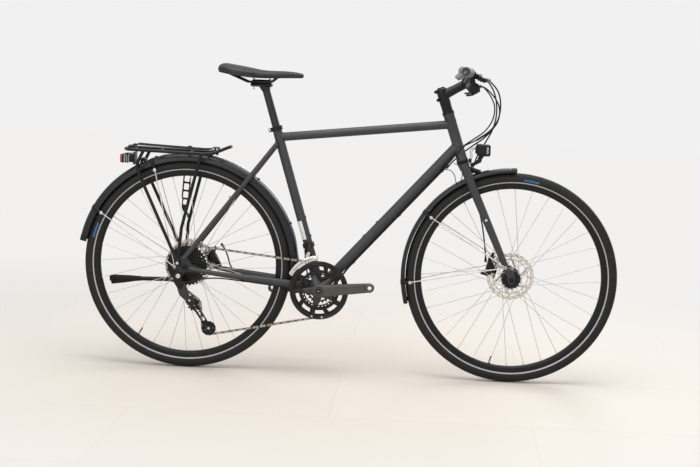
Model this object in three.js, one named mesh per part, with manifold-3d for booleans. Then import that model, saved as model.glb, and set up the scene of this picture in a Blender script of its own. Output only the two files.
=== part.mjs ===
// Touring bicycle with a diamond frame, mudguards, a rear rack, lights and disc brakes.
// Millimetres. X runs forward from the rear axle, Y to the rider's left, Z up from the ground.
import * as THREE from 'three';
import { mergeVertices } from 'three/addons/utils/BufferGeometryUtils.js';
import Module from 'manifold-3d';

const wasm = await Module();
wasm.setup();

// Driving dimensions
const wheelRadius = 351;
const wheelbase = 1085;
const bottomBracketReach = 450;
const bottomBracketDrop = 61.5;
const seatTubeAngle = 72.9;
const headTubeAngle = 71;
const forkReach = 178;
const forkRise = 385;
const headTubeFootReach = wheelbase - forkReach;
const headTubeFootHeight = wheelRadius + forkRise;
const headTubeLength = 162;
const seatTubeLength = 561;
const topTubeUpSeatTube = 524;
const topTubeUpHeadTube = 125;
const downTubeUpHeadTube = 51.5;
const rearHubWidth = 135;
const frontHubWidth = 100;
const crankLength = 170;
const handlebarWidth = 620;
const mudguardWidth = 53;
const fit = 0.3;
const overrun = 6;

// Counts and turns of the round shapes
const rodSides = 8;
const thinSides = 6;
const cableSides = 5;
const tubeSides = 10;
const wheelSegments = 28;
const hubSegments = 12;
const quarterTurn = Math.PI / 2;
const fullTurn = Math.PI * 2;
const mergeDistance = 0.0005;

// Finishes
const finish = (color, roughness, metalness) => new THREE.MeshStandardMaterial({ color, roughness, metalness });
const framePaint = finish(0x3c3d40, 0.55, 0.3);
const blackAlloy = finish(0x1d1d1f, 0.45, 0.6);
const greyAlloy = finish(0x3a3836, 0.4, 0.7);
const steel = finish(0xb8b4ac, 0.3, 0.9);
const chainSteel = finish(0x8a8178, 0.35, 0.9);
const blackSteel = finish(0x252526, 0.5, 0.5);
const tyreRubber = finish(0x222222, 0.9, 0);
const softRubber = finish(0x2b2b2c, 0.85, 0);
const guardPlastic = finish(0x37393c, 0.4, 0.1);
const blackPlastic = finish(0x1b1b1c, 0.5, 0);
const redPlastic = finish(0x7d1018, 0.3, 0);
const coverVinyl = finish(0x2c2c2d, 0.7, 0);

const group = new THREE.Group();

// Places
const at = (x, y, z) => new THREE.Vector3(x, y, z);
const radians = THREE.MathUtils.degToRad;
const acrossY = at(0, 1, 0);
const rearAxle = at(0, 0, wheelRadius);
const frontAxle = at(wheelbase, 0, wheelRadius);
const bottomBracket = at(bottomBracketReach, 0, wheelRadius - bottomBracketDrop);
const seatDirection = at(-Math.cos(radians(seatTubeAngle)), 0, Math.sin(radians(seatTubeAngle)));
const headDirection = at(-Math.cos(radians(headTubeAngle)), 0, Math.sin(radians(headTubeAngle)));
const headFoot = at(headTubeFootReach, 0, headTubeFootHeight);

function along(start, direction, distance) {
  return start.clone().addScaledVector(direction, distance);
}

function upSeatTube(distance) {
  return along(bottomBracket, seatDirection, distance);
}

function upHeadTube(distance) {
  return along(headFoot, headDirection, distance);
}

function between(start, end, share) {
  return start.clone().lerp(end, share);
}

function shifted(point, x, y, z) {
  return at(point.x + x, point.y + y, point.z + z);
}

function withY(point, y) {
  return at(point.x, y, point.z);
}

// A point of the XZ plane at an angle round a centre, turning from forward towards up
function polar(center, radius, angle, y = 0) {
  return at(center.x + radius * Math.cos(angle), y, center.z + radius * Math.sin(angle));
}

function count(total) {
  return Array.from({ length: total }, (_, index) => index);
}

// Solids from three.js shapes
function toSolid(geometry) {
  const bare = geometry.clone();
  bare.deleteAttribute('normal');
  bare.deleteAttribute('uv');
  const merged = mergeVertices(bare, mergeDistance);
  const vertProperties = new Float32Array(merged.attributes.position.array);
  const triVerts = new Uint32Array(merged.index.array);
  return new wasm.Manifold(new wasm.Mesh({ numProp: 3, vertProperties, triVerts }));
}

function toGeometry(solid) {
  const mesh = solid.getMesh();
  const geometry = new THREE.BufferGeometry();
  geometry.setAttribute('position', new THREE.BufferAttribute(mesh.vertProperties, 3));
  geometry.setIndex(new THREE.BufferAttribute(mesh.triVerts, 1));
  geometry.computeVertexNormals();
  return geometry;
}

function join(...geometries) {
  return toGeometry(geometries.map(toSolid).reduce((whole, piece) => whole.add(piece)));
}

function cut(geometry, ...cutters) {
  return toGeometry(cutters.map(toSolid).reduce((whole, cutter) => whole.subtract(cutter), toSolid(geometry)));
}

// What is left of a cut piece, without the slivers that a grazing cut leaves beside it
function mainBody(geometry) {
  const bodies = toSolid(geometry).decompose();
  return toGeometry(bodies.reduce((largest, body) => (body.volume() > largest.volume() ? body : largest)));
}

function aim(geometry, start, direction) {
  const turn = new THREE.Quaternion().setFromUnitVectors(acrossY, direction.clone().normalize());
  return geometry.applyQuaternion(turn).translate(start.x, start.y, start.z);
}

function rod(start, end, radius, sides = rodSides, endRadius = radius) {
  const span = end.clone().sub(start);
  const length = span.length();
  const shape = new THREE.CylinderGeometry(endRadius, radius, length, sides).translate(0, length / 2, 0);
  return aim(shape, start, span);
}

// A closed outline of [radius, height] pairs turned about the line from start along direction
function turned(outline, start, direction, segments) {
  const points = outline.map(([radius, height]) => new THREE.Vector2(radius, height));
  if (THREE.ShapeUtils.area(points) < 0) points.reverse();
  points.push(points[0].clone());
  return aim(new THREE.LatheGeometry(points, segments), start, direction);
}

function sleeve(start, end, outerRadius, innerRadius, segments = hubSegments) {
  const length = start.distanceTo(end);
  const outline = [[innerRadius, 0], [outerRadius, 0], [outerRadius, length], [innerRadius, length]];
  return turned(outline, start, end.clone().sub(start), segments);
}

// A plate whose outline of [x, z] pairs lies in the bicycle's plane, between two distances from it
function slab(outline, fromY, toY, holes = []) {
  const shape = new THREE.Shape(outline.map(([x, z]) => new THREE.Vector2(x, z)));
  shape.holes = holes.map((hole) => new THREE.Path(hole.map(([x, z]) => new THREE.Vector2(x, z))));
  const low = Math.min(fromY, toY);
  const high = Math.max(fromY, toY);
  const geometry = new THREE.ExtrudeGeometry(shape, { depth: high - low, bevelEnabled: false });
  return geometry.rotateX(quarterTurn).translate(0, high, 0);
}

// A plate whose outline of [y, z] pairs lies across the bicycle, between two places along it
function crossSlab(outline, fromX, toX) {
  const shape = new THREE.Shape(outline.map(([y, z]) => new THREE.Vector2(y, z)));
  const geometry = new THREE.ExtrudeGeometry(shape, { depth: toX - fromX, bevelEnabled: false });
  return geometry.rotateX(quarterTurn).rotateZ(quarterTurn).translate(fromX, 0, 0);
}

function block(center, sizeX, sizeY, sizeZ) {
  return new THREE.BoxGeometry(sizeX, sizeY, sizeZ).translate(center.x, center.y, center.z);
}

function circleOutline(center, radius, points) {
  return count(points).map((index) => {
    const place = polar(center, radius, (index / points) * fullTurn);
    return [place.x, place.z];
  });
}

// The outline round two circles, as of a crank arm or a link
function linkOutline(first, firstRadius, second, secondRadius, capSteps = 6) {
  const heading = Math.atan2(second.z - first.z, second.x - first.x);
  const distance = Math.hypot(second.x - first.x, second.z - first.z);
  const opening = Math.acos((firstRadius - secondRadius) / distance);
  const cap = (center, radius, from, to) => count(capSteps + 1).map((step) => {
    const place = polar(center, radius, from + ((to - from) * step) / capSteps);
    return [place.x, place.z];
  });
  const secondCap = cap(second, secondRadius, heading - opening, heading + opening);
  const firstCap = cap(first, firstRadius, heading + opening, heading - opening + fullTurn);
  return [...secondCap, ...firstCap];
}

function linkPlate(first, firstRadius, second, secondRadius, fromY, toY, capSteps) {
  return slab(linkOutline(first, firstRadius, second, secondRadius, capSteps), fromY, toY);
}

function roundSection(radius, sides) {
  return count(sides).map((index) => {
    const angle = (index / sides) * fullTurn;
    return new THREE.Vector2(radius * Math.cos(angle), radius * Math.sin(angle));
  });
}

function extrudeAlong(section, curve, steps) {
  return new THREE.ExtrudeGeometry(new THREE.Shape(section), { steps, extrudePath: curve, bevelEnabled: false });
}

function bentRod(points, radius, steps, sides = thinSides) {
  return extrudeAlong(roundSection(radius, sides), new THREE.CatmullRomCurve3(points), steps);
}

// An arc in the XZ plane: its section's second value points away from the centre when the angle grows
class WheelArc extends THREE.Curve {
  constructor(center, radius, startAngle, endAngle) {
    super();
    Object.assign(this, { center, radius, startAngle, endAngle });
  }

  getPoint(share, target = at(0, 0, 0)) {
    const angle = this.startAngle + (this.endAngle - this.startAngle) * share;
    return target.copy(polar(this.center, this.radius, angle, this.center.y));
  }
}

function add(name, geometry, material) {
  const mesh = new THREE.Mesh(geometry, material);
  mesh.name = name;
  group.add(mesh);
}

// Frame: round steel tubes brazed to a head tube, a seat tube and a bottom bracket shell
const headTubeRadius = 18;
const headTubeBore = 16.4;
const topTubeRadius = 14.3;
const downTubeRadius = 17.8;
const seatTubeRadius = 15.5;
const tubeWall = 1.5;
const shellRadius = 21;
const shellBore = 17;
const shellWidth = 68;
const shellSides = 12;
const seatpostRadius = 13.6;
const seatTubeBoreDepth = 330;
const bossRadius = 5;
const bossHeight = 3;
const bossSpacing = 64;
const downTubeBossDistance = 230;
const seatTubeBossDistance = 180;

const topTubeRear = upSeatTube(topTubeUpSeatTube);
const topTubeFront = upHeadTube(topTubeUpHeadTube);
const downTubeFront = upHeadTube(downTubeUpHeadTube);
const downDirection = downTubeFront.clone().sub(bottomBracket).normalize();
const downTubeOver = at(-downDirection.z, 0, downDirection.x);
const seatTubeAhead = at(seatDirection.z, 0, -seatDirection.x);

// The bore in which a shaft of that many flat sides turns free of the corners
function turningBore(radius, sides) {
  return (radius + fit) / Math.cos(Math.PI / sides);
}

function bottleBoss(foot, outward, tubeRadius) {
  return rod(along(foot, outward, tubeRadius - bossHeight), along(foot, outward, tubeRadius + bossHeight), bossRadius, 6);
}

function bottleBosses(direction, outward, tubeRadius, distance) {
  const low = along(bottomBracket, direction, distance);
  const high = along(low, direction, bossSpacing);
  return [bottleBoss(low, outward, tubeRadius), bottleBoss(high, outward, tubeRadius)];
}

function mainFrame() {
  const shellHalf = shellWidth / 2;
  const solid = join(
    rod(headFoot, upHeadTube(headTubeLength), headTubeRadius, tubeSides),
    rod(topTubeRear, topTubeFront, topTubeRadius),
    rod(bottomBracket, downTubeFront, downTubeRadius),
    rod(bottomBracket, upSeatTube(seatTubeLength), seatTubeRadius, tubeSides),
    rod(withY(bottomBracket, -shellHalf), withY(bottomBracket, shellHalf), shellRadius, shellSides),
    ...bottleBosses(downDirection, downTubeOver, downTubeRadius, downTubeBossDistance),
    ...bottleBosses(seatDirection, seatTubeAhead, seatTubeRadius, seatTubeBossDistance),
  );
  return cut(
    solid,
    rod(upHeadTube(-overrun), upHeadTube(headTubeLength + overrun), headTubeBore, tubeSides),
    rod(topTubeRear, topTubeFront, topTubeRadius - tubeWall),
    rod(bottomBracket, downTubeFront, downTubeRadius - tubeWall),
    rod(upSeatTube(seatTubeLength - seatTubeBoreDepth), upSeatTube(seatTubeLength + overrun), seatpostRadius + fit, tubeSides),
    rod(withY(bottomBracket, -shellHalf - overrun), withY(bottomBracket, shellHalf + overrun), shellBore, shellSides),
  );
}

const mainFrameShape = mainFrame();
add('main_frame', mainFrameShape, framePaint);

// Rear triangle: chainstays, seatstays, their bridges and the dropouts
const staySteps = 5;
const chainstayRadius = 9;
const seatstayRadius = 8;
const dropoutThickness = 5;
const dropoutReach = 36;
const dropoutInner = rearHubWidth / 2;
const dropoutOuter = dropoutInner + dropoutThickness;
const axleRadius = 5;
const axleSides = 12;
const axleSlot = axleRadius + fit;
const chainstayShellOffset = 18;
const chainstayTyreOffset = 36;
const chainstayMidOffset = 61;
const chainstayEndOffset = 68;
const chainstayTyreReach = wheelRadius - dropoutThickness;
const chainstayTyreDrop = 46;
const chainstayMidReach = 105;
const chainstayMidDrop = 20;
const chainstayEndReach = 40;
const chainstayEndDrop = 10;
const chainstayShellRise = 6;
const chainstayShellBack = 14;
const seatstayEndRise = 26;
const seatstayEndBack = 4;
const seatstayLowOffset = 62;
const seatstayHighOffset = 40;
const seatstayTopOffset = 17;
const seatstayTopDistance = 512;
const seatstayLowShare = 0.12;
const seatstayHighShare = 0.7;
const stayBridgeRadius = 7;
const hangerBoltBack = 18.5;
const hangerBoltDrop = 30.3;
const hangerRadius = 9;
const stayEyeletBack = 31;
const stayEyeletDrop = 1;
const rackEyeletBack = 22;
const rackEyeletRise = 13;
const dropoutShares = [
  [1.5, -0.42], [1.55, -0.12], [0.75, 0.2], [0.1, 0.98], [-0.3, 1], [-0.8, 0.62],
  [-1.1, 0.1], [-1.02, -0.25], [-0.55, -0.45], [0.1, -0.5],
];

const rearGuardClearance = 24;
const rearGuardRadius = wheelRadius + rearGuardClearance;
const chainstayBridge = polar(rearAxle, rearGuardRadius + fit + stayBridgeRadius, radians(-7.4));
const hangerBolt = at(-hangerBoltBack, 0, rearAxle.z - hangerBoltDrop);

function chainstayPoints(side) {
  return [
    shifted(bottomBracket, -chainstayShellBack, side * chainstayShellOffset, chainstayShellRise),
    at(chainstayTyreReach, side * chainstayTyreOffset, rearAxle.z - chainstayTyreDrop),
    at(chainstayMidReach, side * chainstayMidOffset, rearAxle.z - chainstayMidDrop),
    at(chainstayEndReach, side * chainstayEndOffset, rearAxle.z - chainstayEndDrop),
  ];
}

function seatstayPoints(side) {
  const foot = shifted(rearAxle, -seatstayEndBack, 0, seatstayEndRise);
  const top = upSeatTube(seatstayTopDistance);
  return [
    withY(foot, side * (dropoutInner + seatstayRadius / 2)),
    withY(between(foot, top, seatstayLowShare), side * seatstayLowOffset),
    withY(between(foot, top, seatstayHighShare), side * seatstayHighOffset),
    withY(top, side * seatstayTopOffset),
  ];
}

function dropout(side) {
  const outline = dropoutShares.map(([x, z]) => [x * dropoutReach, rearAxle.z + z * dropoutReach]);
  const plate = slab(outline, side * dropoutInner, side * dropoutOuter);
  const slot = block(
    at(0, side * (dropoutInner + dropoutThickness / 2), rearAxle.z - dropoutReach),
    2 * axleSlot, dropoutThickness + overrun, 2 * dropoutReach,
  );
  const hole = rod(withY(rearAxle, side * (dropoutInner - overrun)), withY(rearAxle, side * (dropoutOuter + overrun)), axleSlot, axleSides);
  return { plate, slot, hole };
}

// Where the line of the seatstays has just cleared the mudguard
function seatstayBridgePlace() {
  const foot = shifted(rearAxle, -seatstayEndBack, 0, seatstayEndRise);
  const direction = upSeatTube(seatstayTopDistance).sub(foot).normalize();
  const offset = foot.clone().sub(rearAxle);
  const reach = rearGuardRadius + fit + stayBridgeRadius;
  const run = offset.dot(direction);
  return along(foot, direction, Math.sqrt(run ** 2 + reach ** 2 - offset.lengthSq()) - run);
}

function rearTriangle() {
  const sides = [-1, 1];
  const dropouts = sides.map(dropout);
  const stayBridge = seatstayBridgePlace();
  const hanger = linkPlate(rearAxle, hangerRadius, hangerBolt, hangerRadius, -dropoutInner, -dropoutOuter);
  const solid = join(
    ...sides.map((side) => bentRod(chainstayPoints(side), chainstayRadius, staySteps, 8)),
    ...sides.map((side) => bentRod(seatstayPoints(side), seatstayRadius, staySteps, 8)),
    ...dropouts.map(({ plate }) => plate),
    hanger,
    rod(withY(chainstayBridge, -chainstayTyreOffset), withY(chainstayBridge, chainstayTyreOffset), stayBridgeRadius, 8),
    rod(withY(stayBridge, -seatstayHighOffset), withY(stayBridge, seatstayHighOffset), stayBridgeRadius, 8),
  );
  return cut(
    solid,
    ...dropouts.flatMap(({ slot, hole }) => [slot, hole]),
    rod(upSeatTube(0), upSeatTube(seatTubeLength), seatTubeRadius + fit, tubeSides),
    rod(withY(bottomBracket, -shellWidth), withY(bottomBracket, shellWidth), shellRadius + fit, shellSides),
    rod(withY(hangerBolt, -dropoutInner + overrun), withY(hangerBolt, -dropoutOuter - overrun), axleSlot, 10),
  );
}

add('rear_triangle', rearTriangle(), framePaint);

// Headset: a cup with its bearing in each end of the head tube
const steererRadius = 13.6;
const cupFlangeRadius = 19.5;
const cupHeight = 8.5;
const cupSkirtDepth = 13;

function headsetCup(end, outward) {
  const bore = turningBore(steererRadius, tubeSides);
  const outline = [
    [bore, -cupSkirtDepth], [headTubeBore - fit, -cupSkirtDepth], [headTubeBore - fit, fit],
    [cupFlangeRadius, fit], [cupFlangeRadius, cupHeight], [bore, cupHeight],
  ].map(([radius, height]) => [radius, outward * height]);
  return turned(outline, end, headDirection, tubeSides);
}

add('headset_upper_cup', headsetCup(upHeadTube(headTubeLength), 1), blackAlloy);
add('headset_lower_cup', headsetCup(headFoot, -1), blackAlloy);

// Bottom bracket: cartridge sleeve with a bearing cup on each side
const spindleRadius = 12;
const cupRadius = 22;
const cupWidth = 9.8;

function bottomBracketUnit() {
  const half = shellWidth / 2 + fit;
  const bore = turningBore(spindleRadius, shellSides);
  const outline = [
    [bore, -half - cupWidth], [cupRadius, -half - cupWidth], [cupRadius, -half], [shellBore - fit, -half],
    [shellBore - fit, half], [cupRadius, half], [cupRadius, half + cupWidth], [bore, half + cupWidth],
  ];
  return turned(outline, bottomBracket, acrossY, shellSides);
}

add('bottom_bracket', bottomBracketUnit(), blackAlloy);

// Seat collar with its pinch bolt behind the post
const collarHeight = 15;
const collarWall = 4;
const collarBoltRadius = 6;
const collarBoltHalf = 10;

function seatCollar() {
  const inner = seatTubeRadius + fit;
  const outer = inner + collarWall;
  const low = upSeatTube(seatTubeLength - collarHeight);
  const high = upSeatTube(seatTubeLength);
  const middle = between(low, high, 0.5);
  const bolt = along(middle, seatTubeAhead, -outer - collarBoltRadius / 2);
  const solid = join(
    rod(low, high, outer, tubeSides),
    rod(withY(bolt, -collarBoltHalf), withY(bolt, collarBoltHalf), collarBoltRadius, 8),
  );
  return cut(solid, rod(along(low, seatDirection, -overrun), along(high, seatDirection, overrun), inner, tubeSides));
}

add('seat_collar', seatCollar(), blackAlloy);

// Saddle rails: one steel wire bent round at the nose
const railRadius = 3.5;
const railSteps = 26;
const railSpacing = 44;
const railLength = 190;
const railSetback = 345;
const railRearReach = bottomBracketReach - railSetback;
const railRise = 680.5;
const railClampHeight = bottomBracket.z + railRise;
const railEndRise = 36;
const railFlatStart = 0.44;
const railFlatEnd = 0.84;
const railNoseRise = 25;
const railNoseShare = 0.62;
const railRearSpread = 1.16;

function railPath() {
  const half = railSpacing / 2;
  const side = (sign) => [
    at(railRearReach, sign * half * railRearSpread, railClampHeight + railEndRise),
    at(railRearReach + railLength * 0.12, sign * half * railRearSpread, railClampHeight + railEndRise * 0.7),
    at(railRearReach + railLength * railFlatStart, sign * half, railClampHeight),
    at(railRearReach + railLength * railFlatEnd, sign * half, railClampHeight + fit),
    at(railRearReach + railLength, sign * half * railNoseShare, railClampHeight + railNoseRise),
  ];
  const nose = at(railRearReach + railLength * 1.05, 0, railClampHeight + railNoseRise * 1.2);
  return [...side(1), nose, ...side(-1).reverse()];
}

function rails(extra = 0) {
  return bentRod(railPath(), railRadius + extra, railSteps, thinSides);
}

add('saddle_rails', rails(), blackSteel);

// Seatpost with its rail clamp
const seatpostLength = 330;
const clampLength = 52;
const clampWidth = 58;
const clampHeight = 26;
const clampSetback = 16;
const clampBelowRails = 17;

const clampCenter = at(
  bottomBracket.x - (railClampHeight - clampBelowRails - bottomBracket.z) / Math.tan(radians(seatTubeAngle)) - clampSetback,
  0,
  railClampHeight - clampBelowRails + clampHeight / 2,
);
const seatpostTopDistance = (railClampHeight - clampBelowRails + 2 * fit - bottomBracket.z) / seatDirection.z;

function seatpost() {
  const halfLength = clampLength / 2;
  const low = clampCenter.z - clampHeight / 2;
  const high = clampCenter.z + clampHeight / 2;
  const outline = [
    [clampCenter.x - halfLength, low + clampHeight * 0.45], [clampCenter.x - halfLength * 0.1, low],
    [clampCenter.x + halfLength * 0.9, low], [clampCenter.x + halfLength, low + clampHeight * 0.5],
    [clampCenter.x + halfLength * 0.85, high], [clampCenter.x - halfLength * 0.85, high],
  ];
  const solid = join(
    rod(upSeatTube(seatpostTopDistance - seatpostLength), upSeatTube(seatpostTopDistance), seatpostRadius, tubeSides),
    slab(outline, -clampWidth / 2, clampWidth / 2),
  );
  return cut(solid, rails(fit));
}

add('seatpost', seatpost(), blackAlloy);

// Saddle: a padded shell, wide behind, dipped in the middle, with a narrow nose
const saddleLength = 284;
const saddleWidth = 156;
const saddleOverhang = 16.5;
const saddleTailReach = railRearReach - saddleOverhang;
const saddleEdgeRise = 30;
const saddleEdgeHeight = railClampHeight + saddleEdgeRise;
const saddleHeightScale = 25;
const saddleHollow = 9;
// Each row: share along the saddle, half width, crown above the edge height, skirt below it
const saddleShares = [
  [0, 0.42, 0.62, 0.42], [0.09, 0.82, 1, 0.22], [0.2, 1, 0.86, -0.12], [0.36, 0.86, 0.56, -0.46],
  [0.52, 0.5, 0.27, -0.58], [0.66, 0.33, 0.3, -0.5], [0.8, 0.27, 0.31, -0.4], [0.93, 0.23, 0.15, -0.38], [1, 0.14, -0.05, -0.36],
];

function saddleRow(share) {
  const last = saddleShares.length - 1;
  const next = Math.min(last, Math.max(1, saddleShares.findIndex(([place]) => place >= share)));
  const [from, to] = [saddleShares[next - 1], saddleShares[next]];
  const blend = (share - from[0]) / (to[0] - from[0]);
  return from.map((value, index) => value + (to[index] - value) * blend);
}

function saddleShape() {
  const geometry = new THREE.SphereGeometry(1, 18, 14).rotateZ(-quarterTurn);
  const places = geometry.attributes.position;
  for (let index = 0; index < places.count; index += 1) {
    const share = Math.acos(THREE.MathUtils.clamp(-places.getX(index), -1, 1)) / Math.PI;
    const ring = Math.hypot(places.getY(index), places.getZ(index));
    const sideways = ring > 0 ? places.getY(index) / ring : 0;
    const upward = ring > 0 ? places.getZ(index) / ring : 0;
    const [, width, crown, skirt] = saddleRow(share);
    const closing = Math.min(1, ring * 3);
    const middle = ((crown + skirt) / 2) * saddleHeightScale;
    const half = ((crown - skirt) / 2) * saddleHeightScale * closing;
    const hollow = upward < 0 ? -upward * saddleHollow * closing : 0;
    const lift = upward > 0 ? Math.sqrt(upward) : -Math.sqrt(-upward);
    places.setXYZ(
      index,
      saddleTailReach + saddleLength * share,
      sideways * (saddleWidth / 2) * width * closing,
      saddleEdgeHeight + middle + half * lift + hollow,
    );
  }
  return geometry;
}

add('saddle', cut(saddleShape(), rails(fit)), coverVinyl);

// Wheels: a tyre on a laced rim and hub
const tyreWidth = 42;
const tyreWall = 3;
const tyreHeight = 34;
const rimOuterRadius = wheelRadius - tyreHeight;
const rimDepth = 19;
const rimInnerRadius = rimOuterRadius - rimDepth;
const rimWidth = 25;
const rimWall = 1.6;
const rimChannelDepth = 8;
const rimShoulder = 5;
const rimNoseWidth = 13;
const spokeCount = 32;
const spokeRadius = 1.2;
const spokeSides = 3;
const spokeCrossing = radians(66);
const spokeFlangeOffset = 2;
const spokeRimOffset = 2.5;

function rimOutline() {
  const half = rimWidth / 2;
  const inner = half - rimWall;
  const floor = rimOuterRadius - rimChannelDepth;
  const nose = rimNoseWidth / 2;
  return [
    [rimOuterRadius, -half], [rimOuterRadius, -inner], [floor, -inner], [floor, inner], [rimOuterRadius, inner],
    [rimOuterRadius, half], [floor - rimWall, half], [rimInnerRadius, nose], [rimInnerRadius, -nose], [floor - rimWall, -half],
  ];
}

function tyreOutline() {
  const seat = rimOuterRadius - rimChannelDepth + fit;
  const depth = wheelRadius - seat;
  const edge = rimOuterRadius + fit;
  const bead = rimWidth / 2 - rimWall - fit;
  const half = tyreWidth / 2;
  const outer = [
    [seat, bead], [edge, bead], [edge, rimWidth / 2], [seat + depth * 0.6, half], [wheelRadius, half * 0.4],
  ];
  const inner = [[seat, bead - tyreWall], [edge, bead - tyreWall], [seat + depth * 0.58, half - tyreWall]];
  const mirrored = (rows) => rows.map(([radius, y]) => [radius, -y]).reverse();
  return [...mirrored(outer).reverse(), ...outer.slice().reverse(), ...inner, ...mirrored(inner)];
}

function spokes(axle, flangeRadius, flangeY, phase) {
  const perSide = spokeCount / 2;
  const towards = Math.sign(flangeY);
  return count(perSide).map((index) => {
    const lean = index % 2 ? 1 : -1;
    const rimAngle = ((index + phase) / perSide) * fullTurn;
    const start = polar(axle, flangeRadius - spokeFlangeOffset, rimAngle + lean * spokeCrossing, flangeY + lean * spokeFlangeOffset);
    const end = polar(axle, rimInnerRadius + rimShoulder / 2, rimAngle, towards * spokeRimOffset);
    return rod(start, end, spokeRadius, spokeSides);
  });
}

function wheel(axle, hubShape, flangeRadius, leftFlange, rightFlange) {
  return join(
    turned(rimOutline(), axle, acrossY, wheelSegments),
    hubShape,
    ...spokes(axle, flangeRadius, leftFlange, 0),
    ...spokes(axle, flangeRadius, rightFlange, 0.5),
  );
}

function tyre(axle) {
  return turned(tyreOutline(), axle, acrossY, wheelSegments);
}

// Front wheel, with a wide dynamo hub
const hubCapRadius = 10;
const rotorSeatRadius = 17;
const rotorRadius = 80;
const rotorThickness = 1.8;
const flangeThickness = 6;
const frontShellRadius = 29;
const frontFlangeRadius = 33;
const frontLeftFlange = 21;
const frontRightFlange = -29;
const frontRotorPlace = 39.5;
const frontCapStart = 41;

function frontHub() {
  const end = frontHubWidth / 2 - fit;
  const bore = axleRadius + fit;
  const half = flangeThickness / 2;
  const outline = [
    [bore, -end], [hubCapRadius, -end], [hubCapRadius, -frontCapStart], [frontFlangeRadius, frontRightFlange - half],
    [frontFlangeRadius, frontRightFlange + half], [frontShellRadius, frontRightFlange + half],
    [frontShellRadius, frontLeftFlange - half], [frontFlangeRadius, frontLeftFlange - half],
    [frontFlangeRadius, frontLeftFlange + half], [rotorSeatRadius, frontLeftFlange + half],
    [rotorSeatRadius, frontRotorPlace + half], [hubCapRadius, frontRotorPlace + half], [hubCapRadius, end], [bore, end],
  ];
  return turned(outline, frontAxle, acrossY, hubSegments);
}

add('front_tyre', tyre(frontAxle), tyreRubber);
add('front_wheel', wheel(frontAxle, frontHub(), frontFlangeRadius, frontLeftFlange, frontRightFlange), blackAlloy);

// Rear wheel, with a freehub body that carries the cassette
const rearShellRadius = 20;
const rearFlangeRadius = 29;
const rearLeftFlange = 33;
const rearRightFlange = -19;
const rearRotorPlace = 52;
const freehubRadius = 16.7;
const freehubEnd = 63.5;
const freehubCapRadius = 12;

function rearHub() {
  const end = rearHubWidth / 2 - fit;
  const bore = axleRadius + fit;
  const half = flangeThickness / 2;
  const outline = [
    [bore, -end], [freehubCapRadius, -end], [freehubCapRadius, -freehubEnd], [freehubRadius, -freehubEnd],
    [freehubRadius, rearRightFlange - half], [rearFlangeRadius, rearRightFlange - half],
    [rearFlangeRadius, rearRightFlange + half], [rearShellRadius, rearRightFlange + half],
    [rearShellRadius, rearLeftFlange - half], [rearFlangeRadius, rearLeftFlange - half],
    [rearFlangeRadius, rearLeftFlange + half], [rotorSeatRadius, rearLeftFlange + half],
    [rotorSeatRadius, rearRotorPlace + half], [hubCapRadius, rearRotorPlace + half], [hubCapRadius, end], [bore, end],
  ];
  return turned(outline, rearAxle, acrossY, hubSegments);
}

add('rear_tyre', tyre(rearAxle), tyreRubber);
add('rear_wheel', wheel(rearAxle, rearHub(), rearFlangeRadius, rearLeftFlange, rearRightFlange), blackAlloy);

// Brake rotors: a drilled steel track on curved arms
const rotorTrackInner = 64;
const rotorCarrierRadius = 30;
const rotorArmCount = 6;
const rotorArmShare = 0.3;
const rotorArmLean = 0.25;

function rotorWindow(axle, index) {
  const step = fullTurn / rotorArmCount;
  const start = index * step;
  const end = start + step * (1 - rotorArmShare);
  const corner = (radius, angle) => {
    const place = polar(axle, radius, angle);
    return [place.x, place.z];
  };
  const lean = rotorArmLean;
  return [
    corner(rotorCarrierRadius, start), corner(rotorCarrierRadius, end),
    corner(rotorTrackInner, end + lean), corner(rotorTrackInner, (start + end) / 2 + lean), corner(rotorTrackInner, start + lean),
  ];
}

function rotor(axle, place) {
  const bore = circleOutline(axle, rotorSeatRadius + fit, hubSegments);
  const windows = count(rotorArmCount).map((index) => rotorWindow(axle, index));
  const half = rotorThickness / 2;
  return slab(circleOutline(axle, rotorRadius, 32), place - half, place + half, [bore, ...windows]);
}

add('front_rotor', rotor(frontAxle, frontRotorPlace), steel);
add('rear_rotor', rotor(rearAxle, rearRotorPlace), steel);

// Axles: a rod through the hub, with a nut outside each dropout
const axleNutRadius = 9;
const axleNutWidth = 7;
const forkTipThickness = 5.5;

function axle(center, innerHalf, tipThickness) {
  const face = innerHalf + tipThickness + fit;
  const end = face + axleNutWidth;
  const nut = (side) => rod(withY(center, side * face), withY(center, side * end), axleNutRadius, 10);
  return join(rod(withY(center, -end), withY(center, end), axleRadius, axleSides), nut(-1), nut(1));
}

add('rear_axle', axle(rearAxle, dropoutInner, dropoutThickness), blackSteel);
add('front_axle', axle(frontAxle, frontHubWidth / 2, forkTipThickness), blackSteel);

// Drivetrain sizes that its pieces share
const chainPitch = 12.7;
const toothRise = 2.8;
const toothDrop = 3.9;
const sprocketThickness = 1.8;
const ringTeeth = 44;
const middleTeeth = 32;
const smallTeeth = 22;
const pulleyTeeth = 11;
const cassetteTeeth = [34, 30, 26, 23, 20, 17, 15, 13, 11];
const sprocketSpacing = 4.34;
const cassettePlace = -27;
const ringPlace = -50;
const middleRingPlace = -43;
const smallRingPlace = -36;

const pitchRadius = (teeth) => chainPitch / 2 / Math.sin(Math.PI / teeth);

function toothedOutline(center, teeth) {
  const pitch = pitchRadius(teeth);
  return count(teeth * 2).map((index) => {
    const radius = index % 2 ? pitch - toothDrop : pitch + toothRise;
    const place = polar(center, radius, (index / (teeth * 2)) * fullTurn);
    return [place.x, place.z];
  });
}

// Cassette: toothed sprockets on one carrier, the largest next to the spokes
const carrierWall = 2.8;

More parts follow.
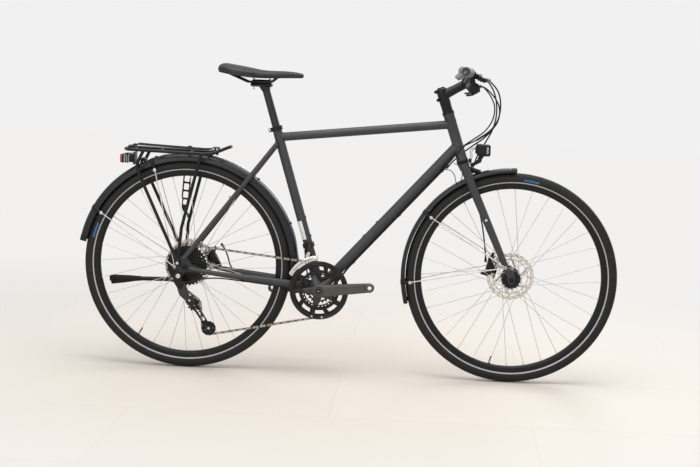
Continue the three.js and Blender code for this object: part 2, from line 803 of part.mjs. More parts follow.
function cassette() {
  const bore = turningBore(freehubRadius, hubSegments);
  const first = cassettePlace + sprocketThickness / 2;
  const last = cassettePlace - sprocketSpacing * (cassetteTeeth.length - 1) - sprocketThickness / 2;
  const carrier = sleeve(withY(rearAxle, last), withY(rearAxle, first), bore + carrierWall, bore);
  const sprockets = cassetteTeeth.map((teeth, index) => {
    const place = cassettePlace - sprocketSpacing * index;
    const plain = circleOutline(rearAxle, pitchRadius(teeth), Math.max(10, Math.round(teeth / 2)));
    const outline = index ? plain : toothedOutline(rearAxle, teeth);
    const hole = circleOutline(rearAxle, bore + carrierWall / 2, hubSegments);
    return slab(outline, place - sprocketThickness / 2, place + sprocketThickness / 2, [hole]);
  });
  return join(carrier, ...sprockets);
}

add('cassette', cassette(), chainSteel);

// Crankset: the right arm carries the spindle and a five-arm spider, the left arm clamps on
const crankAngle = radians(6);
const crankBossRadius = 21;
const crankEyeRadius = 15.5;
const crankThickness = 15;
const crankInner = 60;
const crankFlare = 6;
const pedalHoleRadius = 7;
const spiderArms = 5;
const spiderThickness = 4.2;
const spiderPlace = -46.5;
const spiderArmHalf = 7;
const spiderBoltCircle = 55;
const spiderBoltRadius = 4;
const ringThickness = 2;
const guardRadius = 98;
const guardInnerRadius = 80;
const guardThickness = 2.8;
const guardPlace = -55.6;
const ringInnerRadius = 48;
const guardBoltCircle = 79.8;
const smallBoltCircle = 38;

const rightPedal = polar(bottomBracket, crankLength, crankAngle);
const leftPedal = polar(bottomBracket, crankLength, crankAngle + Math.PI);
const spiderAngle = (index) => crankAngle + ((index + 0.5) / spiderArms) * fullTurn;

function crankArm(side, eye) {
  const inner = side * crankInner;
  const outer = side * (crankInner + crankThickness);
  const arm = linkPlate(bottomBracket, crankBossRadius, eye, crankEyeRadius, inner, outer, 7);
  const eyePad = rod(withY(eye, outer), withY(eye, side * (crankInner + crankThickness + crankFlare)), crankEyeRadius, 12);
  const hole = rod(withY(eye, inner - side * overrun), withY(eye, side * (crankInner + crankThickness + crankFlare + overrun)), pedalHoleRadius, 12);
  return { arm: join(arm, eyePad), hole };
}

function spiderBolt(radius, index, fromY, toY) {
  const place = polar(bottomBracket, spiderBoltCircle, spiderAngle(index));
  return rod(withY(place, fromY), withY(place, toY), radius, 6);
}

function spiderArm(index) {
  const end = polar(bottomBracket, spiderBoltCircle, spiderAngle(index));
  const half = spiderThickness / 2;
  return linkPlate(bottomBracket, crankBossRadius * 0.7, end, spiderArmHalf, spiderPlace - half, spiderPlace + half, 3);
}

function rightCrank() {
  const { arm, hole } = crankArm(-1, rightPedal);
  const bossInner = -(shellWidth / 2 + cupWidth + 2 * fit);
  const solid = join(
    arm,
    rod(withY(bottomBracket, bossInner), withY(bottomBracket, -crankInner - overrun), crankBossRadius, tubeSides),
    rod(withY(bottomBracket, -crankInner - overrun), withY(bottomBracket, crankInner + crankThickness), spindleRadius, shellSides),
    ...count(spiderArms).map(spiderArm),
  );
  const boltHoles = count(spiderArms).map((index) => (
    spiderBolt(spiderBoltRadius + fit, index, spiderPlace - spiderThickness, spiderPlace + spiderThickness)
  ));
  return cut(solid, hole, ...boltHoles);
}

function leftCrank() {
  const { arm, hole } = crankArm(1, leftPedal);
  const bossInner = shellWidth / 2 + cupWidth + 2 * fit;
  const boss = rod(withY(bottomBracket, bossInner), withY(bottomBracket, crankInner + overrun), crankBossRadius, tubeSides);
  const bore = rod(withY(bottomBracket, bossInner - overrun), withY(bottomBracket, crankInner + crankThickness + overrun), spindleRadius + fit, shellSides);
  return cut(join(arm, boss), hole, bore);
}

add('crank_right', rightCrank(), greyAlloy);
add('crank_left', leftCrank(), greyAlloy);

// Chainrings: three rings and the chain guard, bolted in one stack through the spider
function annulus(outline, innerRadius, place, thickness, points = 20) {
  return slab(outline, place - thickness / 2, place + thickness / 2, [circleOutline(bottomBracket, innerRadius, points)]);
}

function guardBolt(index) {
  const place = polar(bottomBracket, guardBoltCircle, spiderAngle(index));
  return rod(withY(place, guardPlace), withY(place, ringPlace), spiderBoltRadius, 6);
}

function chainrings() {
  const bolts = count(spiderArms);
  const middleInner = smallBoltCircle - carrierWall / 2;
  const smallCarrier = sleeve(
    withY(bottomBracket, middleRingPlace), withY(bottomBracket, smallRingPlace), smallBoltCircle + carrierWall / 2, middleInner, 16,
  );
  return join(
    annulus(toothedOutline(bottomBracket, ringTeeth), ringInnerRadius, ringPlace, ringThickness),
    annulus(circleOutline(bottomBracket, pitchRadius(middleTeeth), middleTeeth / 2), middleInner, middleRingPlace, ringThickness),
    annulus(circleOutline(bottomBracket, pitchRadius(smallTeeth), middleTeeth / 2), middleInner, smallRingPlace, ringThickness),
    annulus(circleOutline(bottomBracket, guardRadius, 36), guardInnerRadius, guardPlace, guardThickness, 24),
    smallCarrier,
    ...bolts.map((index) => spiderBolt(spiderBoltRadius, index, ringPlace - ringThickness, middleRingPlace)),
    ...bolts.map(guardBolt),
  );
}

add('chainrings', chainrings(), blackAlloy);

// Rear derailleur: the knuckles, the link between them, the cage and its two pulleys
const knuckleRadius = 10;
const linkTopAhead = 5.5;
const linkTopDrop = 33.7;
const linkTopPlace = -66;
const linkFootAhead = 22;
const linkFootDrop = 44;
const linkFootPlace = -51;
const cagePivotAhead = 5.7;
const cagePivotDrop = 9;
const guideAhead = 13.3;
const guideDrop = 16;
const tensionAhead = 52;
const tensionDrop = 78;
const linkTop = shifted(hangerBolt, linkTopAhead, linkTopPlace, -linkTopDrop);
const linkFoot = at(linkTop.x + linkFootAhead, linkFootPlace, linkTop.z - linkFootDrop);
const cagePivot = at(linkFoot.x + cagePivotAhead, 0, linkFoot.z - cagePivotDrop);
const guidePulley = shifted(cagePivot, guideAhead, cassettePlace, -guideDrop);
const tensionPulley = shifted(guidePulley, tensionAhead, 0, -tensionDrop);
const linkBarrelRadius = 6;
const linkBarrelHalf = 8;
const linkCollarLength = 6;
const linkCollarRadius = 9;
const linkArmRadius = 5;
const knuckleWidth = 10;
const cagePlateOffset = 4.6;
const cagePlateThickness = 1.6;
const cageGuideRadius = 12;
const cageTensionRadius = 17;
const cagePivotRadius = 12;
const pulleyBore = 2.8;
const pulleyHubRadius = 12;
const pulleyWidth = 7;
const pulleyToothWidth = 2.2;
const pulleyDrop = 4.6;

const linkSpan = linkFoot.clone().sub(linkTop);
const linkAxis = at(-linkSpan.z, 0, linkSpan.x).normalize();

function derailleurMount() {
  const collarEnd = along(linkTop, linkAxis, -linkBarrelHalf - fit - linkCollarLength);
  const outer = -dropoutOuter - fit - knuckleWidth;
  const solid = join(
    linkPlate(hangerBolt, knuckleRadius, collarEnd, linkCollarRadius, -dropoutOuter - fit, outer, 5),
    rod(collarEnd, along(linkTop, linkAxis, -linkBarrelHalf - fit), linkCollarRadius, 10),
    rod(withY(hangerBolt, -dropoutInner), withY(hangerBolt, outer), axleRadius, 10),
  );
  return solid;
}

function derailleurLink() {
  const barrel = (center) => rod(along(center, linkAxis, -linkBarrelHalf), along(center, linkAxis, linkBarrelHalf), linkBarrelRadius, 8);
  return join(barrel(linkTop), barrel(linkFoot), rod(linkTop, linkFoot, linkArmRadius, 8));
}

const cageOuterFace = cassettePlace - cagePlateOffset - cagePlateThickness;

function derailleurKnuckle() {
  const collarStart = along(linkFoot, linkAxis, linkBarrelHalf + fit);
  const inner = cageOuterFace - fit;
  return join(
    rod(withY(cagePivot, inner), withY(cagePivot, linkFoot.y + linkBarrelRadius + 2 * fit), cagePivotRadius, 12),
    rod(collarStart, along(collarStart, linkAxis, linkCollarLength), linkCollarRadius, 12),
  );
}

function pulleyAxle(center, innerY, outerY) {
  return rod(withY(center, innerY), withY(center, outerY), pulleyBore - fit, 8);
}

function derailleurCage() {
  const innerFrom = cassettePlace + cagePlateOffset;
  const innerTo = innerFrom + cagePlateThickness;
  const outerFrom = cassettePlace - cagePlateOffset;
  return join(
    linkPlate(guidePulley, cageGuideRadius, tensionPulley, cageTensionRadius, innerFrom, innerTo, 5),
    linkPlate(guidePulley, cageGuideRadius, tensionPulley, cageTensionRadius, outerFrom, cageOuterFace, 5),
    linkPlate(cagePivot, cagePivotRadius, guidePulley, cageGuideRadius, outerFrom, cageOuterFace, 5),
    pulleyAxle(guidePulley, innerTo, cageOuterFace),
    pulleyAxle(tensionPulley, innerTo, cageOuterFace),
  );
}

function pulley(center) {
  const hub = sleeve(withY(center, cassettePlace - pulleyWidth / 2), withY(center, cassettePlace + pulleyWidth / 2), pulleyHubRadius, pulleyBore, 8);
  const teeth = toothedOutline(center, pulleyTeeth);
  const hole = circleOutline(center, pulleyHubRadius - fit * 4, 8);
  return join(hub, slab(teeth, cassettePlace - pulleyToothWidth / 2, cassettePlace + pulleyToothWidth / 2, [hole]));
}

add('derailleur_mount', derailleurMount(), blackAlloy);
add('derailleur_link', derailleurLink(), blackAlloy);
add('derailleur_knuckle', derailleurKnuckle(), blackAlloy);
add('derailleur_cage', derailleurCage(), blackAlloy);
add('guide_pulley', pulley(guidePulley), blackPlastic);
add('tension_pulley', pulley(tensionPulley), blackPlastic);

// Chain: side plates as one band, open where the teeth reach in
const chainHeight = 8.4;
const chainWidth = 6.6;
const chainToothGap = 2.8;
const chainJoinLap = 0.4;

const chainStops = [
  { center: withY(rearAxle, cassettePlace), teeth: cassetteTeeth[0], sense: 1 },
  { center: withY(bottomBracket, ringPlace), teeth: ringTeeth, sense: 1 },
  { center: tensionPulley, teeth: pulleyTeeth, sense: 1 },
  { center: guidePulley, teeth: pulleyTeeth, sense: -1 },
];

// The straight run from one sprocket to the next, on the side that each one's sense of turning gives
function chainRun(from, to) {
  const fromRadius = from.sense * pitchRadius(from.teeth);
  const toRadius = to.sense * pitchRadius(to.teeth);
  const gap = to.center.clone().sub(from.center);
  const offset = fromRadius - toRadius;
  const reach = Math.sqrt(gap.x ** 2 + gap.z ** 2 - offset ** 2);
  const heading = Math.atan2(gap.z, gap.x) - Math.atan2(offset, reach);
  const normal = heading + quarterTurn;
  return {
    leaveAngle: from.sense > 0 ? normal : normal - Math.PI,
    meetAngle: to.sense > 0 ? normal : normal - Math.PI,
    start: polar(from.center, fromRadius, normal, from.center.y),
    end: polar(to.center, toRadius, normal, to.center.y),
  };
}

function chainSection() {
  const halfWidth = chainWidth / 2;
  const halfHeight = chainHeight / 2;
  return [[-halfWidth, -halfHeight], [halfWidth, -halfHeight], [halfWidth, halfHeight], [-halfWidth, halfHeight]]
    .map(([across, out]) => new THREE.Vector2(across, out));
}

function chainWrap(stop, meetAngle, leaveAngle) {
  let sweep = (leaveAngle - meetAngle) * stop.sense;
  while (sweep > 0) sweep -= fullTurn;
  while (sweep < -fullTurn) sweep += fullTurn;
  const radius = pitchRadius(stop.teeth);
  const steps = Math.max(5, Math.round((-sweep * radius) / (chainPitch * (radius < 2 * chainPitch ? 0.8 : 2))));
  const arc = new WheelArc(stop.center, radius, meetAngle, meetAngle + sweep * stop.sense);
  return extrudeAlong(chainSection(), arc, steps);
}

function chain() {
  const runs = chainStops.map((stop, index) => chainRun(stop, chainStops[(index + 1) % chainStops.length]));
  const wraps = chainStops.map((stop, index) => {
    const before = runs[(index + chainStops.length - 1) % chainStops.length];
    return chainWrap(stop, before.meetAngle, runs[index].leaveAngle);
  });
  const bands = runs.map(({ start, end }) => {
    const direction = end.clone().sub(start).normalize();
    const line = new THREE.LineCurve3(along(start, direction, -chainJoinLap), along(end, direction, chainJoinLap));
    return extrudeAlong(chainSection(), line, 1);
  });
  const toothPaths = chainStops.map((stop) => {
    const pitch = pitchRadius(stop.teeth);
    const half = chainToothGap / 2;
    const outer = (pitch + toothRise + fit) / Math.cos(Math.PI / stop.teeth);
    const outline = [[pitch - chainHeight, -half], [outer, -half], [outer, half], [pitch - chainHeight, half]];
    return turned(outline, stop.center, acrossY, stop.teeth);
  });
  return cut(join(...wraps, ...bands), ...toothPaths);
}

add('chain', chain(), chainSteel);

// Front derailleur: a clamp on the seat tube, a link and the cage over the chain
const shifterBandDistance = 150;
const bandHeight = 16;
const bandWall = 4;
const bandRadius = seatTubeRadius + fit;
const shifterLinkBack = 38;
const shifterLinkRise = 151.5;
const shifterLinkPlace = -27;
const shifterLinkReach = 18;
const shifterLinkDrop = 24;
const shifterLinkTop = shifted(bottomBracket, -shifterLinkBack, shifterLinkPlace, shifterLinkRise);
const shifterLinkFoot = shifted(shifterLinkTop, 0, -shifterLinkReach, -shifterLinkDrop);
const shifterLinkHalf = 4;
const shifterLinkRadius = 4.5;
const shifterEarLength = 6;
const shifterCageInner = 100.5;
const shifterCageOuter = 116;
const shifterPlateThickness = 1.2;
const shifterOuterPlate = -56.1;
const shifterInnerPlate = -40.7;
const shifterCageStart = radians(94);
const shifterCageEnd = radians(154);
const shifterRootAngle = radians(113);
const shifterBridgeSpan = radians(8);

function arcBand(center, innerRadius, outerRadius, from, to, steps) {
  const arc = (radius, start, end) => count(steps + 1).map((step) => {
    const place = polar(center, radius, start + ((end - start) * step) / steps);
    return [place.x, place.z];
  });
  return [...arc(outerRadius, from, to), ...arc(innerRadius, to, from)];
}

function shifterPlate(from, to, fromY, toY) {
  return slab(arcBand(bottomBracket, shifterCageInner, shifterCageOuter, from, to, 4), fromY, toY);
}

function frontDerailleurClamp() {
  const low = upSeatTube(shifterBandDistance - bandHeight / 2);
  const high = upSeatTube(shifterBandDistance + bandHeight / 2);
  const ear = shifted(shifterLinkTop, shifterLinkHalf + fit, 0, 0);
  const earEnd = shifted(ear, shifterEarLength, 0, 0);
  const solid = join(
    rod(low, high, bandRadius + bandWall, tubeSides),
    rod(ear, earEnd, shifterLinkRadius, 10),
    rod(between(ear, earEnd, 0.5), withY(between(ear, earEnd, 0.5), -shifterEarLength), shifterEarLength / 2, 8),
  );
  return cut(solid, rod(along(low, seatDirection, -overrun * 3), along(high, seatDirection, overrun * 3), bandRadius, tubeSides));
}

function frontDerailleurLink() {
  const across = (point, distance) => shifted(point, distance, 0, 0);
  const barrel = (center) => rod(across(center, -shifterLinkHalf), across(center, shifterLinkHalf), shifterLinkRadius, 10);
  return join(barrel(shifterLinkTop), barrel(shifterLinkFoot), rod(shifterLinkTop, shifterLinkFoot, shifterLinkHalf * 0.8, 8));
}

function frontDerailleurCage() {
  const ear = shifted(shifterLinkFoot, -shifterLinkHalf - fit, 0, 0);
  const earEnd = shifted(ear, -shifterEarLength, 0, 0);
  const root = polar(bottomBracket, shifterCageOuter - shifterLinkRadius, shifterRootAngle, shifterInnerPlate - shifterPlateThickness / 2);
  return join(
    shifterPlate(shifterCageStart, shifterCageEnd, shifterOuterPlate, shifterOuterPlate + shifterPlateThickness),
    shifterPlate(shifterCageStart, shifterCageEnd, shifterInnerPlate - shifterPlateThickness, shifterInnerPlate),
    shifterPlate(shifterCageStart, shifterCageStart + shifterBridgeSpan, shifterOuterPlate, shifterInnerPlate),
    shifterPlate(shifterCageEnd - shifterBridgeSpan, shifterCageEnd, shifterOuterPlate, shifterInnerPlate),
    rod(ear, earEnd, shifterLinkRadius, 10),
    rod(between(ear, earEnd, 0.5), root, shifterEarLength / 2, 8),
  );
}

add('front_derailleur_clamp', frontDerailleurClamp(), blackAlloy);
add('front_derailleur_link', frontDerailleurLink(), blackAlloy);
add('front_derailleur_cage', frontDerailleurCage(), steel);

// Mudguards: an arched plastic shell round each tyre
const mudguardDepth = 14;
const mudguardWall = 2;
const frontGuardClearance = 16;
const frontGuardRadius = wheelRadius + frontGuardClearance;
const rearGuardStart = radians(-4.5);
const guardTabStart = radians(-9);
const guardTabEnd = radians(-3);
const guardTabHalf = 8;
const rearGuardEnd = radians(169.5);
const frontGuardStart = radians(89.4);
const frontGuardEnd = radians(196);
const frontGuardSteps = 13;
const rearGuardSteps = 20;
const archShares = [[-1, -1], [-0.84, -0.3], [-0.45, 0], [0.45, 0], [0.84, -0.3], [1, -1]];
const guardBossRadius = 6;

function archSection() {
  const half = mudguardWidth / 2;
  const outer = archShares.map(([across, out]) => new THREE.Vector2(across * half, out * mudguardDepth));
  const innerHalf = half - mudguardWall;
  const inner = archShares.map(([across, out]) => (
    new THREE.Vector2(across * innerHalf, out === -1 ? -mudguardDepth : out * mudguardDepth - mudguardWall)
  ));
  return [...outer, ...inner.reverse()];
}

function mudguard(axleCenter, radius, from, to, steps) {
  return extrudeAlong(archSection(), new WheelArc(axleCenter, radius, from, to), steps);
}

const crownDrop = 24;
const crownRadius = 15;
const crownCenter = upHeadTube(-crownDrop);

function frontMudguard() {
  const toCrown = crownCenter.clone().sub(frontAxle).normalize();
  const reach = crownCenter.distanceTo(frontAxle);
  const boss = rod(
    along(frontAxle, toCrown, frontGuardRadius - mudguardWall), along(frontAxle, toCrown, reach - crownRadius - fit), guardBossRadius, 8,
  );
  return join(mudguard(frontAxle, frontGuardRadius, frontGuardStart, frontGuardEnd, frontGuardSteps), boss);
}

function rearMudguard() {
  const tab = arcBand(rearAxle, rearGuardRadius - mudguardWall, rearGuardRadius, guardTabStart, guardTabEnd, 2);
  return join(
    mudguard(rearAxle, rearGuardRadius, rearGuardStart, rearGuardEnd, rearGuardSteps), slab(tab, -guardTabHalf, guardTabHalf),
  );
}

add('rear_mudguard', rearMudguard(), guardPlastic);
add('front_mudguard', frontMudguard(), guardPlastic);

// Mudguard stays: steel wires from a clamp across the guard to the eyelet at the dropout
const stayWireRadius = 1.75;
const clipDepth = 16;
const clipRadiusFromAxle = wheelRadius - clipDepth;
const clipWidth = 12;
const clipWall = 2;
const clipBoltRadius = 5;
const stayLoopRadius = 6;
const stayLoopWidth = 8;
const rearUpperClip = radians(109.9);
const rearLowerClip = radians(150.7);
const frontUpperClip = radians(144.5);
const frontLowerClip = radians(184.4);
const rearStayEyelet = at(-stayEyeletBack, 0, rearAxle.z - stayEyeletDrop);
const forkEyeletBack = 23;
const forkEyeletRise = 44;
const forkEyelet = shifted(frontAxle, -forkEyeletBack, 0, forkEyeletRise);
const forkEyeletFace = 69;

// The clamp goes over the guard's outside, and its legs reach down to the bolts
function stayClip(axleCenter, radius, angle) {
  const half = mudguardWidth / 2 + fit;
  const legs = radius - clipRadiusFromAxle;
  const inner = archShares.map(([across, out]) => [across * half, out * mudguardDepth + fit]);
  const outer = archShares.map(([across, out]) => [across * (half + clipWall), out * mudguardDepth + fit + clipWall]);
  const outline = [
    [-half, -legs - clipBoltRadius], ...inner, [half, -legs - clipBoltRadius],
    [half + clipWall, -legs - clipBoltRadius], ...outer.reverse(), [-half - clipWall, -legs - clipBoltRadius],
  ];
  const strap = crossSlab(outline, -clipWidth / 2, clipWidth / 2);
  const center = polar(axleCenter, radius, angle);
  return strap.rotateY(quarterTurn - angle).translate(center.x, 0, center.z);
}

function mudguardStays(axleCenter, radius, clipAngles, eyelet, eyeletFace) {
  const legY = mudguardWidth / 2 + fit + clipWall / 2;
  const loopY = eyeletFace + fit + stayLoopWidth * 0.7;
  const oneSide = (side) => clipAngles.flatMap((angle) => {
    const clip = polar(axleCenter, clipRadiusFromAxle, angle);
    return [
      rod(withY(clip, side * legY), withY(eyelet, side * loopY), stayWireRadius, cableSides),
      rod(withY(clip, side * (legY - clipWall / 2)), withY(clip, side * (legY + clipWall * 2)), clipBoltRadius, 6),
    ];
  });
  const loop = (side) => rod(
    withY(eyelet, side * (eyeletFace + fit)), withY(eyelet, side * (eyeletFace + fit + stayLoopWidth)), stayLoopRadius, 8,
  );
  return join(
    ...clipAngles.map((angle) => stayClip(axleCenter, radius, angle)),
    ...oneSide(1), ...oneSide(-1), loop(1), loop(-1),
  );
}

const rearStays = mudguardStays(rearAxle, rearGuardRadius, [rearUpperClip, rearLowerClip], rearStayEyelet, dropoutOuter);
const frontStays = mudguardStays(frontAxle, frontGuardRadius, [frontUpperClip, frontLowerClip], forkEyelet, forkEyeletFace);
add('rear_mudguard_stays', rearStays, steel);
add('front_mudguard_stays', frontStays, steel);

// Rear rack: a welded tube deck on two pairs of legs
const rackTubeRadius = 5.5;
const deckSteps = 13;
const rackBarRadius = 3.5;
const rackHalfWidth = 62;
const rackRearReach = -214;
const rackRise = 377;
const rackSlope = 6.6;
const rackTipRise = 24;
const rackFrontHeight = wheelRadius + rackRise;
const rackRearHeight = rackFrontHeight + rackSlope;
const rackFrontReach = 72;
const rackTipReach = 136;
const rackTipHeight = rackFrontHeight + rackTipRise;
const rackTipHalfWidth = 34;
const rackCorner = 20;
const rackFootY = 80;
const rackFootRadius = 7;
const rackFootWidth = 8;
const rackFrontLegReach = 46;
const rackRearLegReach = -146;
const rackKneeReach = -171.6;
const rackKneeDrop = 48.4;
const rackKneeHeight = rackFrontHeight - rackKneeDrop;
const rackBarRise = 4.5;
const rackBarPlaces = [-190, -100, 0, 66];
const rackPlateWidth = 34;
const rackPlateThickness = 2.5;
const rackPlateStart = -196;
const rackPlateEnd = 70;
const rackTieReach = -160;
const rackTieDrop = 28;
const rackTieHeight = rackFrontHeight - rackTieDrop;
const lampPlateHalfWidth = 26;
const lampPlateDrop = 42;
const lampPlatePlace = -185;
const lampPlateThickness = 2.5;

function rackHeight(x) {
  const share = (x - rackRearReach) / (rackFrontReach - rackRearReach);
  return rackRearHeight + (rackFrontHeight - rackRearHeight) * share;
}

function deckRail(side) {
  return [
    at(rackRearReach, 0, rackRearHeight),
    at(rackRearReach, side * (rackHalfWidth - rackCorner), rackRearHeight),
    at(rackRearReach + rackCorner, side * rackHalfWidth, rackHeight(rackRearReach + rackCorner)),
    at(rackRearLegReach, side * rackHalfWidth, rackHeight(rackRearLegReach)),
    at(0, side * rackHalfWidth, rackHeight(0)),
    at(rackFrontReach, side * rackHalfWidth, rackFrontHeight),
    at(rackTipReach - rackCorner, side * rackTipHalfWidth * 1.3, rackTipHeight - rackCorner * 0.45),
    at(rackTipReach, 0, rackTipHeight),
  ];
}

function rackLegs(side) {
  const foot = at(-rackEyeletBack, side * rackFootY, rearAxle.z + rackEyeletRise);
  const knee = at(rackKneeReach, side * rackHalfWidth, rackKneeHeight);
  const rearTop = at(rackRearLegReach, side * rackHalfWidth, rackHeight(rackRearLegReach));
  const frontTop = at(rackFrontLegReach, side * rackHalfWidth, rackHeight(rackFrontLegReach));
  return [
    rod(frontTop, foot, rackTubeRadius, 6),
    rod(rearTop, along(knee, knee.clone().sub(rearTop).normalize(), rackTubeRadius / 2), rackTubeRadius, 6),
    rod(along(knee, knee.clone().sub(foot).normalize(), rackTubeRadius / 2), foot, rackTubeRadius, 6),
    rod(withY(foot, side * (dropoutOuter + fit)), withY(foot, side * (dropoutOuter + fit + rackFootWidth)), rackFootRadius, 8),
  ];
}

function rackTie() {
  const bar = at(rackTieReach, 0, rackTieHeight);
  const inward = rearAxle.clone().sub(bar).normalize();
  const seat = along(rearAxle, inward, -(rearGuardRadius + 2 * fit));
  return [rod(withY(bar, -rackHalfWidth), withY(bar, rackHalfWidth), rackBarRadius, 6), rod(bar, seat, rackBarRadius * 1.5, 6)];
}

function rackFrontTie() {
  const bar = at(rackFrontReach, 0, rackFrontHeight + rackBarRise);
  const inward = rearAxle.clone().sub(bar).normalize();
  const seat = along(rearAxle, inward, -(rearGuardRadius + 2 * fit));
  return [rod(withY(bar, -rackHalfWidth), withY(bar, rackHalfWidth), rackBarRadius, 6), rod(bar, seat, rackBarRadius * 2, 6)];
}

function rearRack() {
  const bar = (x) => {
    const place = at(x, 0, rackHeight(x) + rackBarRise);
    return rod(withY(place, -rackHalfWidth), withY(place, rackHalfWidth), rackBarRadius, 6);
  };
  const plateHeight = (x) => rackHeight(x) + rackBarRise + rackBarRadius;
  const plate = slab(
    [
      [rackPlateStart, plateHeight(rackPlateStart) - rackBarRadius], [rackPlateEnd, plateHeight(rackPlateEnd) - rackBarRadius],
      [rackPlateEnd, plateHeight(rackPlateEnd) + rackPlateThickness],
      [rackPlateStart, plateHeight(rackPlateStart) + rackPlateThickness],
    ],
    -rackPlateWidth / 2, rackPlateWidth / 2,
  );
  const lampPlate = block(
    at(lampPlatePlace + lampPlateThickness / 2, 0, rackRearHeight - lampPlateDrop / 2 + rackBarRise), lampPlateThickness, 2 * lampPlateHalfWidth, lampPlateDrop + rackBarRise,
  );
  return join(
    bentRod(deckRail(1), rackTubeRadius, deckSteps, 6), bentRod(deckRail(-1), rackTubeRadius, deckSteps, 6),
    ...rackLegs(1), ...rackLegs(-1), ...rackBarPlaces.map(bar), ...rackTie(), ...rackFrontTie(), plate, lampPlate,
  );
}

const rackShape = rearRack();
add('rear_rack', rackShape, blackAlloy);

// Tail light on the plate behind the deck
const tailLightDepth = 45;
const tailLightHeight = 31;
const tailLightWidth = 84;
const tailLightDrop = 26;
const tailLightCenterHeight = rackFrontHeight - tailLightDrop;
const tailLightCorner = 8;

function tailLight() {
  const half = tailLightWidth / 2;
  const high = tailLightHeight / 2;
  const outline = [
    [-half, -high + tailLightCorner], [-half + tailLightCorner, -high], [half - tailLightCorner, -high], [half, -high + tailLightCorner],
    [half, high - tailLightCorner], [half - tailLightCorner, high], [-half + tailLightCorner, high], [-half, high - tailLightCorner],
  ].map(([y, z]) => [y, z + tailLightCenterHeight]);
  const front = lampPlatePlace - fit;
  return crossSlab(outline, front - tailLightDepth, front);
}

add('tail_light', tailLight(), redPlastic);

// Luggage strap: a ladder of rubber that hangs from the left rail to the front leg
const strapWidth = 27;
const strapThickness = 3;
const strapTopReach = -14;
const strapFootReach = -30;
const strapDrop = 210;
const strapFootHeight = rackFrontHeight - strapDrop;
const strapHoles = 6;
const strapHoleShare = 0.62;
const strapHookRadius = 2;

function luggageStrap() {
  const half = strapWidth / 2;
  const inner = rackHalfWidth + rackTubeRadius + 2 * fit;
  const outer = inner + strapThickness;
  const top = rackHeight(strapTopReach) + rackTubeRadius + 2 * fit;
  const middle = (share) => strapFootReach + (strapTopReach - strapFootReach) * share;
  const height = (share) => strapFootHeight + (top - strapFootHeight) * share;
  const corner = (share, side) => [middle(share) + side * half, height(share)];
  const hole = (index) => {
    const low = (index + 0.5 - strapHoleShare / 2) / (strapHoles + 1.5);
    const high = (index + 0.5 + strapHoleShare / 2) / (strapHoles + 1.5);
    const narrow = strapHoleShare;
    return [corner(low, -narrow), corner(low, narrow), corner(high, narrow), corner(high, -narrow)];
  };
  const band = slab(
    [corner(0, -1), corner(0, 1), corner(1, 1), corner(1, -1)], inner, outer, count(strapHoles).map(hole),
  );
  const hook = block(
    at(strapTopReach, (rackHalfWidth + outer) / 2, top + strapThickness / 2 - fit), strapWidth, outer - rackHalfWidth, strapThickness,
  );
  const legFoot = at(-rackEyeletBack, rackFootY, rearAxle.z + rackEyeletRise);
  const legTop = at(rackFrontLegReach, rackHalfWidth, rackHeight(rackFrontLegReach));
  const leg = between(legFoot, legTop, (strapFootHeight - legFoot.z) / (legTop.z - legFoot.z));
  const tie = rod(at(strapFootReach + half - strapHookRadius, outer - strapThickness / 2, strapFootHeight + strapHookRadius), leg, strapHookRadius, 6);
  return mainBody(cut(join(band, hook, tie), rod(legFoot, legTop, rackTubeRadius + 2 * fit, 6), bentRod(deckRail(1), rackTubeRadius + 2 * fit, deckSteps, 6)));
}

add('luggage_strap', luggageStrap(), softRubber);

// Kickstand: a cast bracket beside the left dropout and a leg that folds back
const standBack = 10;
const standPlace = 84;
const standDrop = 67;
const standLean = Math.atan2(0.23, 0.973);
const standPivot = shifted(rearAxle, -standBack, standPlace, -standDrop);
const standAxis = at(0, Math.cos(standLean), Math.sin(standLean));
const standBracketReach = 18;
const standBracketDrop = 13;
const standBracketRadius = 12;
const standBossRadius = 9;
const standBossLength = 8;
const standLegRadius = 7.5;
const standReach = 278;
const standTipOut = 13;
const standTipDrop = 8;
const standTip = shifted(standPivot, -standReach, standTipOut, -standTipDrop);
const standFootRadius = 10;
const standFootLength = 24;

function kickstandBracket() {
  const top = at(standBracketReach, 0, rearAxle.z - standBracketDrop);
  const inner = dropoutOuter + fit;
  return join(
    linkPlate(top, standBracketRadius, standPivot, standBossRadius, inner, inner + axleRadius, 5),
    rod(along(standPivot, standAxis, -standBossLength), standPivot, standBossRadius, 12),
  );
}

function kickstandLeg() {
  const hubStart = along(standPivot, standAxis, fit);
  const hubEnd = along(standPivot, standAxis, 2 * standBossLength);
  const legStart = along(standPivot, standAxis, standBossLength + fit);
  const toTip = standTip.clone().sub(legStart).normalize();
  return join(
    rod(hubStart, hubEnd, standBossRadius, 12),
    rod(legStart, standTip, standLegRadius, 10),
    rod(along(standTip, toTip, -standFootLength), standTip, standFootRadius, 10),
  );
}

add('kickstand_bracket', kickstandBracket(), blackAlloy);
add('kickstand_leg', kickstandLeg(), blackAlloy);

// Fork: steerer, crown, straight blades that lean forward and slotted tips
const steererTopDistance = 240;
const steererBore = 12;
const crownHalfWidth = 44;
const crownNeckRadius = 18;
const bladeTopOffset = 42;
const bladeTipOffset = 56;
const bladeTopRadius = 14.2;
const bladeTipRadius = 10.6;
const bladeTipBack = 12;
const bladeTipRise = 24;
const forkTipHalf = 14;
const forkBossRadius = 6;
const forkBossShare = 0.49;
const forkBossReach = 13;
const forkTipShares = [[-1.6, 3.2], [0.3, 2.9], [1.05, 0.3], [0.75, -0.9], [-0.75, -1], [-1.2, 0]];

const bladeTop = (side) => withY(crownCenter, side * bladeTopOffset);
const bladeTip = (side) => shifted(frontAxle, -bladeTipBack, side * bladeTipOffset, bladeTipRise);

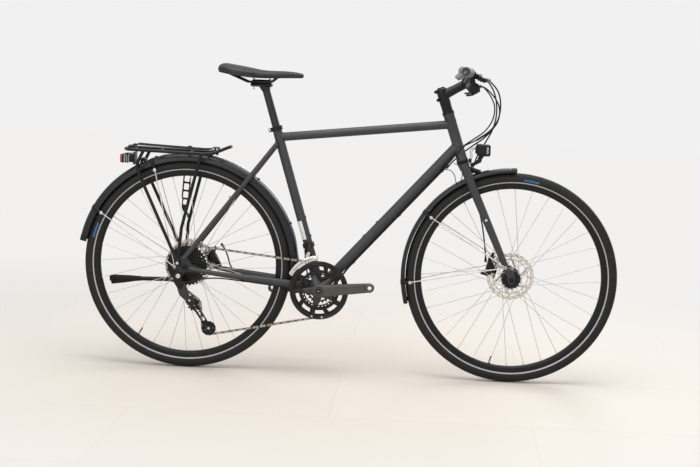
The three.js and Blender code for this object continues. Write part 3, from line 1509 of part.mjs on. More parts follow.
function fork() {
  const sides = [-1, 1];
  const tipInner = frontHubWidth / 2;
  const tip = (side) => slab(
    forkTipShares.map(([x, z]) => [frontAxle.x + x * forkTipHalf, frontAxle.z + z * forkTipHalf]),
    side * tipInner, side * (tipInner + forkTipThickness),
  );
  const slot = (side) => block(
    at(frontAxle.x, side * (tipInner + forkTipThickness / 2), frontAxle.z - forkTipHalf), 2 * axleSlot, forkTipThickness + overrun, 2 * forkTipHalf,
  );
  const hole = (side) => rod(
    withY(frontAxle, side * (tipInner - overrun)), withY(frontAxle, side * (tipInner + forkTipThickness + overrun)), axleSlot, axleSides,
  );
  const lowRider = (side) => {
    const place = between(bladeTop(side), bladeTip(side), forkBossShare);
    return rod(place, shifted(place, 0, side * (forkBossReach + bossHeight), 0), forkBossRadius, 6);
  };
  const eyelet = (side) => rod(withY(forkEyelet, side * bladeTipOffset), withY(forkEyelet, side * forkEyeletFace), stayLoopRadius, 8);
  const solid = join(
    rod(upHeadTube(-crownDrop), upHeadTube(steererTopDistance), steererRadius, tubeSides),
    rod(upHeadTube(-crownDrop), upHeadTube(-cupHeight - fit), crownNeckRadius, tubeSides),
    rod(withY(crownCenter, -crownHalfWidth), withY(crownCenter, crownHalfWidth), crownRadius, tubeSides),
    ...sides.flatMap((side) => [
      rod(bladeTop(side), bladeTip(side), bladeTopRadius, rodSides, bladeTipRadius), tip(side), lowRider(side), eyelet(side),
    ]),
  );
  const bore = rod(upHeadTube(0), upHeadTube(steererTopDistance + overrun), steererBore, 8);
  return cut(solid, bore, ...sides.flatMap((side) => [slot(side), hole(side)]));
}

add('fork', fork(), framePaint);

// Stem: a tall column over the steerer with an arm up to the bar clamp
const stemColumnRadius = 17.5;
const stemTopDistance = 250;
const stemArmDistance = 213;
const stemArmRadius = 14;
const barClampAhead = 5.8;
const barClampRise = 256.9;
const barClampReach = headTubeFootReach + barClampAhead;
const barClampHeight = headTubeFootHeight + barClampRise;
const barClampRadius = 21;
const barClampHalf = 22;
const barCenterRadius = 15.9;
const barRadius = 11.1;
const barClamp = at(barClampReach, 0, barClampHeight);

function stem() {
  const foot = upHeadTube(headTubeLength + cupHeight + fit);
  const solid = join(
    rod(foot, upHeadTube(stemTopDistance), stemColumnRadius, tubeSides),
    rod(upHeadTube(stemArmDistance), barClamp, stemArmRadius),
    rod(withY(barClamp, -barClampHalf), withY(barClamp, barClampHalf), barClampRadius, tubeSides),
  );
  return cut(
    solid,
    rod(upHeadTube(headTubeLength), upHeadTube(steererTopDistance + fit), steererRadius + fit, tubeSides),
    rod(withY(barClamp, -barClampHalf - overrun), withY(barClamp, barClampHalf + overrun), barCenterRadius + fit, tubeSides),
  );
}

add('stem', stem(), blackAlloy);

// Handlebar: a shallow riser with a little backsweep
const barSides = 8;
const barSteps = 16;
const barStraightLap = 1.5;
const barRise = 36.8;
const barSweep = 13;
const barForward = 6;
const gripCap = 3;
const barEndHalf = handlebarWidth / 2 - gripCap;
const barShares = [[0.12, 0, 0], [0.22, 0.12, 0.12], [0.38, 0.62, 0.9], [0.48, 0.84, 0.8], [0.56, 0.9, 0.5]];
const barEndAhead = -2.17;
const barEnd = (side) => at(barClampReach + barEndAhead * barForward, side * barEndHalf, barClampHeight + barRise);
const barPoint = (side) => ([out, rise, ahead]) => (
  at(barClampReach + ahead * barForward, side * out * barEndHalf, barClampHeight + rise * barRise)
);
const barCurve = new THREE.CatmullRomCurve3([...barShares.map(barPoint(-1)).reverse(), ...barShares.map(barPoint(1))]);
const barBend = (side) => barCurve.getPointAt(side > 0 ? 1 : 0);
const barOutward = (side) => barEnd(side).sub(barBend(side)).normalize();
const barStraightStart = (side) => along(barBend(side), barOutward(side), -barStraightLap);

add('handlebar', join(
  extrudeAlong(roundSection(barRadius, barSides), barCurve, barSteps),
  rod(barStraightStart(1), barEnd(1), barRadius, barSides),
  rod(barStraightStart(-1), barEnd(-1), barRadius, barSides),
  rod(withY(barClamp, -barClampHalf - overrun), withY(barClamp, barClampHalf + overrun), barCenterRadius, tubeSides),
), blackAlloy);

// The place on the bar at a distance from the bicycle's plane, found by halving
function barPlace(y) {
  let [low, high] = [0, 1];
  for (let step = 0; step < 30; step += 1) {
    const middle = (low + high) / 2;
    if (barCurve.getPointAt(middle).y < y) low = middle;
    else high = middle;
  }
  return barCurve.getPointAt((low + high) / 2);
}

// Grips with a palm wing behind the bar
const gripLength = 132;
const gripRadius = 15.5;
const wingReach = 38;
const wingStartShare = 0.3;
const wingDrop = 7;
const wingThickness = 9;

function grip(side) {
  const outer = handlebarWidth / 2;
  const inner = outer - gripLength;
  const outward = barOutward(side);
  const start = along(barEnd(side), outward, gripCap - gripLength);
  const end = along(barEnd(side), outward, gripCap);
  const wingOutline = [
    [0, inner + gripLength * wingStartShare], [-wingReach * 0.55, inner + gripLength * 0.52], [-wingReach, inner + gripLength * 0.72],
    [-wingReach, outer - 2 * gripCap], [-wingReach * 0.7, outer - gripCap], [0, outer - gripCap],
  ].map(([x, y]) => new THREE.Vector2(x, side * y));
  const plate = new THREE.ExtrudeGeometry(new THREE.Shape(wingOutline), { depth: wingThickness, bevelEnabled: false });
  const wing = plate.translate(0, 0, -wingThickness / 2).rotateY(-Math.atan2(wingDrop, wingReach)).translate(end.x, 0, end.z);
  const bore = rod(along(start, outward, -overrun), along(barEnd(side), outward, fit), barRadius + fit, barSides);
  return mainBody(cut(join(rod(start, end, gripRadius), wing), bore));
}

add('grip_left', grip(1), softRubber);
add('grip_right', grip(-1), softRubber);

// Brake levers: a clamp with the master cylinder, and a lever on its pivot
const leverClampPlace = 152;
const leverClampHalf = 7;
const leverClampWall = 4;
const clampFit = 0.8;
const cylinderInner = 118;
const cylinderOuter = 186;
const cylinderRadius = 9;
const cylinderAhead = 33.2;
const cylinderRise = 19.1;
const cylinderReach = barClampReach + cylinderAhead;
const cylinderHeight = barClampHeight + cylinderRise;
const leverPivotAhead = 15.5;
const leverPivotDrop = 9;
const leverPivotReach = cylinderReach + leverPivotAhead;
const leverPivotPlace = 150;
const leverPivotHeight = cylinderHeight - leverPivotDrop;
const leverRadius = 4.6;
const leverTipAhead = 4.5;
const leverTipRise = 3;
const leverTipReach = leverPivotReach + leverTipAhead;
const leverTipPlace = 272;
const leverTipHeight = leverPivotHeight + leverTipRise;
const leverBend = 14;
const leverBossRadius = 7;
const leverBossHalf = 5;

function leverPivot(side) {
  return at(leverPivotReach, side * leverPivotPlace, leverPivotHeight);
}

function brakeBody(side) {
  const ring = barPlace(side * leverClampPlace);
  const before = barPlace(side * (leverClampPlace - leverClampHalf));
  const after = barPlace(side * (leverClampPlace + leverClampHalf));
  const pivot = leverPivot(side);
  const cylinder = at(cylinderReach, side * leverClampPlace, cylinderHeight);
  const top = shifted(pivot, 0, 0, leverBossHalf + fit);
  const solid = join(
    rod(before, after, barRadius + clampFit + leverClampWall),
    rod(ring, cylinder, leverBossRadius, 6),
    rod(withY(cylinder, side * cylinderInner), withY(cylinder, side * cylinderOuter), cylinderRadius),
    rod(top, shifted(top, 0, 0, leverBossHalf), leverBossRadius, 8),
    rod(shifted(top, 0, 0, leverBossHalf / 2), cylinder, leverBossHalf / 2, 6),
  );
  return cut(solid, rod(along(before, before.clone().sub(after).normalize(), overrun), along(after, after.clone().sub(before).normalize(), overrun), barRadius + clampFit));
}

function brakeLever(side) {
  const pivot = leverPivot(side);
  const path = [
    pivot,
    shifted(pivot, leverBend, side * leverBend, 0),
    at(leverTipReach + leverBend / 2, side * (leverPivotPlace + leverTipPlace) / 2, (leverPivotHeight + leverTipHeight) / 2),
    at(leverTipReach, side * leverTipPlace, leverTipHeight),
  ];
  const boss = rod(shifted(pivot, 0, 0, -leverBossHalf), shifted(pivot, 0, 0, leverBossHalf), leverBossRadius, 8);
  return join(boss, bentRod(path, leverRadius, 8, 6));
}

[[1, 'left'], [-1, 'right']].forEach(([side, name]) => {
  add(`brake_body_${name}`, brakeBody(side), blackAlloy);
  add(`brake_lever_${name}`, brakeLever(side), blackAlloy);
});

// Shifters: a pod under the bar, with a thumb lever under the pod
const shifterClampPlace = 128;
const shifterClampHalf = 4;
const podInner = 124;
const podOuter = 166;
const podAhead = 18.2;
const podDrop = 15.9;
const podCenterReach = barClampReach + podAhead;
const podCenterHeight = barClampHeight - podDrop;
const podRadius = 19;
const podSides = 6;
const thumbPivotPlace = 147;
const thumbPivotRadius = 9;
const thumbPivotHeight = 5;
const thumbReachBack = 24;
const thumbReachOut = 36;
const thumbRadius = 3.6;
const podFoot = podCenterHeight - podRadius * Math.cos(Math.PI / podSides);

function shifter(side) {
  const ring = barPlace(side * shifterClampPlace);
  const before = barPlace(side * (shifterClampPlace - shifterClampHalf));
  const after = barPlace(side * (shifterClampPlace + shifterClampHalf));
  const pod = at(podCenterReach, 0, podCenterHeight);
  const solid = join(
    rod(before, after, barRadius + clampFit + leverClampWall),
    rod(ring, withY(pod, side * shifterClampPlace), shifterClampHalf, 8),
    slab(circleOutline(pod, podRadius, podSides), side * podInner, side * podOuter),
  );
  return cut(solid, rod(along(before, before.clone().sub(after).normalize(), overrun), along(after, after.clone().sub(before).normalize(), overrun), barRadius + clampFit));
}

function thumbLever(side) {
  const top = at(podCenterReach, side * thumbPivotPlace, podFoot - fit);
  const low = shifted(top, 0, 0, -thumbPivotHeight);
  const middle = between(top, low, 0.5);
  const tip = shifted(low, -thumbReachBack, side * thumbReachOut, 0);
  return join(rod(low, top, thumbPivotRadius, 10), rod(middle, tip, thumbRadius * 0.65, 8, thumbRadius));
}

[[1, 'left'], [-1, 'right']].forEach(([side, name]) => {
  add(`shifter_${name}`, shifter(side), blackPlastic);
  add(`shift_lever_${name}`, thumbLever(side), blackAlloy);
});

// Headlight on a bracket in front of the fork crown
const headlightAhead = 42;
const headlightRise = 16.6;
const headlightBack = headTubeFootReach + headlightAhead;
const headlightDepth = 48;
const headlightFoot = headTubeFootHeight + headlightRise;
const headlightHeight = 40.4;
const headlightWidth = 46;
const bracketHalf = 8;
const bracketThickness = 4;
const bracketPivotAhead = 56;
const bracketPivotRise = 2;
const bracketPivotReach = headTubeFootReach + bracketPivotAhead;
const bracketPivotHeight = headTubeFootHeight + bracketPivotRise;
const bracketPlateLength = 20;
const bracketPlateDrop = 9;
const headlightShares = [[0, 0.25], [0.2, 0], [0.86, 0.02], [1, 0.1], [1, 0.94], [0.85, 1], [0.15, 0.96], [0, 0.72]];

function headlight() {
  const outline = headlightShares.map(([x, z]) => [headlightBack + x * headlightDepth, headlightFoot + z * headlightHeight]);
  const plateBack = crownCenter.x + crownRadius + fit;
  const pivot = at(bracketPivotReach, 0, bracketPivotHeight);
  const plateTop = at(plateBack + bracketThickness / 2, 0, crownCenter.z - bracketPlateDrop);
  return join(
    slab(outline, -headlightWidth / 2, headlightWidth / 2),
    rod(withY(pivot, -bracketHalf), withY(pivot, bracketHalf), bracketHalf * 0.8, 10),
    rod(pivot, at(headlightBack + headlightDepth / 3, 0, headlightFoot + bracketThickness), bracketHalf * 0.8, 8),
    rod(plateTop, pivot, bracketThickness / 2, 8),
    block(plateTop, bracketThickness, 2 * bracketHalf, bracketPlateLength),
  );
}

add('headlight', headlight(), blackPlastic);

// Disc brake calipers: a body astride each rotor, on a foot that meets the frame or fork
const caliperLength = 48;
const caliperHeight = 34;
const caliperWidth = 30;
const caliperCorner = 9;
const caliperSlotWidth = 2.4;
const caliperSlotClearance = 4;
const mountRadius = 7;
const frontCaliperRadius = 84;
const rearCaliperRadius = 92;
const frontCaliperAngle = radians(166);
const rearCaliperAngle = radians(28);

function caliperBody(center, angle, place) {
  const half = caliperLength / 2;
  const high = caliperHeight / 2;
  const corners = [
    [-half, -high + caliperCorner], [-half + caliperCorner, -high], [half - caliperCorner, -high], [half, -high + caliperCorner],
    [half, high - caliperCorner], [half - caliperCorner, high], [-half + caliperCorner, high], [-half, high - caliperCorner],
  ];
  const body = slab(corners, place - caliperWidth / 2, place + caliperWidth / 2).rotateY(quarterTurn - angle);
  return body.translate(center.x, 0, center.z);
}

function rotorClearance(axleCenter, place) {
  const half = caliperSlotWidth / 2;
  return rod(withY(axleCenter, place - half), withY(axleCenter, place + half), rotorRadius + caliperSlotClearance, 32);
}

function frontCaliper() {
  const center = polar(frontAxle, frontCaliperRadius, frontCaliperAngle, frontRotorPlace + caliperWidth / 3);
  const blade = between(bladeTop(1), bladeTip(1), 0.9);
  const solid = join(caliperBody(center, frontCaliperAngle, frontRotorPlace), rod(center, blade, mountRadius, 8));
  return mainBody(cut(
    solid,
    rotorClearance(frontAxle, frontRotorPlace),
    rod(bladeTop(1), bladeTip(1), bladeTopRadius + fit, rodSides, bladeTipRadius + fit),
    slab(
      forkTipShares.map(([x, z]) => [frontAxle.x + x * (forkTipHalf + fit), frontAxle.z + z * (forkTipHalf + fit)]),
      frontHubWidth / 2 - fit, frontHubWidth / 2 + forkTipThickness + fit,
    ),
  ));
}

function rearCaliper() {
  const center = polar(rearAxle, rearCaliperRadius, rearCaliperAngle, rearRotorPlace);
  const stay = at(center.x, chainstayMidOffset, rearAxle.z - chainstayMidDrop);
  const solid = join(caliperBody(center, rearCaliperAngle, rearRotorPlace), rod(center, stay, mountRadius, 8));
  return mainBody(cut(
    solid, rotorClearance(rearAxle, rearRotorPlace), bentRod(chainstayPoints(1), chainstayRadius + fit, staySteps, 8),
  ));
}

add('front_caliper', frontCaliper(), blackAlloy);
add('rear_caliper', rearCaliper(), blackAlloy);

// Cables and hoses, each along its own route from the controls
const cableRadius = 2.3;
const hoseRadius = 2.5;
const cableTubeGap = 0.8;
const cableTubeTop = 545;
const cableTubeFoot = 68;
const cableLap = 5;

// A place below the down tube, against it, at a distance up from the bottom bracket
function underDownTube(distance, y) {
  const drop = Math.sqrt((downTubeRadius + hoseRadius + cableTubeGap) ** 2 - y ** 2);
  return withY(along(along(bottomBracket, downDirection, distance), downTubeOver, -drop), y);
}

// Looped in front, straight under the down tube, bent again behind it
function framedCable(frontRoute, y, rearRoute, radius, frontSteps, rearSteps) {
  const top = underDownTube(cableTubeTop, y);
  const foot = underDownTube(cableTubeFoot, y);
  const frontPath = [...frontRoute, top, underDownTube(cableTubeTop - cableLap, y)];
  const rearPath = [underDownTube(cableTubeFoot + cableLap, y), foot, ...rearRoute];
  return join(
    bentRod(frontPath, radius, frontSteps, cableSides), rod(top, foot, radius, cableSides),
    bentRod(rearPath, radius, rearSteps, cableSides),
  );
}

const rearShiftFront = [
  at(943, -121, 984), at(962, -118, 982), at(992, -108, 958), at(1015, -88, 922), at(1017, -68, 882), at(998, -50, 846),
  at(955, -38, 811), at(908, -28, 784), at(884, -24.5, 756), at(862, -21.5, 727), at(842, -15, 704),
];
const rearShiftRear = [
  at(477, -12, 275), at(466, -13.5, 265), at(450, -15, 261), at(432, -19, 265), at(412, -26, 276), at(385, -33, 289),
  at(346, -38, 292), at(280, -43.5, 299), at(180, -54, 310.5), at(110, -61, 316), at(62, -71.5, 313), at(28, -79.5, 305),
  at(8, -81.5, 300), at(-9, -80, 297.5),
];
const frontShiftFront = [
  at(943, 121, 984), at(962, 118, 982), at(990, 106, 955), at(1008, 86, 915), at(1002, 64, 870), at(978, 47, 834),
  at(941, 34, 806), at(908, 27, 782), at(884, 24, 754), at(862, 19.5, 727), at(842, 10, 704),
];
const frontShiftRear = [
  at(476, -3, 271), at(463, -3.5, 262), at(448, -4, 259.5), at(431, -4.5, 264), at(419, -5, 279), at(412, -5.5, 300),
  at(404, -9, 345), at(398, -17, 390), at(397.5, -20, 418),
];
const rearBrakeFront = [
  at(946, -117.3, 1011), at(948, -110, 1011), at(976, -97, 1004), at(1012, -72, 966), at(1022, -36, 905), at(1006, 2, 850),
  at(975, 24, 812), at(940, 34, 785), at(905, 34.5, 757), at(878, 31, 732), at(856, 21, 707),
];
const rearBrakeRear = [
  at(478, 11, 274), at(466, 12.5, 264), at(450, 14, 260.5), at(432, 18, 264), at(410, 26, 276), at(385, 33, 288.5),
  at(346, 38, 291.5), at(280, 43.5, 298.5), at(215, 51, 305), at(180, 62, 310), at(152, 71, 320), at(133, 74, 342),
  at(124, 72, 372), at(112, 64, 402), at(104, 58, 415),
];
const frontBrakeRoute = [
  at(946, 117.3, 1011), at(948, 110, 1011), at(976, 101, 1003), at(1005, 96, 962), at(1016, 92, 900), at(1006, 85, 842),
  at(980, 77, 790), at(956, 70, 745), at(943, 66, 695), at(947, 64.5, 650), at(963, 63, 600), at(985, 58.5, 515),
  at(995, 52, 455), at(1000, 46, 415), at(1001, 43, 397),
];

add('rear_shift_cable', framedCable(rearShiftFront, -8, rearShiftRear, cableRadius, 18, 20), softRubber);
add('front_shift_cable', framedCable(frontShiftFront, 0, frontShiftRear, cableRadius, 18, 15), softRubber);
add('rear_brake_hose', framedCable(rearBrakeFront, 8, rearBrakeRear, hoseRadius, 17, 22), softRubber);
add('front_brake_hose', bentRod(frontBrakeRoute, hoseRadius, 24, cableSides), softRubber);

// The finished part stands on its tyres, with its origin under the middle of its length
const rearmost = rearGuardRadius * Math.cos(rearGuardEnd);
const foremost = wheelbase + wheelRadius;
group.position.x = -(rearmost + foremost) / 2;

export default group;
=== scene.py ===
# %% [markdown]
# # A touring bicycle, dressed for its portrait
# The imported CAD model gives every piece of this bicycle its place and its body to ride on. This lesson builds
# the surfaces that the eye sees: round tubes, laced wheels, a toothed drivetrain and the small parts of the
# cockpit. All lengths are millimetres measured from the rear axle, because that is how a frame builder draws
# a bicycle.

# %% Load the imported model
import math

import bmesh
import bpy
from mathutils import Matrix, Vector


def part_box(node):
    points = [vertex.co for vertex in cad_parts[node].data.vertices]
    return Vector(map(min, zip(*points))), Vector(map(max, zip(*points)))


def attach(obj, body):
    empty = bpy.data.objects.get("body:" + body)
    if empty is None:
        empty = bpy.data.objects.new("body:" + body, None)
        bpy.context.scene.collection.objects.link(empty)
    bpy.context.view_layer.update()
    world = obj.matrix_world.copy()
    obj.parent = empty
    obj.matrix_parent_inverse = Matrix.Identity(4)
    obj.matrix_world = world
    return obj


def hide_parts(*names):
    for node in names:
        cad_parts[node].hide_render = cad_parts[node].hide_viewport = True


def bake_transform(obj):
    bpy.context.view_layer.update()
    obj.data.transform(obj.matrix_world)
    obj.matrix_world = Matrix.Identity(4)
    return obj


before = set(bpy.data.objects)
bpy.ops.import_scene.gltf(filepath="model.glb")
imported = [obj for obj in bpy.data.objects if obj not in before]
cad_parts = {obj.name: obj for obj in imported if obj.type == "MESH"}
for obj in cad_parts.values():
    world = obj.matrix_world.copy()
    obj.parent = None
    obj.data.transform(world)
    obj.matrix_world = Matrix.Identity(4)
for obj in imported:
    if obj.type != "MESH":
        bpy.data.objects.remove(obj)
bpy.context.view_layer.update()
rear_tyre_low, rear_tyre_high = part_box("rear_tyre")
rear_axle_x = (rear_tyre_low.x + rear_tyre_high.x) / 2
print("nodes:", len(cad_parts), "rear axle at x =", round(rear_axle_x, 5))

# %% [markdown]
# ## From millimetres to the scene
# Blender works in metres, and the model's origin is under the middle of the bicycle. One small function turns
# a point given from the rear axle (x forward, y to the rider's left, z up) into the scene's own place.

# %% Places
TURN = 2 * math.pi
FORWARD = Vector((1, 0, 0))
ACROSS = Vector((0, 1, 0))
UP = Vector((0, 0, 1))


def at(x, y, z):
    return Vector((rear_axle_x + x / 1000, y / 1000, z / 1000))


def polar(center, radius, degrees, y=None):
    """A point round a centre in the bicycle's plane; the angle turns from forward towards up."""
    angle = math.radians(degrees)
    place = Vector(center)
    place += Vector((math.cos(angle), 0, math.sin(angle))) * radius / 1000
    if y is not None:
        place.y = y / 1000
    return place


def heading(degrees_from_vertical):
    """The direction of a tube that leans back from the vertical."""
    lean = math.radians(degrees_from_vertical)
    return Vector((-math.sin(lean), 0, math.cos(lean)))


WHEEL_RADIUS = 351
REAR_AXLE = at(0, 0, WHEEL_RADIUS)
FRONT_AXLE = at(1085, 0, WHEEL_RADIUS)
BRACKET_HEIGHT = 289.5
BOTTOM_BRACKET = at(450, 0, BRACKET_HEIGHT)
HEAD_FOOT = at(907, 0, 736)
SEAT_LEAN, HEAD_LEAN = 17.1, 19.0
SEAT_WAY, HEAD_WAY = heading(SEAT_LEAN), heading(HEAD_LEAN)


def up_seat_tube(distance):
    return BOTTOM_BRACKET + SEAT_WAY * distance / 1000


def up_head_tube(distance):
    return HEAD_FOOT + HEAD_WAY * distance / 1000


def with_y(place, y):
    return Vector((place.x, y / 1000, place.z))


print("wheelbase", round((FRONT_AXLE - REAR_AXLE).length * 1000), "mm")

# %% [markdown]
# ## The camera comes first
# The photograph was taken from the drive side, about 4.7 m away and a metre above the floor, with a slight
# turn, tilt and roll. Those numbers were found by matching the wheels and tubes, and every later choice is
# judged through this one view.

# %% Camera
PHOTO_WIDTH = 700
LENS_PIXELS = 1415.19
SENSOR = 36.0
yaw, pitch, roll = 0.058183, -0.120985, -0.035871
camera_data = bpy.data.cameras.new("camera")
camera_data.sensor_fit = "HORIZONTAL"
camera_data.sensor_width = SENSOR
camera_data.lens = LENS_PIXELS / PHOTO_WIDTH * SENSOR
camera_data.clip_end = 60
camera = bpy.data.objects.new("camera", camera_data)
look_along_y = Matrix(((1, 0, 0), (0, 0, -1), (0, 1, 0))).to_4x4()
turn = Matrix.Rotation(yaw, 4, "Z") @ Matrix.Rotation(pitch, 4, "X") @ Matrix.Rotation(roll, 4, "Y")
camera.matrix_world = Matrix.Translation(at(816.8, -4689.97, 1048.75)) @ turn @ look_along_y
bpy.context.scene.collection.objects.link(camera)
bpy.context.scene.camera = camera
print("lens", round(camera_data.lens, 2), "mm")

# %% [markdown]
# ## Floor, backdrop and light
# The photograph shows a pale, warm floor that melts into a white wall. A large floor plane takes the soft
# shadow, and the world gives the white. The camera sees that white by itself, so it never has to be bright
# enough to bleach the bicycle. Three wide area lamps stand in for the studio's soft boxes: one overhead, one
# at each side.

# %% Studio
def node_tree(block):
    """The emptied node tree of a material or of the world: its nodes and its links."""
    block.use_nodes = True
    block.node_tree.nodes.clear()
    return block.node_tree.nodes, block.node_tree.links


def add(nodes, kind, **values):
    """One shader node, with its sockets set by name."""
    node = nodes.new(f"ShaderNode{kind}")
    for socket, value in values.items():
        node.inputs[socket.replace("_", " ")].default_value = value
    return node


def scalar(nodes, links, operation, *values):
    """One arithmetic node; each value is a number or another node's output."""
    node = nodes.new("ShaderNodeMath")
    node.operation = operation
    for socket, value in zip(node.inputs, values):
        if isinstance(value, (int, float)):
            socket.default_value = value
        else:
            links.new(value, socket)
    return node.outputs[0]


def mixed(nodes, links, share, first, second):
    """Two shaders, or two lights, mixed by a share."""
    mix = nodes.new("ShaderNodeMixShader")
    for socket, value in zip(mix.inputs, (share, first, second)):
        links.new(value, socket)
    return mix.outputs[0]


def white_for_views(nodes, links, soft_color, soft_strength, seen_color):
    """One light for the object and a plain colour where the camera, a gloss or a glass looks at it."""
    path = nodes.new("ShaderNodeLightPath").outputs
    seen = scalar(nodes, links, "MAXIMUM", path["Is Glossy Ray"], path["Is Transmission Ray"])
    seen = scalar(nodes, links, "MAXIMUM", path["Is Camera Ray"], seen)
    light = add(nodes, "Background", Color=(*soft_color, 1), Strength=soft_strength)
    shown = add(nodes, "Background", Color=(*seen_color, 1), Strength=1.0)
    return mixed(nodes, links, seen, light.outputs[0], shown.outputs[0])


world = bpy.data.worlds.new("studio")
bpy.context.scene.world = world
nodes, links = node_tree(world)
soft_white, seen_white = (1.0, 0.99, 0.98), (0.89, 0.88, 0.885)
light = white_for_views(nodes, links, soft_white, 0.40, seen_white)
output = nodes.new("ShaderNodeOutputWorld")
links.new(light, output.inputs["Surface"])


def area_lamp(name, place, aim, size, watts):
    data = bpy.data.lights.new(name, "AREA")
    data.shape = "RECTANGLE"
    data.size, data.size_y = size
    data.energy = watts
    lamp = bpy.data.objects.new(name, data)
    lamp.location = place
    lamp.rotation_euler = (aim - place).to_track_quat("-Z", "Y").to_euler()
    bpy.context.scene.collection.objects.link(lamp)


middle = at(540, 0, 500)
area_lamp("overhead_softbox", at(540, -500, 3600), middle, (3.6, 2.4), 125)
area_lamp("near_softbox", at(-900, -3600, 2300), middle, (2.4, 2.4), 38)
area_lamp("far_softbox", at(2200, 3200, 2600), middle, (2.6, 2.6), 55)
print("area lamps:", len(bpy.data.lights))

# %% [markdown]
# The floor is one large sheet. Its colour is warm round the bicycle and pales into the wall all round, and
# faint seams show where its wide tiles meet, as they do in the photograph.

# %% Floor
def ramp(nodes, links, value, stops, interpolation="LINEAR"):
    """A colour that follows a value through a few stops."""
    node = nodes.new("ShaderNodeValToRGB")
    node.color_ramp.interpolation = interpolation
    elements = node.color_ramp.elements
    while len(elements) < len(stops):
        elements.new(1.0)
    for element, (position, color) in zip(elements, stops):
        element.position = position
        element.color = (*color, 1)
    links.new(value, node.inputs["Fac"])
    return node.outputs["Color"]


def floor_material():
    """Warm tiles near the bicycle that fade with distance into the wall's own white."""
    block = bpy.data.materials.new("pale_floor")
    nodes, links = node_tree(block)
    place = nodes.new("ShaderNodeTexCoord").outputs["Object"]
    narrowed = nodes.new("ShaderNodeVectorMath")
    narrowed.operation = "MULTIPLY"
    narrowed.inputs[1].default_value = (0.85, 1.0, 0.0)
    links.new(place, narrowed.inputs[0])
    reach = nodes.new("ShaderNodeVectorMath")
    reach.operation = "LENGTH"
    links.new(narrowed.outputs["Vector"], reach.inputs[0])
    far = scalar(nodes, links, "MULTIPLY_ADD", reach.outputs["Value"], 0.125, 0.42)
    near_tone, middle_tone, far_tone = (0.655, 0.598, 0.532), (0.685, 0.643, 0.592), (0.80, 0.79, 0.79)
    warmth = ramp(nodes, links, far, [(0.42, near_tone), (0.55, middle_tone), (1.0, far_tone)])
    tiles = add(
        nodes, "TexBrick", Scale=1.0, Brick_Width=1.2, Row_Height=0.6, Mortar_Size=0.003, Mortar_Smooth=0.6,
        Color1=(1, 1, 1, 1), Color2=(0.975, 0.975, 0.97, 1), Mortar=(0.93, 0.91, 0.89, 1)
    )
    links.new(place, tiles.inputs["Vector"])
    tint = nodes.new("ShaderNodeMix")
    tint.data_type = "RGBA"
    tint.blend_type = "MULTIPLY"
    tint.inputs["Factor"].default_value = 1.0
    links.new(warmth, tint.inputs["A"])
    links.new(tiles.outputs["Color"], tint.inputs["B"])
    shader = add(nodes, "BsdfPrincipled", Roughness=0.55, Specular_IOR_Level=0.25)
    links.new(tint.outputs["Result"], shader.inputs["Base Color"])
    wall = add(nodes, "Emission", Color=(0.885, 0.875, 0.87, 1))
    fade = ramp(nodes, links, far, [(0.49, (0, 0, 0)), (0.79, (1, 1, 1))], "EASE")
    end = nodes.new("ShaderNodeOutputMaterial")
    links.new(mixed(nodes, links, fade, shader.outputs[0], wall.outputs[0]), end.inputs["Surface"])
    return block


floor_mesh = bpy.data.meshes.new("floor")
shape = bmesh.new()
bmesh.ops.create_grid(shape, x_segments=1, y_segments=1, size=14)
shape.to_mesh(floor_mesh)
shape.free()
floor = bpy.data.objects.new("floor", floor_mesh)
floor.data.materials.append(floor_material())
bpy.context.scene.collection.objects.link(floor)
bpy.context.scene.view_settings.view_transform = "Standard"
print("floor laid,", len(floor.data.vertices), "corners")

# %% [markdown]
# ## Finishes
# A bicycle is mostly black, so its pieces are told apart by gloss and grain. Each finish is one function
# call: a Principled shader whose colour, roughness and surface are broken up by noise at the real scale of
# the finish. Powder paint has a fine orange peel, anodised parts a faint cloudiness, and moulded plastic a
# spark-eroded grain.

# %% Finishes
def texture(nodes, links, kind, scale, **values):
    """A noise or cell texture that reads the piece's own place."""
    node = add(nodes, f"Tex{kind}", Scale=scale, **values)
    links.new(nodes.new("ShaderNodeTexCoord").outputs["Object"], node.inputs["Vector"])
    return node.outputs


def surface(nodes, links, tone, rough, height, strength, depth, **values):
    """A Principled shader whose colour, roughness and relief come from other nodes."""
    relief = add(nodes, "Bump", Strength=strength, Distance=depth)
    links.new(height, relief.inputs["Height"])
    shader = add(nodes, "BsdfPrincipled", **values)
    links.new(tone, shader.inputs["Base Color"])
    links.new(rough, shader.inputs["Roughness"])
    links.new(relief.outputs[0], shader.inputs["Normal"])
    end = nodes.new("ShaderNodeOutputMaterial")
    links.new(shader.outputs[0], end.inputs["Surface"])


def finish(
    name, color, roughness, metallic=0.0, spread=0.12, gloss=0.4, grain=900, bump=0.05, rough_spread=0.1,
    **values
):
    """A material with noise in its colour, its roughness and its surface."""
    block = bpy.data.materials.new(name)
    nodes, links = node_tree(block)
    clouds = texture(nodes, links, "Noise", grain / 30, Detail=4)["Fac"]
    fine = texture(nodes, links, "Noise", grain, Detail=2)["Fac"]
    dark = tuple(c * (1 - spread) for c in color)
    light = tuple(min(1, c * (1 + spread)) for c in color)
    tone = ramp(nodes, links, clouds, [(0.3, dark), (0.7, light)])
    both = scalar(nodes, links, "ADD", clouds, fine)
    rough = scalar(nodes, links, "MULTIPLY_ADD", both, rough_spread, roughness - rough_spread)
    surface(
        nodes, links, tone, rough, fine, bump, 0.0004, Metallic=metallic, Specular_IOR_Level=gloss, **values
    )
    return block


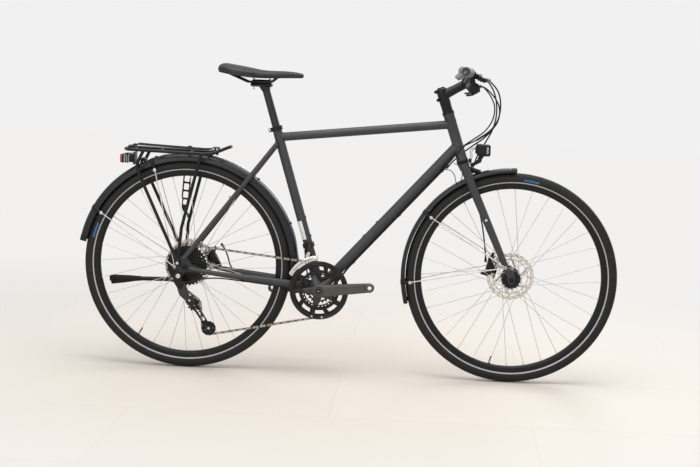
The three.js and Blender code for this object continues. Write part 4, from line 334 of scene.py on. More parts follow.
anthracite_paint = finish(
    "anthracite_paint", (0.046, 0.046, 0.049), 0.50, 0.2, grain=1400, bump=0.12, spread=0.06
)
black_alloy = finish("black_alloy", (0.020, 0.020, 0.021), 0.38, 0.3, grain=700, bump=0.04)
satin_black = finish("satin_black", (0.0080, 0.0080, 0.0085), 0.34, 0.0, gloss=0.24, grain=500, bump=0.04)
gloss_black = finish(
    "gloss_black", (0.005, 0.005, 0.006), 0.20, 0.0, gloss=0.35, grain=200, bump=0.02, rough_spread=0.05
)
# The fork ends repeat the frame's paint at half its brightness: painted shade for the dim low rear of the
# frame.
fork_end_shade_paint = finish(
    "fork_end_shade_paint", (0.021, 0.021, 0.023), 0.50, 0.2, grain=1400, bump=0.12, spread=0.06
)
crank_grey = finish("crank_grey", (0.088, 0.082, 0.075), 0.40, 0.6, grain=800, bump=0.05)
hanger_grey = finish("hanger_grey", (0.060, 0.060, 0.062), 0.42, 0.8, grain=700, bump=0.08)
bright_steel = finish("bright_steel", (0.62, 0.60, 0.57), 0.26, 1.0, spread=0.08, grain=500, bump=0.04)
spoke_steel = finish("spoke_steel", (0.60, 0.585, 0.565), 0.50, 0.5, grain=500, bump=0.02)
rotor_steel = finish("rotor_steel", (0.64, 0.58, 0.50), 0.34, 0.9, spread=0.16, grain=1500, bump=0.10)
grip_grey = finish("grip_grey", (0.032, 0.032, 0.033), 0.55, 0.0, grain=1200, bump=0.1)
# The inner links' much darker steel is painted shade for the gaps between the outer plates.
chain_inner_shade = finish("chain_inner_shade", (0.028, 0.026, 0.024), 0.42, 0.5, spread=0.25, grain=900, bump=0.06)
chain_steel = finish("chain_steel", (0.34, 0.315, 0.28), 0.36, 0.85, spread=0.25, grain=900, bump=0.06)
sprocket_steel = finish("sprocket_steel", (0.013, 0.0125, 0.012), 0.36, 0.3, gloss=0.3, spread=0.2, grain=700)
matte_plastic = finish("matte_plastic", (0.007, 0.007, 0.0075), 0.50, 0.0, gloss=0.26, grain=1800, bump=0.14)
guard_plastic = finish("guard_plastic", (0.010, 0.0105, 0.012), 0.32, 0.0, gloss=0.34, grain=1200, bump=0.05)
soft_rubber = finish("soft_rubber", (0.009, 0.009, 0.0095), 0.64, 0.0, gloss=0.26, grain=2200, bump=0.2)
grip_rubber = finish("grip_rubber", (0.17, 0.168, 0.166), 0.60, 0.0, grain=2600, bump=0.3)
cable_cover = finish("cable_cover", (0.006, 0.006, 0.0065), 0.38, 0.0, gloss=0.26, grain=900, bump=0.03)
plain_white = finish("plain_white", (0.78, 0.78, 0.77), 0.45, 0.0, spread=0.02, grain=600, bump=0.02)
red_lens = finish(
    "red_lens", (0.42, 0.010, 0.020), 0.14, 0.0, spread=0.1, grain=120, bump=0.03, Coat_Weight=0.6
)
clear_lens = finish(
    "clear_lens", (0.80, 0.81, 0.82), 0.08, 0.0, spread=0.03, grain=160, bump=0.02, Transmission_Weight=0.55,
    IOR=1.49
)
print("finishes:", len(bpy.data.materials))

# %% [markdown]
# ## A workshop of small shape makers
# Nearly every piece here is one of five shapes: a tube along a path, a turned part, a flat plate, a rounded
# block or a bolt. Each maker starts a bmesh, lets Blender's own operators shape it, and hands it back, so
# that one object may join several of them before it is finished.

# %% From bmesh to piece
def joined(*shapes):
    """Put several shapes into one, each keeping its own closed skin."""
    total = bmesh.new()
    for shape in shapes:
        mesh = bpy.data.meshes.new("join")
        shape.to_mesh(mesh)
        shape.free()
        total.from_mesh(mesh)
        bpy.data.meshes.remove(mesh)
    return total


def mirrored(shape):
    """A copy on the other side of the bicycle, with its faces turned outwards again."""
    twin = shape.copy()
    bmesh.ops.transform(twin, matrix=Matrix.Scale(-1, 4, ACROSS), verts=twin.verts)
    bmesh.ops.reverse_faces(twin, faces=twin.faces)
    return twin


def both_sides(shape):
    return joined(mirrored(shape), shape)


def piece(name, shape, material, body, replaces=(), smooth_angle=35):
    """Finish a bmesh as one object that rides on a body, where one is named, and takes the given finish."""
    bmesh.ops.recalc_face_normals(shape, faces=shape.faces)
    mesh = bpy.data.meshes.new(name)
    shape.to_mesh(mesh)
    shape.free()
    mesh.materials.append(material)
    mesh.shade_smooth()
    mesh.set_sharp_from_angle(angle=math.radians(smooth_angle))
    thing = bpy.data.objects.new(name, mesh)
    bpy.context.scene.collection.objects.link(thing)
    if body:
        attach(thing, body)
    if replaces:
        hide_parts(*replaces)
    return thing


def frame_of(direction, side=None):
    """A turn whose z axis looks along a direction, with its x axis as near as can be to a side."""
    z = Vector(direction).normalized()
    x = Vector(side) if side is not None else (ACROSS if abs(z.y) < 0.9 else FORWARD)
    x = (x - z * x.dot(z)).normalized()
    y = z.cross(x)
    return Matrix((x, y, z)).transposed().to_4x4()


print("joining, mirroring and finishing are ready")

# %% [markdown]
# A tube starts as one ring of points, and the ring is extruded from station to station along its path. The
# path runs through a few given points on a smooth curve, so the same maker bends a fork blade, a hose or a
# stay. The ring may be an ellipse, and its size may change along the way, as on drawn and squeezed tubes.

# %% Tubes along a path
def smooth_path(points, steps):
    """A curve through the points; the first and last directions follow the end legs."""
    points = [Vector(p) for p in points]
    if len(points) == 2:
        return [points[0].lerp(points[1], i / steps) for i in range(steps + 1)]
    guide = [points[0] * 2 - points[1]] + points + [points[-1] * 2 - points[-2]]
    path = []
    for i in range(1, len(guide) - 2):
        a, b, c, d = guide[i - 1:i + 3]
        gaps = [max(1e-6, (q - p).length ** 0.5) for p, q in ((a, b), (b, c), (c, d))]
        first = ((b - a) / gaps[0] - (c - a) / (gaps[0] + gaps[1]) + (c - b) / gaps[1]) * gaps[1]
        last = ((c - b) / gaps[1] - (d - b) / (gaps[1] + gaps[2]) + (d - c) / gaps[2]) * gaps[1]
        for k in range(steps):
            t = k / steps
            path.append(
                b * (2 * t ** 3 - 3 * t * t + 1) + first * (t ** 3 - 2 * t * t + t)
                + c * (3 * t * t - 2 * t ** 3) + last * (t ** 3 - t * t)
            )
    path.append(points[-1])
    return path


def bent_path(points, radius, steps=7):
    """Straight legs joined by round bends, as a tube bender makes them."""
    points = [Vector(p) for p in points]
    path = [points[0]]
    for before, corner, after in zip(points, points[1:], points[2:]):
        start = (before - corner).normalized()
        end = (after - corner).normalized()
        half = start.angle(end) / 2
        reach = min(
            radius / 1000 / math.tan(half), (before - corner).length * 0.48, (after - corner).length * 0.48
        )
        for k in range(steps + 1):
            t = k / steps
            path.append(
                (corner + start * reach) * (1 - t) ** 2 + corner * 2 * t * (1 - t)
                + (corner + end * reach) * t * t
            )
    path.append(points[-1])
    return path


def sizes_at(size, t):
    """A single radius, or a list of shares along the way, each with a radius."""
    if isinstance(size, (int, float)):
        return size
    for (t0, r0), (t1, r1) in zip(size, size[1:]):
        if t <= t1:
            return r0 + (r1 - r0) * max(0, t - t0) / max(1e-9, t1 - t0)
    return size[-1][1]


def tube(path, radius, sides=20, side=None, flatten=1.0, caps=True):
    """Extrude a ring along a path. The radius is in millimetres; flatten narrows it along the side."""
    path = [Vector(p) for p in path]
    shape = bmesh.new()
    lengths = [0.0]
    for a, b in zip(path, path[1:]):
        lengths.append(lengths[-1] + (b - a).length)
    directions = []
    for i in range(len(path)):
        ahead = path[min(i + 1, len(path) - 1)]
        behind = path[max(i - 1, 0)]
        directions.append((ahead - behind).normalized())
    turn = frame_of(directions[0], side)
    ring = bmesh.ops.create_circle(shape, cap_ends=False, segments=sides, radius=1.0)["verts"]
    edges = list({e for v in ring for e in v.link_edges})
    loop = ring
    first = edges
    previous = Matrix.Identity(4)
    for i, (place, direction) in enumerate(zip(path, directions)):
        if i:
            if side is None:
                turn = directions[i - 1].rotation_difference(direction).to_matrix().to_4x4() @ turn
            else:
                turn = frame_of(direction, side)
            grown = bmesh.ops.extrude_edge_only(shape, edges=edges)["geom"]
            loop = [g for g in grown if isinstance(g, bmesh.types.BMVert)]
            edges = [g for g in grown if isinstance(g, bmesh.types.BMEdge)]
            members = set(loop)
            edges = [e for e in edges if all(v in members for v in e.verts)]
        r = sizes_at(radius, lengths[i] / max(1e-9, lengths[-1])) / 1000
        flat = sizes_at(flatten, lengths[i] / max(1e-9, lengths[-1]))
        now = Matrix.Translation(place) @ turn @ Matrix.Diagonal((r * flat, r, 1, 1))
        bmesh.ops.transform(shape, matrix=now @ previous.inverted(), verts=loop)
        previous = now
    if caps:
        bmesh.ops.contextual_create(shape, geom=first)
        bmesh.ops.contextual_create(shape, geom=edges)
    bmesh.ops.recalc_face_normals(shape, faces=shape.faces)
    return shape


def rod(start, end, radius, sides=16, **options):
    return tube([start, end], radius, sides, **options)


print("a bend in a tube:", len(bent_path([(0, 0, 0), (1, 0, 0), (1, 1, 0)], 50)), "points")

# %% [markdown]
# A turned part is a half outline spun once round its axle, as a lathe would cut it. The outline is a list of
# (distance along the axle, radius) in millimetres. A closed outline gives a ring such as a rim or a tyre.

# %% Turned parts
def turned(center, axis, outline, steps=48, closed=False, degrees=360, start_side=None):
    shape = bmesh.new()
    turn = Matrix.Translation(Vector(center)) @ frame_of(axis, start_side)
    verts = [shape.verts.new((r / 1000, 0, a / 1000)) for a, r in outline]
    edges = [shape.edges.new(pair) for pair in zip(verts, verts[1:])]
    if closed:
        edges.append(shape.edges.new((verts[-1], verts[0])))
    whole = abs(degrees - 360) < 1e-6
    bmesh.ops.spin(
        shape, geom=verts + edges, cent=(0, 0, 0), axis=(0, 0, 1), angle=math.radians(degrees), steps=steps,
        use_merge=whole, use_duplicate=False
    )
    bmesh.ops.remove_doubles(shape, verts=shape.verts, dist=1e-6)
    bmesh.ops.recalc_face_normals(shape, faces=shape.faces)
    bmesh.ops.transform(shape, matrix=turn, verts=shape.verts)
    return shape


def drum(center, axis, low, high, radius, bevel=0.5, steps=32):
    """A solid cylinder with rounded rims between two places along its axis."""
    b = min(bevel, (high - low) / 2, radius)
    arc = [(b * (1 - math.cos(a)), b * math.sin(a)) for a in (0, math.pi / 6, math.pi / 3, math.pi / 2)]
    outline = [(low, 0)] + [(low + x, radius - b + s) for x, s in arc]
    outline += [(high - x, radius - b + s) for x, s in reversed(arc)] + [(high, 0)]
    return turned(center, axis, outline, steps)


def ring(center, axis, low, high, inner, outer, bevel=0.5, steps=48):
    """A washer or a band with rounded edges."""
    b = min(bevel, (high - low) / 2.01, (outer - inner) / 2.01)
    outline = [
        (low, inner + b), (low, outer - b), (low + b * 0.3, outer - b * 0.3), (low + b, outer),
        (high - b, outer), (high - b * 0.3, outer - b * 0.3), (high, outer - b), (high, inner + b),
        (high - b * 0.3, inner + b * 0.3), (high - b, inner), (low + b, inner),
        (low + b * 0.3, inner + b * 0.3)
    ]
    return turned(center, axis, outline, steps, closed=True)


print("turned parts are ready")

# %% [markdown]
# Flat parts such as dropouts, chain plates and levers start as an outline with its holes. A filled 2-D curve
# makes the face between the outline and its holes, its extrusion and bevel make the thickness and the rounded
# edge, and the result is turned into a mesh and then placed.

# %% Plates with holes
def flat_curve(loops, thickness, bevel):
    """The mesh of a filled, extruded and bevelled 2-D curve."""
    curve = bpy.data.curves.new("plate", "CURVE")
    curve.dimensions = "2D"
    curve.fill_mode = "BOTH"
    curve.extrude = max(0.0, thickness / 2 - bevel) / 1000
    curve.bevel_depth = bevel / 1000
    curve.bevel_resolution = 1
    curve.offset = -bevel / 1000
    for loop in loops:
        spline = curve.splines.new("POLY")
        spline.points.add(len(loop) - 1)
        for point, (x, y) in zip(spline.points, loop):
            point.co = (x / 1000, y / 1000, 0, 1)
        spline.use_cyclic_u = True
    holder = bpy.data.objects.new("plate", curve)
    mesh = bpy.data.meshes.new_from_object(holder)
    shape = bmesh.new()
    shape.from_mesh(mesh)
    bpy.data.objects.remove(holder)
    bpy.data.curves.remove(curve)
    bpy.data.meshes.remove(mesh)
    bmesh.ops.remove_doubles(shape, verts=shape.verts, dist=1e-6)
    return shape


def plate(loops, thickness, place, bevel=0.3):
    """A plate whose loops are millimetres in the plane that a matrix gives."""
    shape = flat_curve(loops, thickness, bevel)
    bmesh.ops.transform(shape, matrix=place, verts=shape.verts)
    bmesh.ops.recalc_face_normals(shape, faces=shape.faces)
    return shape


def side_plane(center, y=None):
    """The bicycle's own plane through a centre: x forward, y up, looking from the drive side."""
    place = Vector(center)
    if y is not None:
        place.y = y / 1000
    return Matrix.Translation(place) @ Matrix(((1, 0, 0), (0, 0, -1), (0, 1, 0))).to_4x4()


def spot(radius, angle):
    """A point of a circle round the middle of a flat outline."""
    return radius * math.cos(angle), radius * math.sin(angle)


def circle(x, y, radius, count=20):
    spots = [spot(radius, TURN * i / count) for i in range(count)]
    return [(x + across, y + up) for across, up in spots]


def turns_right(a, b, c):
    """Whether a walk from a over b to c doesn't turn left."""
    return (b[0] - a[0]) * (c[1] - a[1]) - (b[1] - a[1]) * (c[0] - a[0]) <= 0


def around(points, radius, count=7):
    """The outline of a band laid round a row of points: the hull of circles at each."""
    cloud = []
    for point in points:
        x, y = point[0], point[1]
        r = point[2] if len(point) > 2 else radius
        cloud += circle(x, y, r, count * 4)
    cloud = sorted(set(cloud))
    hull = []
    for sweep in (cloud, cloud[::-1]):
        part = []
        for p in sweep:
            while len(part) > 1 and turns_right(part[-2], part[-1], p):
                part.pop()
            part.append(p)
        hull += part[:-1]
    return hull


print("a band round two points:", len(around([(0, 0), (10, 0)], 3)), "corners")

# %% [markdown]
# Moulded parts start as a cube whose edges are rounded; bolts are the commonest piece of all. A bolt is a
# turned head with a pit sunk into it, because two discs of brighter metal would not fool anyone at close
# range.

# %% Blocks and bolts
def block(center, size, bevel=1.5, turn=None, segments=3):
    shape = bmesh.new()
    bmesh.ops.create_cube(shape, size=1.0)
    bmesh.ops.transform(
        shape, matrix=Matrix.Diagonal((size[0] / 1000, size[1] / 1000, size[2] / 1000, 1)), verts=shape.verts
    )
    bmesh.ops.bevel(
        shape, geom=shape.edges[:], offset=bevel / 1000, offset_type="OFFSET", affect="EDGES",
        segments=segments, profile=0.5, material=-1, clamp_overlap=True
    )
    if turn is not None:
        bmesh.ops.transform(shape, matrix=turn, verts=shape.verts)
    bmesh.ops.translate(shape, vec=Vector(center), verts=shape.verts)
    return shape


def bolt(face, outward, head=4.0, height=3.0, socket=0.55, sides=20):
    """A round bolt head that stands on a face, with a socket sunk into it."""
    pit = head * socket
    outline = [
        (-1.0, 0), (-1.0, head * 0.9), (0, head * 0.96), (height * 0.75, head), (height * 0.95, head * 0.93),
        (height, head * 0.82), (height, pit)
    ]
    body = turned(face, outward, outline, sides)
    rim = [e for e in body.edges if len(e.link_faces) == 1]
    bmesh.ops.contextual_create(body, geom=rim)
    top = max(body.faces, key=lambda f: f.calc_center_median().dot(Vector(outward)) + f.calc_area() * 10)
    bmesh.ops.inset_region(body, faces=[top], thickness=pit * 0.18 / 1000, depth=0)
    down = Vector(outward).normalized() * -height * 0.6 / 1000
    grown = bmesh.ops.extrude_face_region(body, geom=[top])["geom"]
    moved = [g for g in grown if isinstance(g, bmesh.types.BMVert)]
    bmesh.ops.translate(body, vec=down, verts=moved)
    bmesh.ops.delete(body, geom=[top], context="FACES_ONLY")
    return body


def hex_nut(center, axis, low, high, across):
    """A six-sided nut with chamfered corners."""
    reach = across / 2 / math.cos(math.pi / 6)
    chamfer = min(1.2, (high - low) * 0.2)
    outline = [
        (low, 0), (low, reach - chamfer), (low + chamfer, reach), (high - chamfer, reach),
        (high, reach - chamfer), (high, 0)
    ]
    return turned(center, axis, outline, 6)


def toothed(teeth, radius, root_depth, tip_height):
    """The outline of a sprocket: rounded valleys for the chain's rollers and short tips between them."""
    flank, foot, tip = -root_depth * 0.25, -root_depth * 0.86, tip_height
    tooth = (
        (0.0, -root_depth), (0.14, foot), (0.27, flank), (0.40, tip), (0.60, tip), (0.73, flank), (0.86, foot)
    )
    return [spot(radius + rise, TURN / teeth * (i + share)) for i in range(teeth) for share, rise in tooth]


print("a small sprocket's outline:", len(toothed(11, 22.5, 3.9, 1.6)), "points")

# %% [markdown]
# ## Wheels
# A wheel is read by its tyre, its thin spokes and its hub. The tyre is one outline spun round the axle: a
# rounded carcass with two bead lines and a slightly flatter tread. Hundreds of tread blocks would cost too
# much as geometry each with its own detail, so the grooves are cut in the outline and small shoulder blocks
# are repeated.

# %% Tyre outline
def tyre_outline():
    """(distance across, radius) round the tyre's skin, from the left bead over the tread to the right."""
    outer = [
        (11.0, 314.5), (12.6, 316.5), (16.8, 320.5), (19.6, 325.0), (20.8, 330.0), (20.6, 335.0),
        (19.0, 340.0), (17.4, 343.2), (15.6, 345.2), (15.2, 344.4), (14.2, 344.9), (13.6, 346.6),
        (9.2, 349.2), (8.8, 348.2), (7.8, 348.5), (7.4, 349.8), (3.2, 350.8), (2.8, 349.9), (1.9, 350.0),
        (1.6, 351.0)
    ]
    right = [(-a, r) for a, r in reversed(outer)]
    inner = [(-9.5, 313.5), (-9.5, 318.0), (0, 330.0), (9.5, 318.0), (9.5, 313.5)]
    return outer + right + inner


def stripe(side):
    """A thin reflecting band that lies on the tyre's flank."""
    low, middle, high = 318.6, 320.5, 322.4
    corners = ((low, 0.35), (middle, 0.35), (high, 0.35), (high, -0.8), (low, -0.8))
    return [(side * (16.8 + (r - middle) * 0.62 + proud), r) for r, proud in corners]


def tyre_material():
    """Dark rubber with a fine grain under faint dusty clouds."""
    block = bpy.data.materials.new("tyre_rubber")
    nodes, links = node_tree(block)
    clouds = texture(nodes, links, "Noise", 38, Detail=5)["Fac"]
    fine = texture(nodes, links, "Noise", 1500)["Fac"]
    tone = ramp(nodes, links, clouds, [(0.3, (0.0085, 0.0082, 0.008)), (0.75, (0.016, 0.0154, 0.0148))])
    rough = scalar(nodes, links, "MULTIPLY_ADD", clouds, 0.2, 0.52)
    surface(nodes, links, tone, rough, fine, 0.18, 0.0005, Specular_IOR_Level=0.3)
    return block


tyre_rubber = tyre_material()
reflective_band = finish("reflective_band", (0.44, 0.44, 0.43), 0.4, 0.0, spread=0.05, grain=900, bump=0.03)
blue_patch = finish("blue_patch", (0.035, 0.12, 0.30), 0.45, 0.0, spread=0.06, grain=800, bump=0.03)


def shoulder_blocks(center):
    """Small raised blocks round both shoulders of the tread, one shape repeated."""
    count = 120
    blocks = []
    for side in (1, -1):
        one = block(Vector((0, 0, 0)), (7.0, 3.6, 2.2), bevel=0.5, segments=1)
        bmesh.ops.rotate(
            one, verts=one.verts, cent=(0, 0, 0), matrix=Matrix.Rotation(side * math.radians(-52), 3, "X")
        )
        bmesh.ops.translate(one, verts=one.verts, vec=Vector((0, side * 16.9, 343.9)) / 1000)
        start = 0.0 if side > 0 else 0.5
        bmesh.ops.rotate(
            one, verts=one.verts, cent=(0, 0, 0), matrix=Matrix.Rotation(TURN * start / count, 3, "Y")
        )
        bmesh.ops.spin(
            one, geom=one.verts[:] + one.edges[:] + one.faces[:], cent=(0, 0, 0), axis=(0, 1, 0),
            angle=TURN * (count - 1) / count, steps=count - 1, use_duplicate=True
        )
        blocks.append(one)
    total = joined(*blocks)
    bmesh.ops.translate(total, verts=total.verts, vec=center)
    return total


def make_tyre(name, center, body, node):
    skin = turned(center, ACROSS, tyre_outline(), steps=160, closed=True)
    piece(
        name, joined(skin, shoulder_blocks(center)), tyre_rubber, body, [node], smooth_angle=24
    )
    for side in (1, -1):
        band = turned(center, ACROSS, stripe(side), steps=160, closed=True)
        piece(f"{name}_stripe_{'left' if side > 0 else 'right'}", band, reflective_band, body)


make_tyre("front_tyre_skin", FRONT_AXLE, "front_wheel", "front_tyre")
make_tyre("rear_tyre_skin", REAR_AXLE, "rear_wheel", "rear_tyre")
print("tyres made")

# %% [markdown]
# The plain blue patches on the flanks mark where the tyre's direction is read. They are short arcs of the
# same spun outline, a little proud of the rubber.

# %% Patches on the flanks
def flank_face(radius):
    """How far out the right flank's rubber lies, with a hair's gap over it."""
    return -(19.4 + 1.5 * math.sin(math.pi * (radius - 322) / 16) + 0.15)


def flank_patch(name, center, body, middle_degrees):
    low, high, span_degrees = 327.0, 337.0, 9.0
    outline = [(flank_face(r), r) for r in (low, (low + high) / 2, high)]
    outline += [(flank_face(r) + 1.2, r) for r in (high, low)]
    arc = turned(Vector((0, 0, 0)), UP, outline, steps=14, closed=True, degrees=span_degrees)
    open_rings = [e for e in arc.edges if len(e.link_faces) == 1]
    bmesh.ops.holes_fill(arc, edges=open_rings, sides=0)
    lay = Matrix(((1, 0, 0), (0, 0, 1), (0, 1, 0))).to_4x4()
    bmesh.ops.transform(arc, matrix=lay, verts=arc.verts)
    bmesh.ops.reverse_faces(arc, faces=arc.faces)
    points = [v.co.copy() for v in arc.verts]
    now = math.degrees(math.atan2(sum(p.z for p in points), sum(p.x for p in points)))
    bmesh.ops.rotate(
        arc, verts=arc.verts, cent=(0, 0, 0),
        matrix=Matrix.Rotation(math.radians(now - middle_degrees), 3, "Y")
    )
    bmesh.ops.translate(arc, verts=arc.verts, vec=center)
    piece(name, arc, blue_patch, body, smooth_angle=50)


flank_patch("front_flank_patch", FRONT_AXLE, "front_wheel", 81)
flank_patch("rear_flank_patch", REAR_AXLE, "rear_wheel", 161.5)
print("flank patches made")

# %% [markdown]
# The rim is a hollow box with hooked flanges; what shows is its nose, its flat brake-less sides and the
# bright nipples that stand out of it. A spoke leans as it leaves the flange and crosses its neighbours. Here
# each spoke is a real 2 mm wire with a bent elbow, laid from the same angles as the CAD model's.

# %% Rim, nipples and valve
SPOKES_PER_SIDE = 16
SPOKE_LEAN = 66


def rim_shape(center):
    outline = [
        (12.5, 317.0), (12.5, 305.0), (12.0, 303.4), (10.6, 301.6), (7.4, 299.2), (6.0, 298.4), (4.0, 298.0),
        (-4.0, 298.0), (-6.0, 298.4), (-7.4, 299.2), (-10.6, 301.6), (-12.0, 303.4), (-12.5, 305.0),
        (-12.5, 317.0), (-11.2, 317.4), (-10.6, 316.0), (-10.6, 309.5), (-5.0, 306.5), (5.0, 306.5),
        (10.6, 309.5), (10.6, 316.0), (11.2, 317.4)
    ]
    return turned(center, ACROSS, outline, steps=160, closed=True)


def spoke_lines(center, hub):
    """Start on the flange and end in the rim of each of the 32 spokes."""
    lines = []
    for phase, flange_y, flange_radius, seat in hub:
        for i in range(SPOKES_PER_SIDE):
            rim_angle = math.degrees((i + phase) / SPOKES_PER_SIDE * TURN)
            lean = 1 if i % 2 else -1
            start = polar(center, flange_radius - 2, rim_angle + lean * SPOKE_LEAN, flange_y + lean * 2.2)
            end = polar(center, 300.5, rim_angle, seat)
            lines.append((start, end, lean, flange_y))
    return lines


def spokes(center, hub):
    parts = []
    for start, end, lean, flange_y in spoke_lines(center, hub):
        way = (end - start).normalized()
        elbow = start - Vector((0, lean * 3.4, 0)) / 1000
        parts.append(tube(
            [elbow, start - way * 0.0006, start + way * 0.003, end],
            [(0, 1.05), (0.03, 1.05), (0.06, 0.95), (0.9, 0.95), (1, 1.0)], sides=7, caps=True
        ))
        parts.append(drum(
            elbow - Vector((0, lean * 0.4, 0)) / 1000, (0, -lean, 0), 0, 1.2, 2.0, 0.4, steps=8
        ))
    return joined(*parts)


def nipples(center, hub):
    parts = []
    for start, end, lean, flange_y in spoke_lines(center, hub):
        way = (end - start).normalized()
        foot = end + way * 0.001
        parts.append(tube(
            [foot, foot - way * 0.009, foot - way * 0.0135], [(0, 2.1), (0.66, 1.9), (1, 1.15)], sides=8
        ))
    return joined(*parts)


FRONT_HUB = ((0, 21, 33, 2.5), (0.5, -29, 33, -2.5))
REAR_HUB = ((0, 33, 29, 2.5), (0.5, -19, 29, -2.5))


def valve(center, degrees):
    foot = polar(center, 298.5, degrees)
    tip = polar(center, 272.0, degrees)
    way = (tip - foot).normalized()
    stem = tube(
        [foot, foot + way * 0.017, foot + way * 0.018, tip - way * 0.001, tip],
        [(0, 3.4), (0.62, 3.2), (0.66, 2.4), (0.94, 2.4), (1, 1.6)], sides=14
    )
    nut = turned(foot, way, [(0.0, 0), (0.0, 6.2), (1.8, 6.2), (2.4, 5.4), (2.4, 0)], 6)
    return joined(stem, nut)


for name, center, body, hub, valve_turn in (
    ("front", FRONT_AXLE, "front_wheel", FRONT_HUB, 258.75),
    ("rear", REAR_AXLE, "rear_wheel", REAR_HUB, 236.25)
):
    piece(f"{name}_rim", rim_shape(center), satin_black, body, smooth_angle=30)
    piece(f"{name}_spokes", spokes(center, hub), spoke_steel, body)
    piece(f"{name}_nipples", nipples(center, hub), bright_steel, body)
    piece(f"{name}_valve", valve(center, valve_turn), gloss_black, body)
print("rims laced")

# %% [markdown]
# The hubs differ: the front one is a fat ridged drum between wide flanges, the rear one a slim barrel beside
# the freehub. Each is turned in one piece, and rows of small lugs ring the front one's flanges.

# %% Hubs
front_outline = [
    (-49.7, 0), (-49.7, 8.6), (-48.6, 10.0), (-44.0, 10.0), (-43.2, 13.5), (-40.5, 16.5), (-34.0, 18.5),
    (-32.6, 28.6), (-31.6, 29.6), (-26.6, 29.6), (-25.6, 29.4), (-24.6, 29.0)
]
for ridge in range(5):
    low = -22.0 + ridge * 7.6
    front_outline += [(low, 29.0), (low + 1.0, 27.6), (low + 3.0, 27.6), (low + 4.0, 29.0)]
front_outline += [
    (17.4, 29.0), (18.4, 32.0), (19.2, 33.0), (23.2, 33.0), (24.2, 32.0), (25.4, 22.0), (33.0, 17.6),
    (38.0, 17.6), (38.4, 16.0), (43.0, 16.0), (43.6, 10.0), (48.6, 10.0), (49.7, 8.6), (49.7, 0)
]
piece(
    "front_hub", turned(FRONT_AXLE, ACROSS, front_outline, steps=72), satin_black, "front_wheel",
    ["front_wheel"], smooth_angle=28
)
lugs = []
for flange_y, side in ((-32.4, -1), (24.0, 1)):
    for i in range(16):
        for lug_radius, lug_size in ((29.6, 3.3), (23.5, 1.8)):
            lugs.append(drum(
                polar(FRONT_AXLE, lug_radius, i * 22.5 + 8, flange_y), (0, side, 0),
                -5.2 if lug_radius > 28 else 0, 1.6, lug_size, 0.4, 10
            ))
for i in range(12):
    lugs.append(drum(polar(FRONT_AXLE, 13.2, i * 30, -43.0), (0, -1, 0), 0, 1.8, 2.2, 0.5, 8))
piece("front_hub_lugs", joined(*lugs), black_alloy, "front_wheel", smooth_angle=40)
rear_outline = [
    (-67.2, 0), (-67.2, 10.8), (-66.0, 12.0), (-63.6, 12.0), (-63.6, 16.4), (-24.4, 16.4), (-24.0, 18.0),
    (-22.6, 28.2), (-21.6, 29.0), (-17.4, 29.0), (-16.4, 28.2), (-14.8, 21.4), (-12.0, 20.0), (24.0, 20.0),
    (28.0, 21.6), (30.0, 28.2), (31.0, 29.0), (35.0, 29.0), (36.0, 28.2), (37.6, 22.0), (42.0, 17.8),
    (50.4, 17.8), (51.0, 15.8), (55.4, 15.8), (56.0, 12.0), (66.0, 12.0), (67.2, 10.8), (67.2, 0)
]
piece(
    "rear_hub", turned(REAR_AXLE, ACROSS, rear_outline, steps=72), satin_black, "rear_wheel",
    ["rear_wheel"], smooth_angle=28
)
print("hubs made, with", len(lugs), "lugs on the front one")

# %% [markdown]
# A brake rotor is stamped from 1.8 mm steel: a wavy track full of slots, held by a spider of leaning arms
# with six bolts. The outline and all the holes are one filled curve, so the windows are really open.

# %% Brake rotors
def wavy(radius, depth, waves, count, start=0.0, span=TURN, back=False):
    """Part of a ring whose radius ripples, as a list of points."""
    angles = [start + span * k / count for k in range(count + (0 if abs(span - TURN) < 1e-6 else 1))]
    points = [spot(radius + depth * math.cos(waves * a), a) for a in angles]
    return points[::-1] if back else points


def rotor_loops():
    loops = [wavy(79.0, 0.9, 24, 192), circle(0, 0, 15.8, 36)]
    for arm in range(12):
        start = math.radians(arm * 30 + 3.5)
        loops.append(
            wavy(66.8, 0.9, 24, 8, start, math.radians(23))
            + wavy(60.4, 0.6, 24, 8, start - 0.03, math.radians(23), back=True)
        )
    for arm in range(6):
        start = math.radians(arm * 60 + 6)
        loops.append(
            wavy(56.6, 0.0, 24, 12, start + 0.42, math.radians(49))
            + wavy(31.0, 0.0, 24, 8, start, math.radians(42), back=True)
        )
    for i in range(24):
        a = TURN * (i + 0.5) / 24
        for k, radius in enumerate((69.6, 73.2, 76.6)):
            turn_by = a + (k - 1) * 0.07
            slot = [spot(radius, turn_by + t) for t in (-0.022, 0.022)]
            loops.append(around([(x, z, 1.25) for x, z in slot], 1.2, 3)[::-1])
    for i in range(6):
        a = TURN * (i + 0.25) / 6
        loops.append(circle(*spot(23, a), 1.9, 10))
    return loops


for name, center, body, y, node in (
    ("front_brake_rotor", FRONT_AXLE, "front_wheel", 39.5, "front_rotor"),
    ("rear_brake_rotor", REAR_AXLE, "rear_wheel", 52, "rear_rotor")
):
    disc = plate(rotor_loops(), 1.8, side_plane(center, y), bevel=0.25)
    piece(name, disc, rotor_steel, body, [node], smooth_angle=30)
    heads = [
        bolt(polar(center, 22.5, 60 * i + 30, y + 0.9), ACROSS, head=3.4, height=2.0, sides=12)
        for i in range(6)
    ]
    piece(f"{name}_bolts", joined(*heads), bright_steel, body)
print("rotors made")

# %% [markdown]
# Both axles pass through the frame and end in dark nuts with a flange. They don't turn with the wheels, so
# they ride on the frame and on the fork.

# %% Axles and their nuts
def axle(center, inside):
    """A rod with a washer and a dark nut outside each end of the frame or the fork."""
    parts = [rod(with_y(center, -inside - 0.1), with_y(center, inside + 0.1), 5.0, 20)]
    for side in (1, -1):
        parts.append(drum(with_y(center, side * inside), (0, side, 0), 0, 1.6, 9.6, 0.5))
        parts.append(turned(
            with_y(center, side * inside), (0, side, 0),
            [
                (1.6, 0), (1.6, 8.4), (2.2, 9.0), (5.4, 9.0), (6.6, 8.2), (7.0, 7.0), (7.0, 4.2), (5.0, 3.6),
                (5.0, 0)
            ],
            24
        ))
    return joined(*parts)


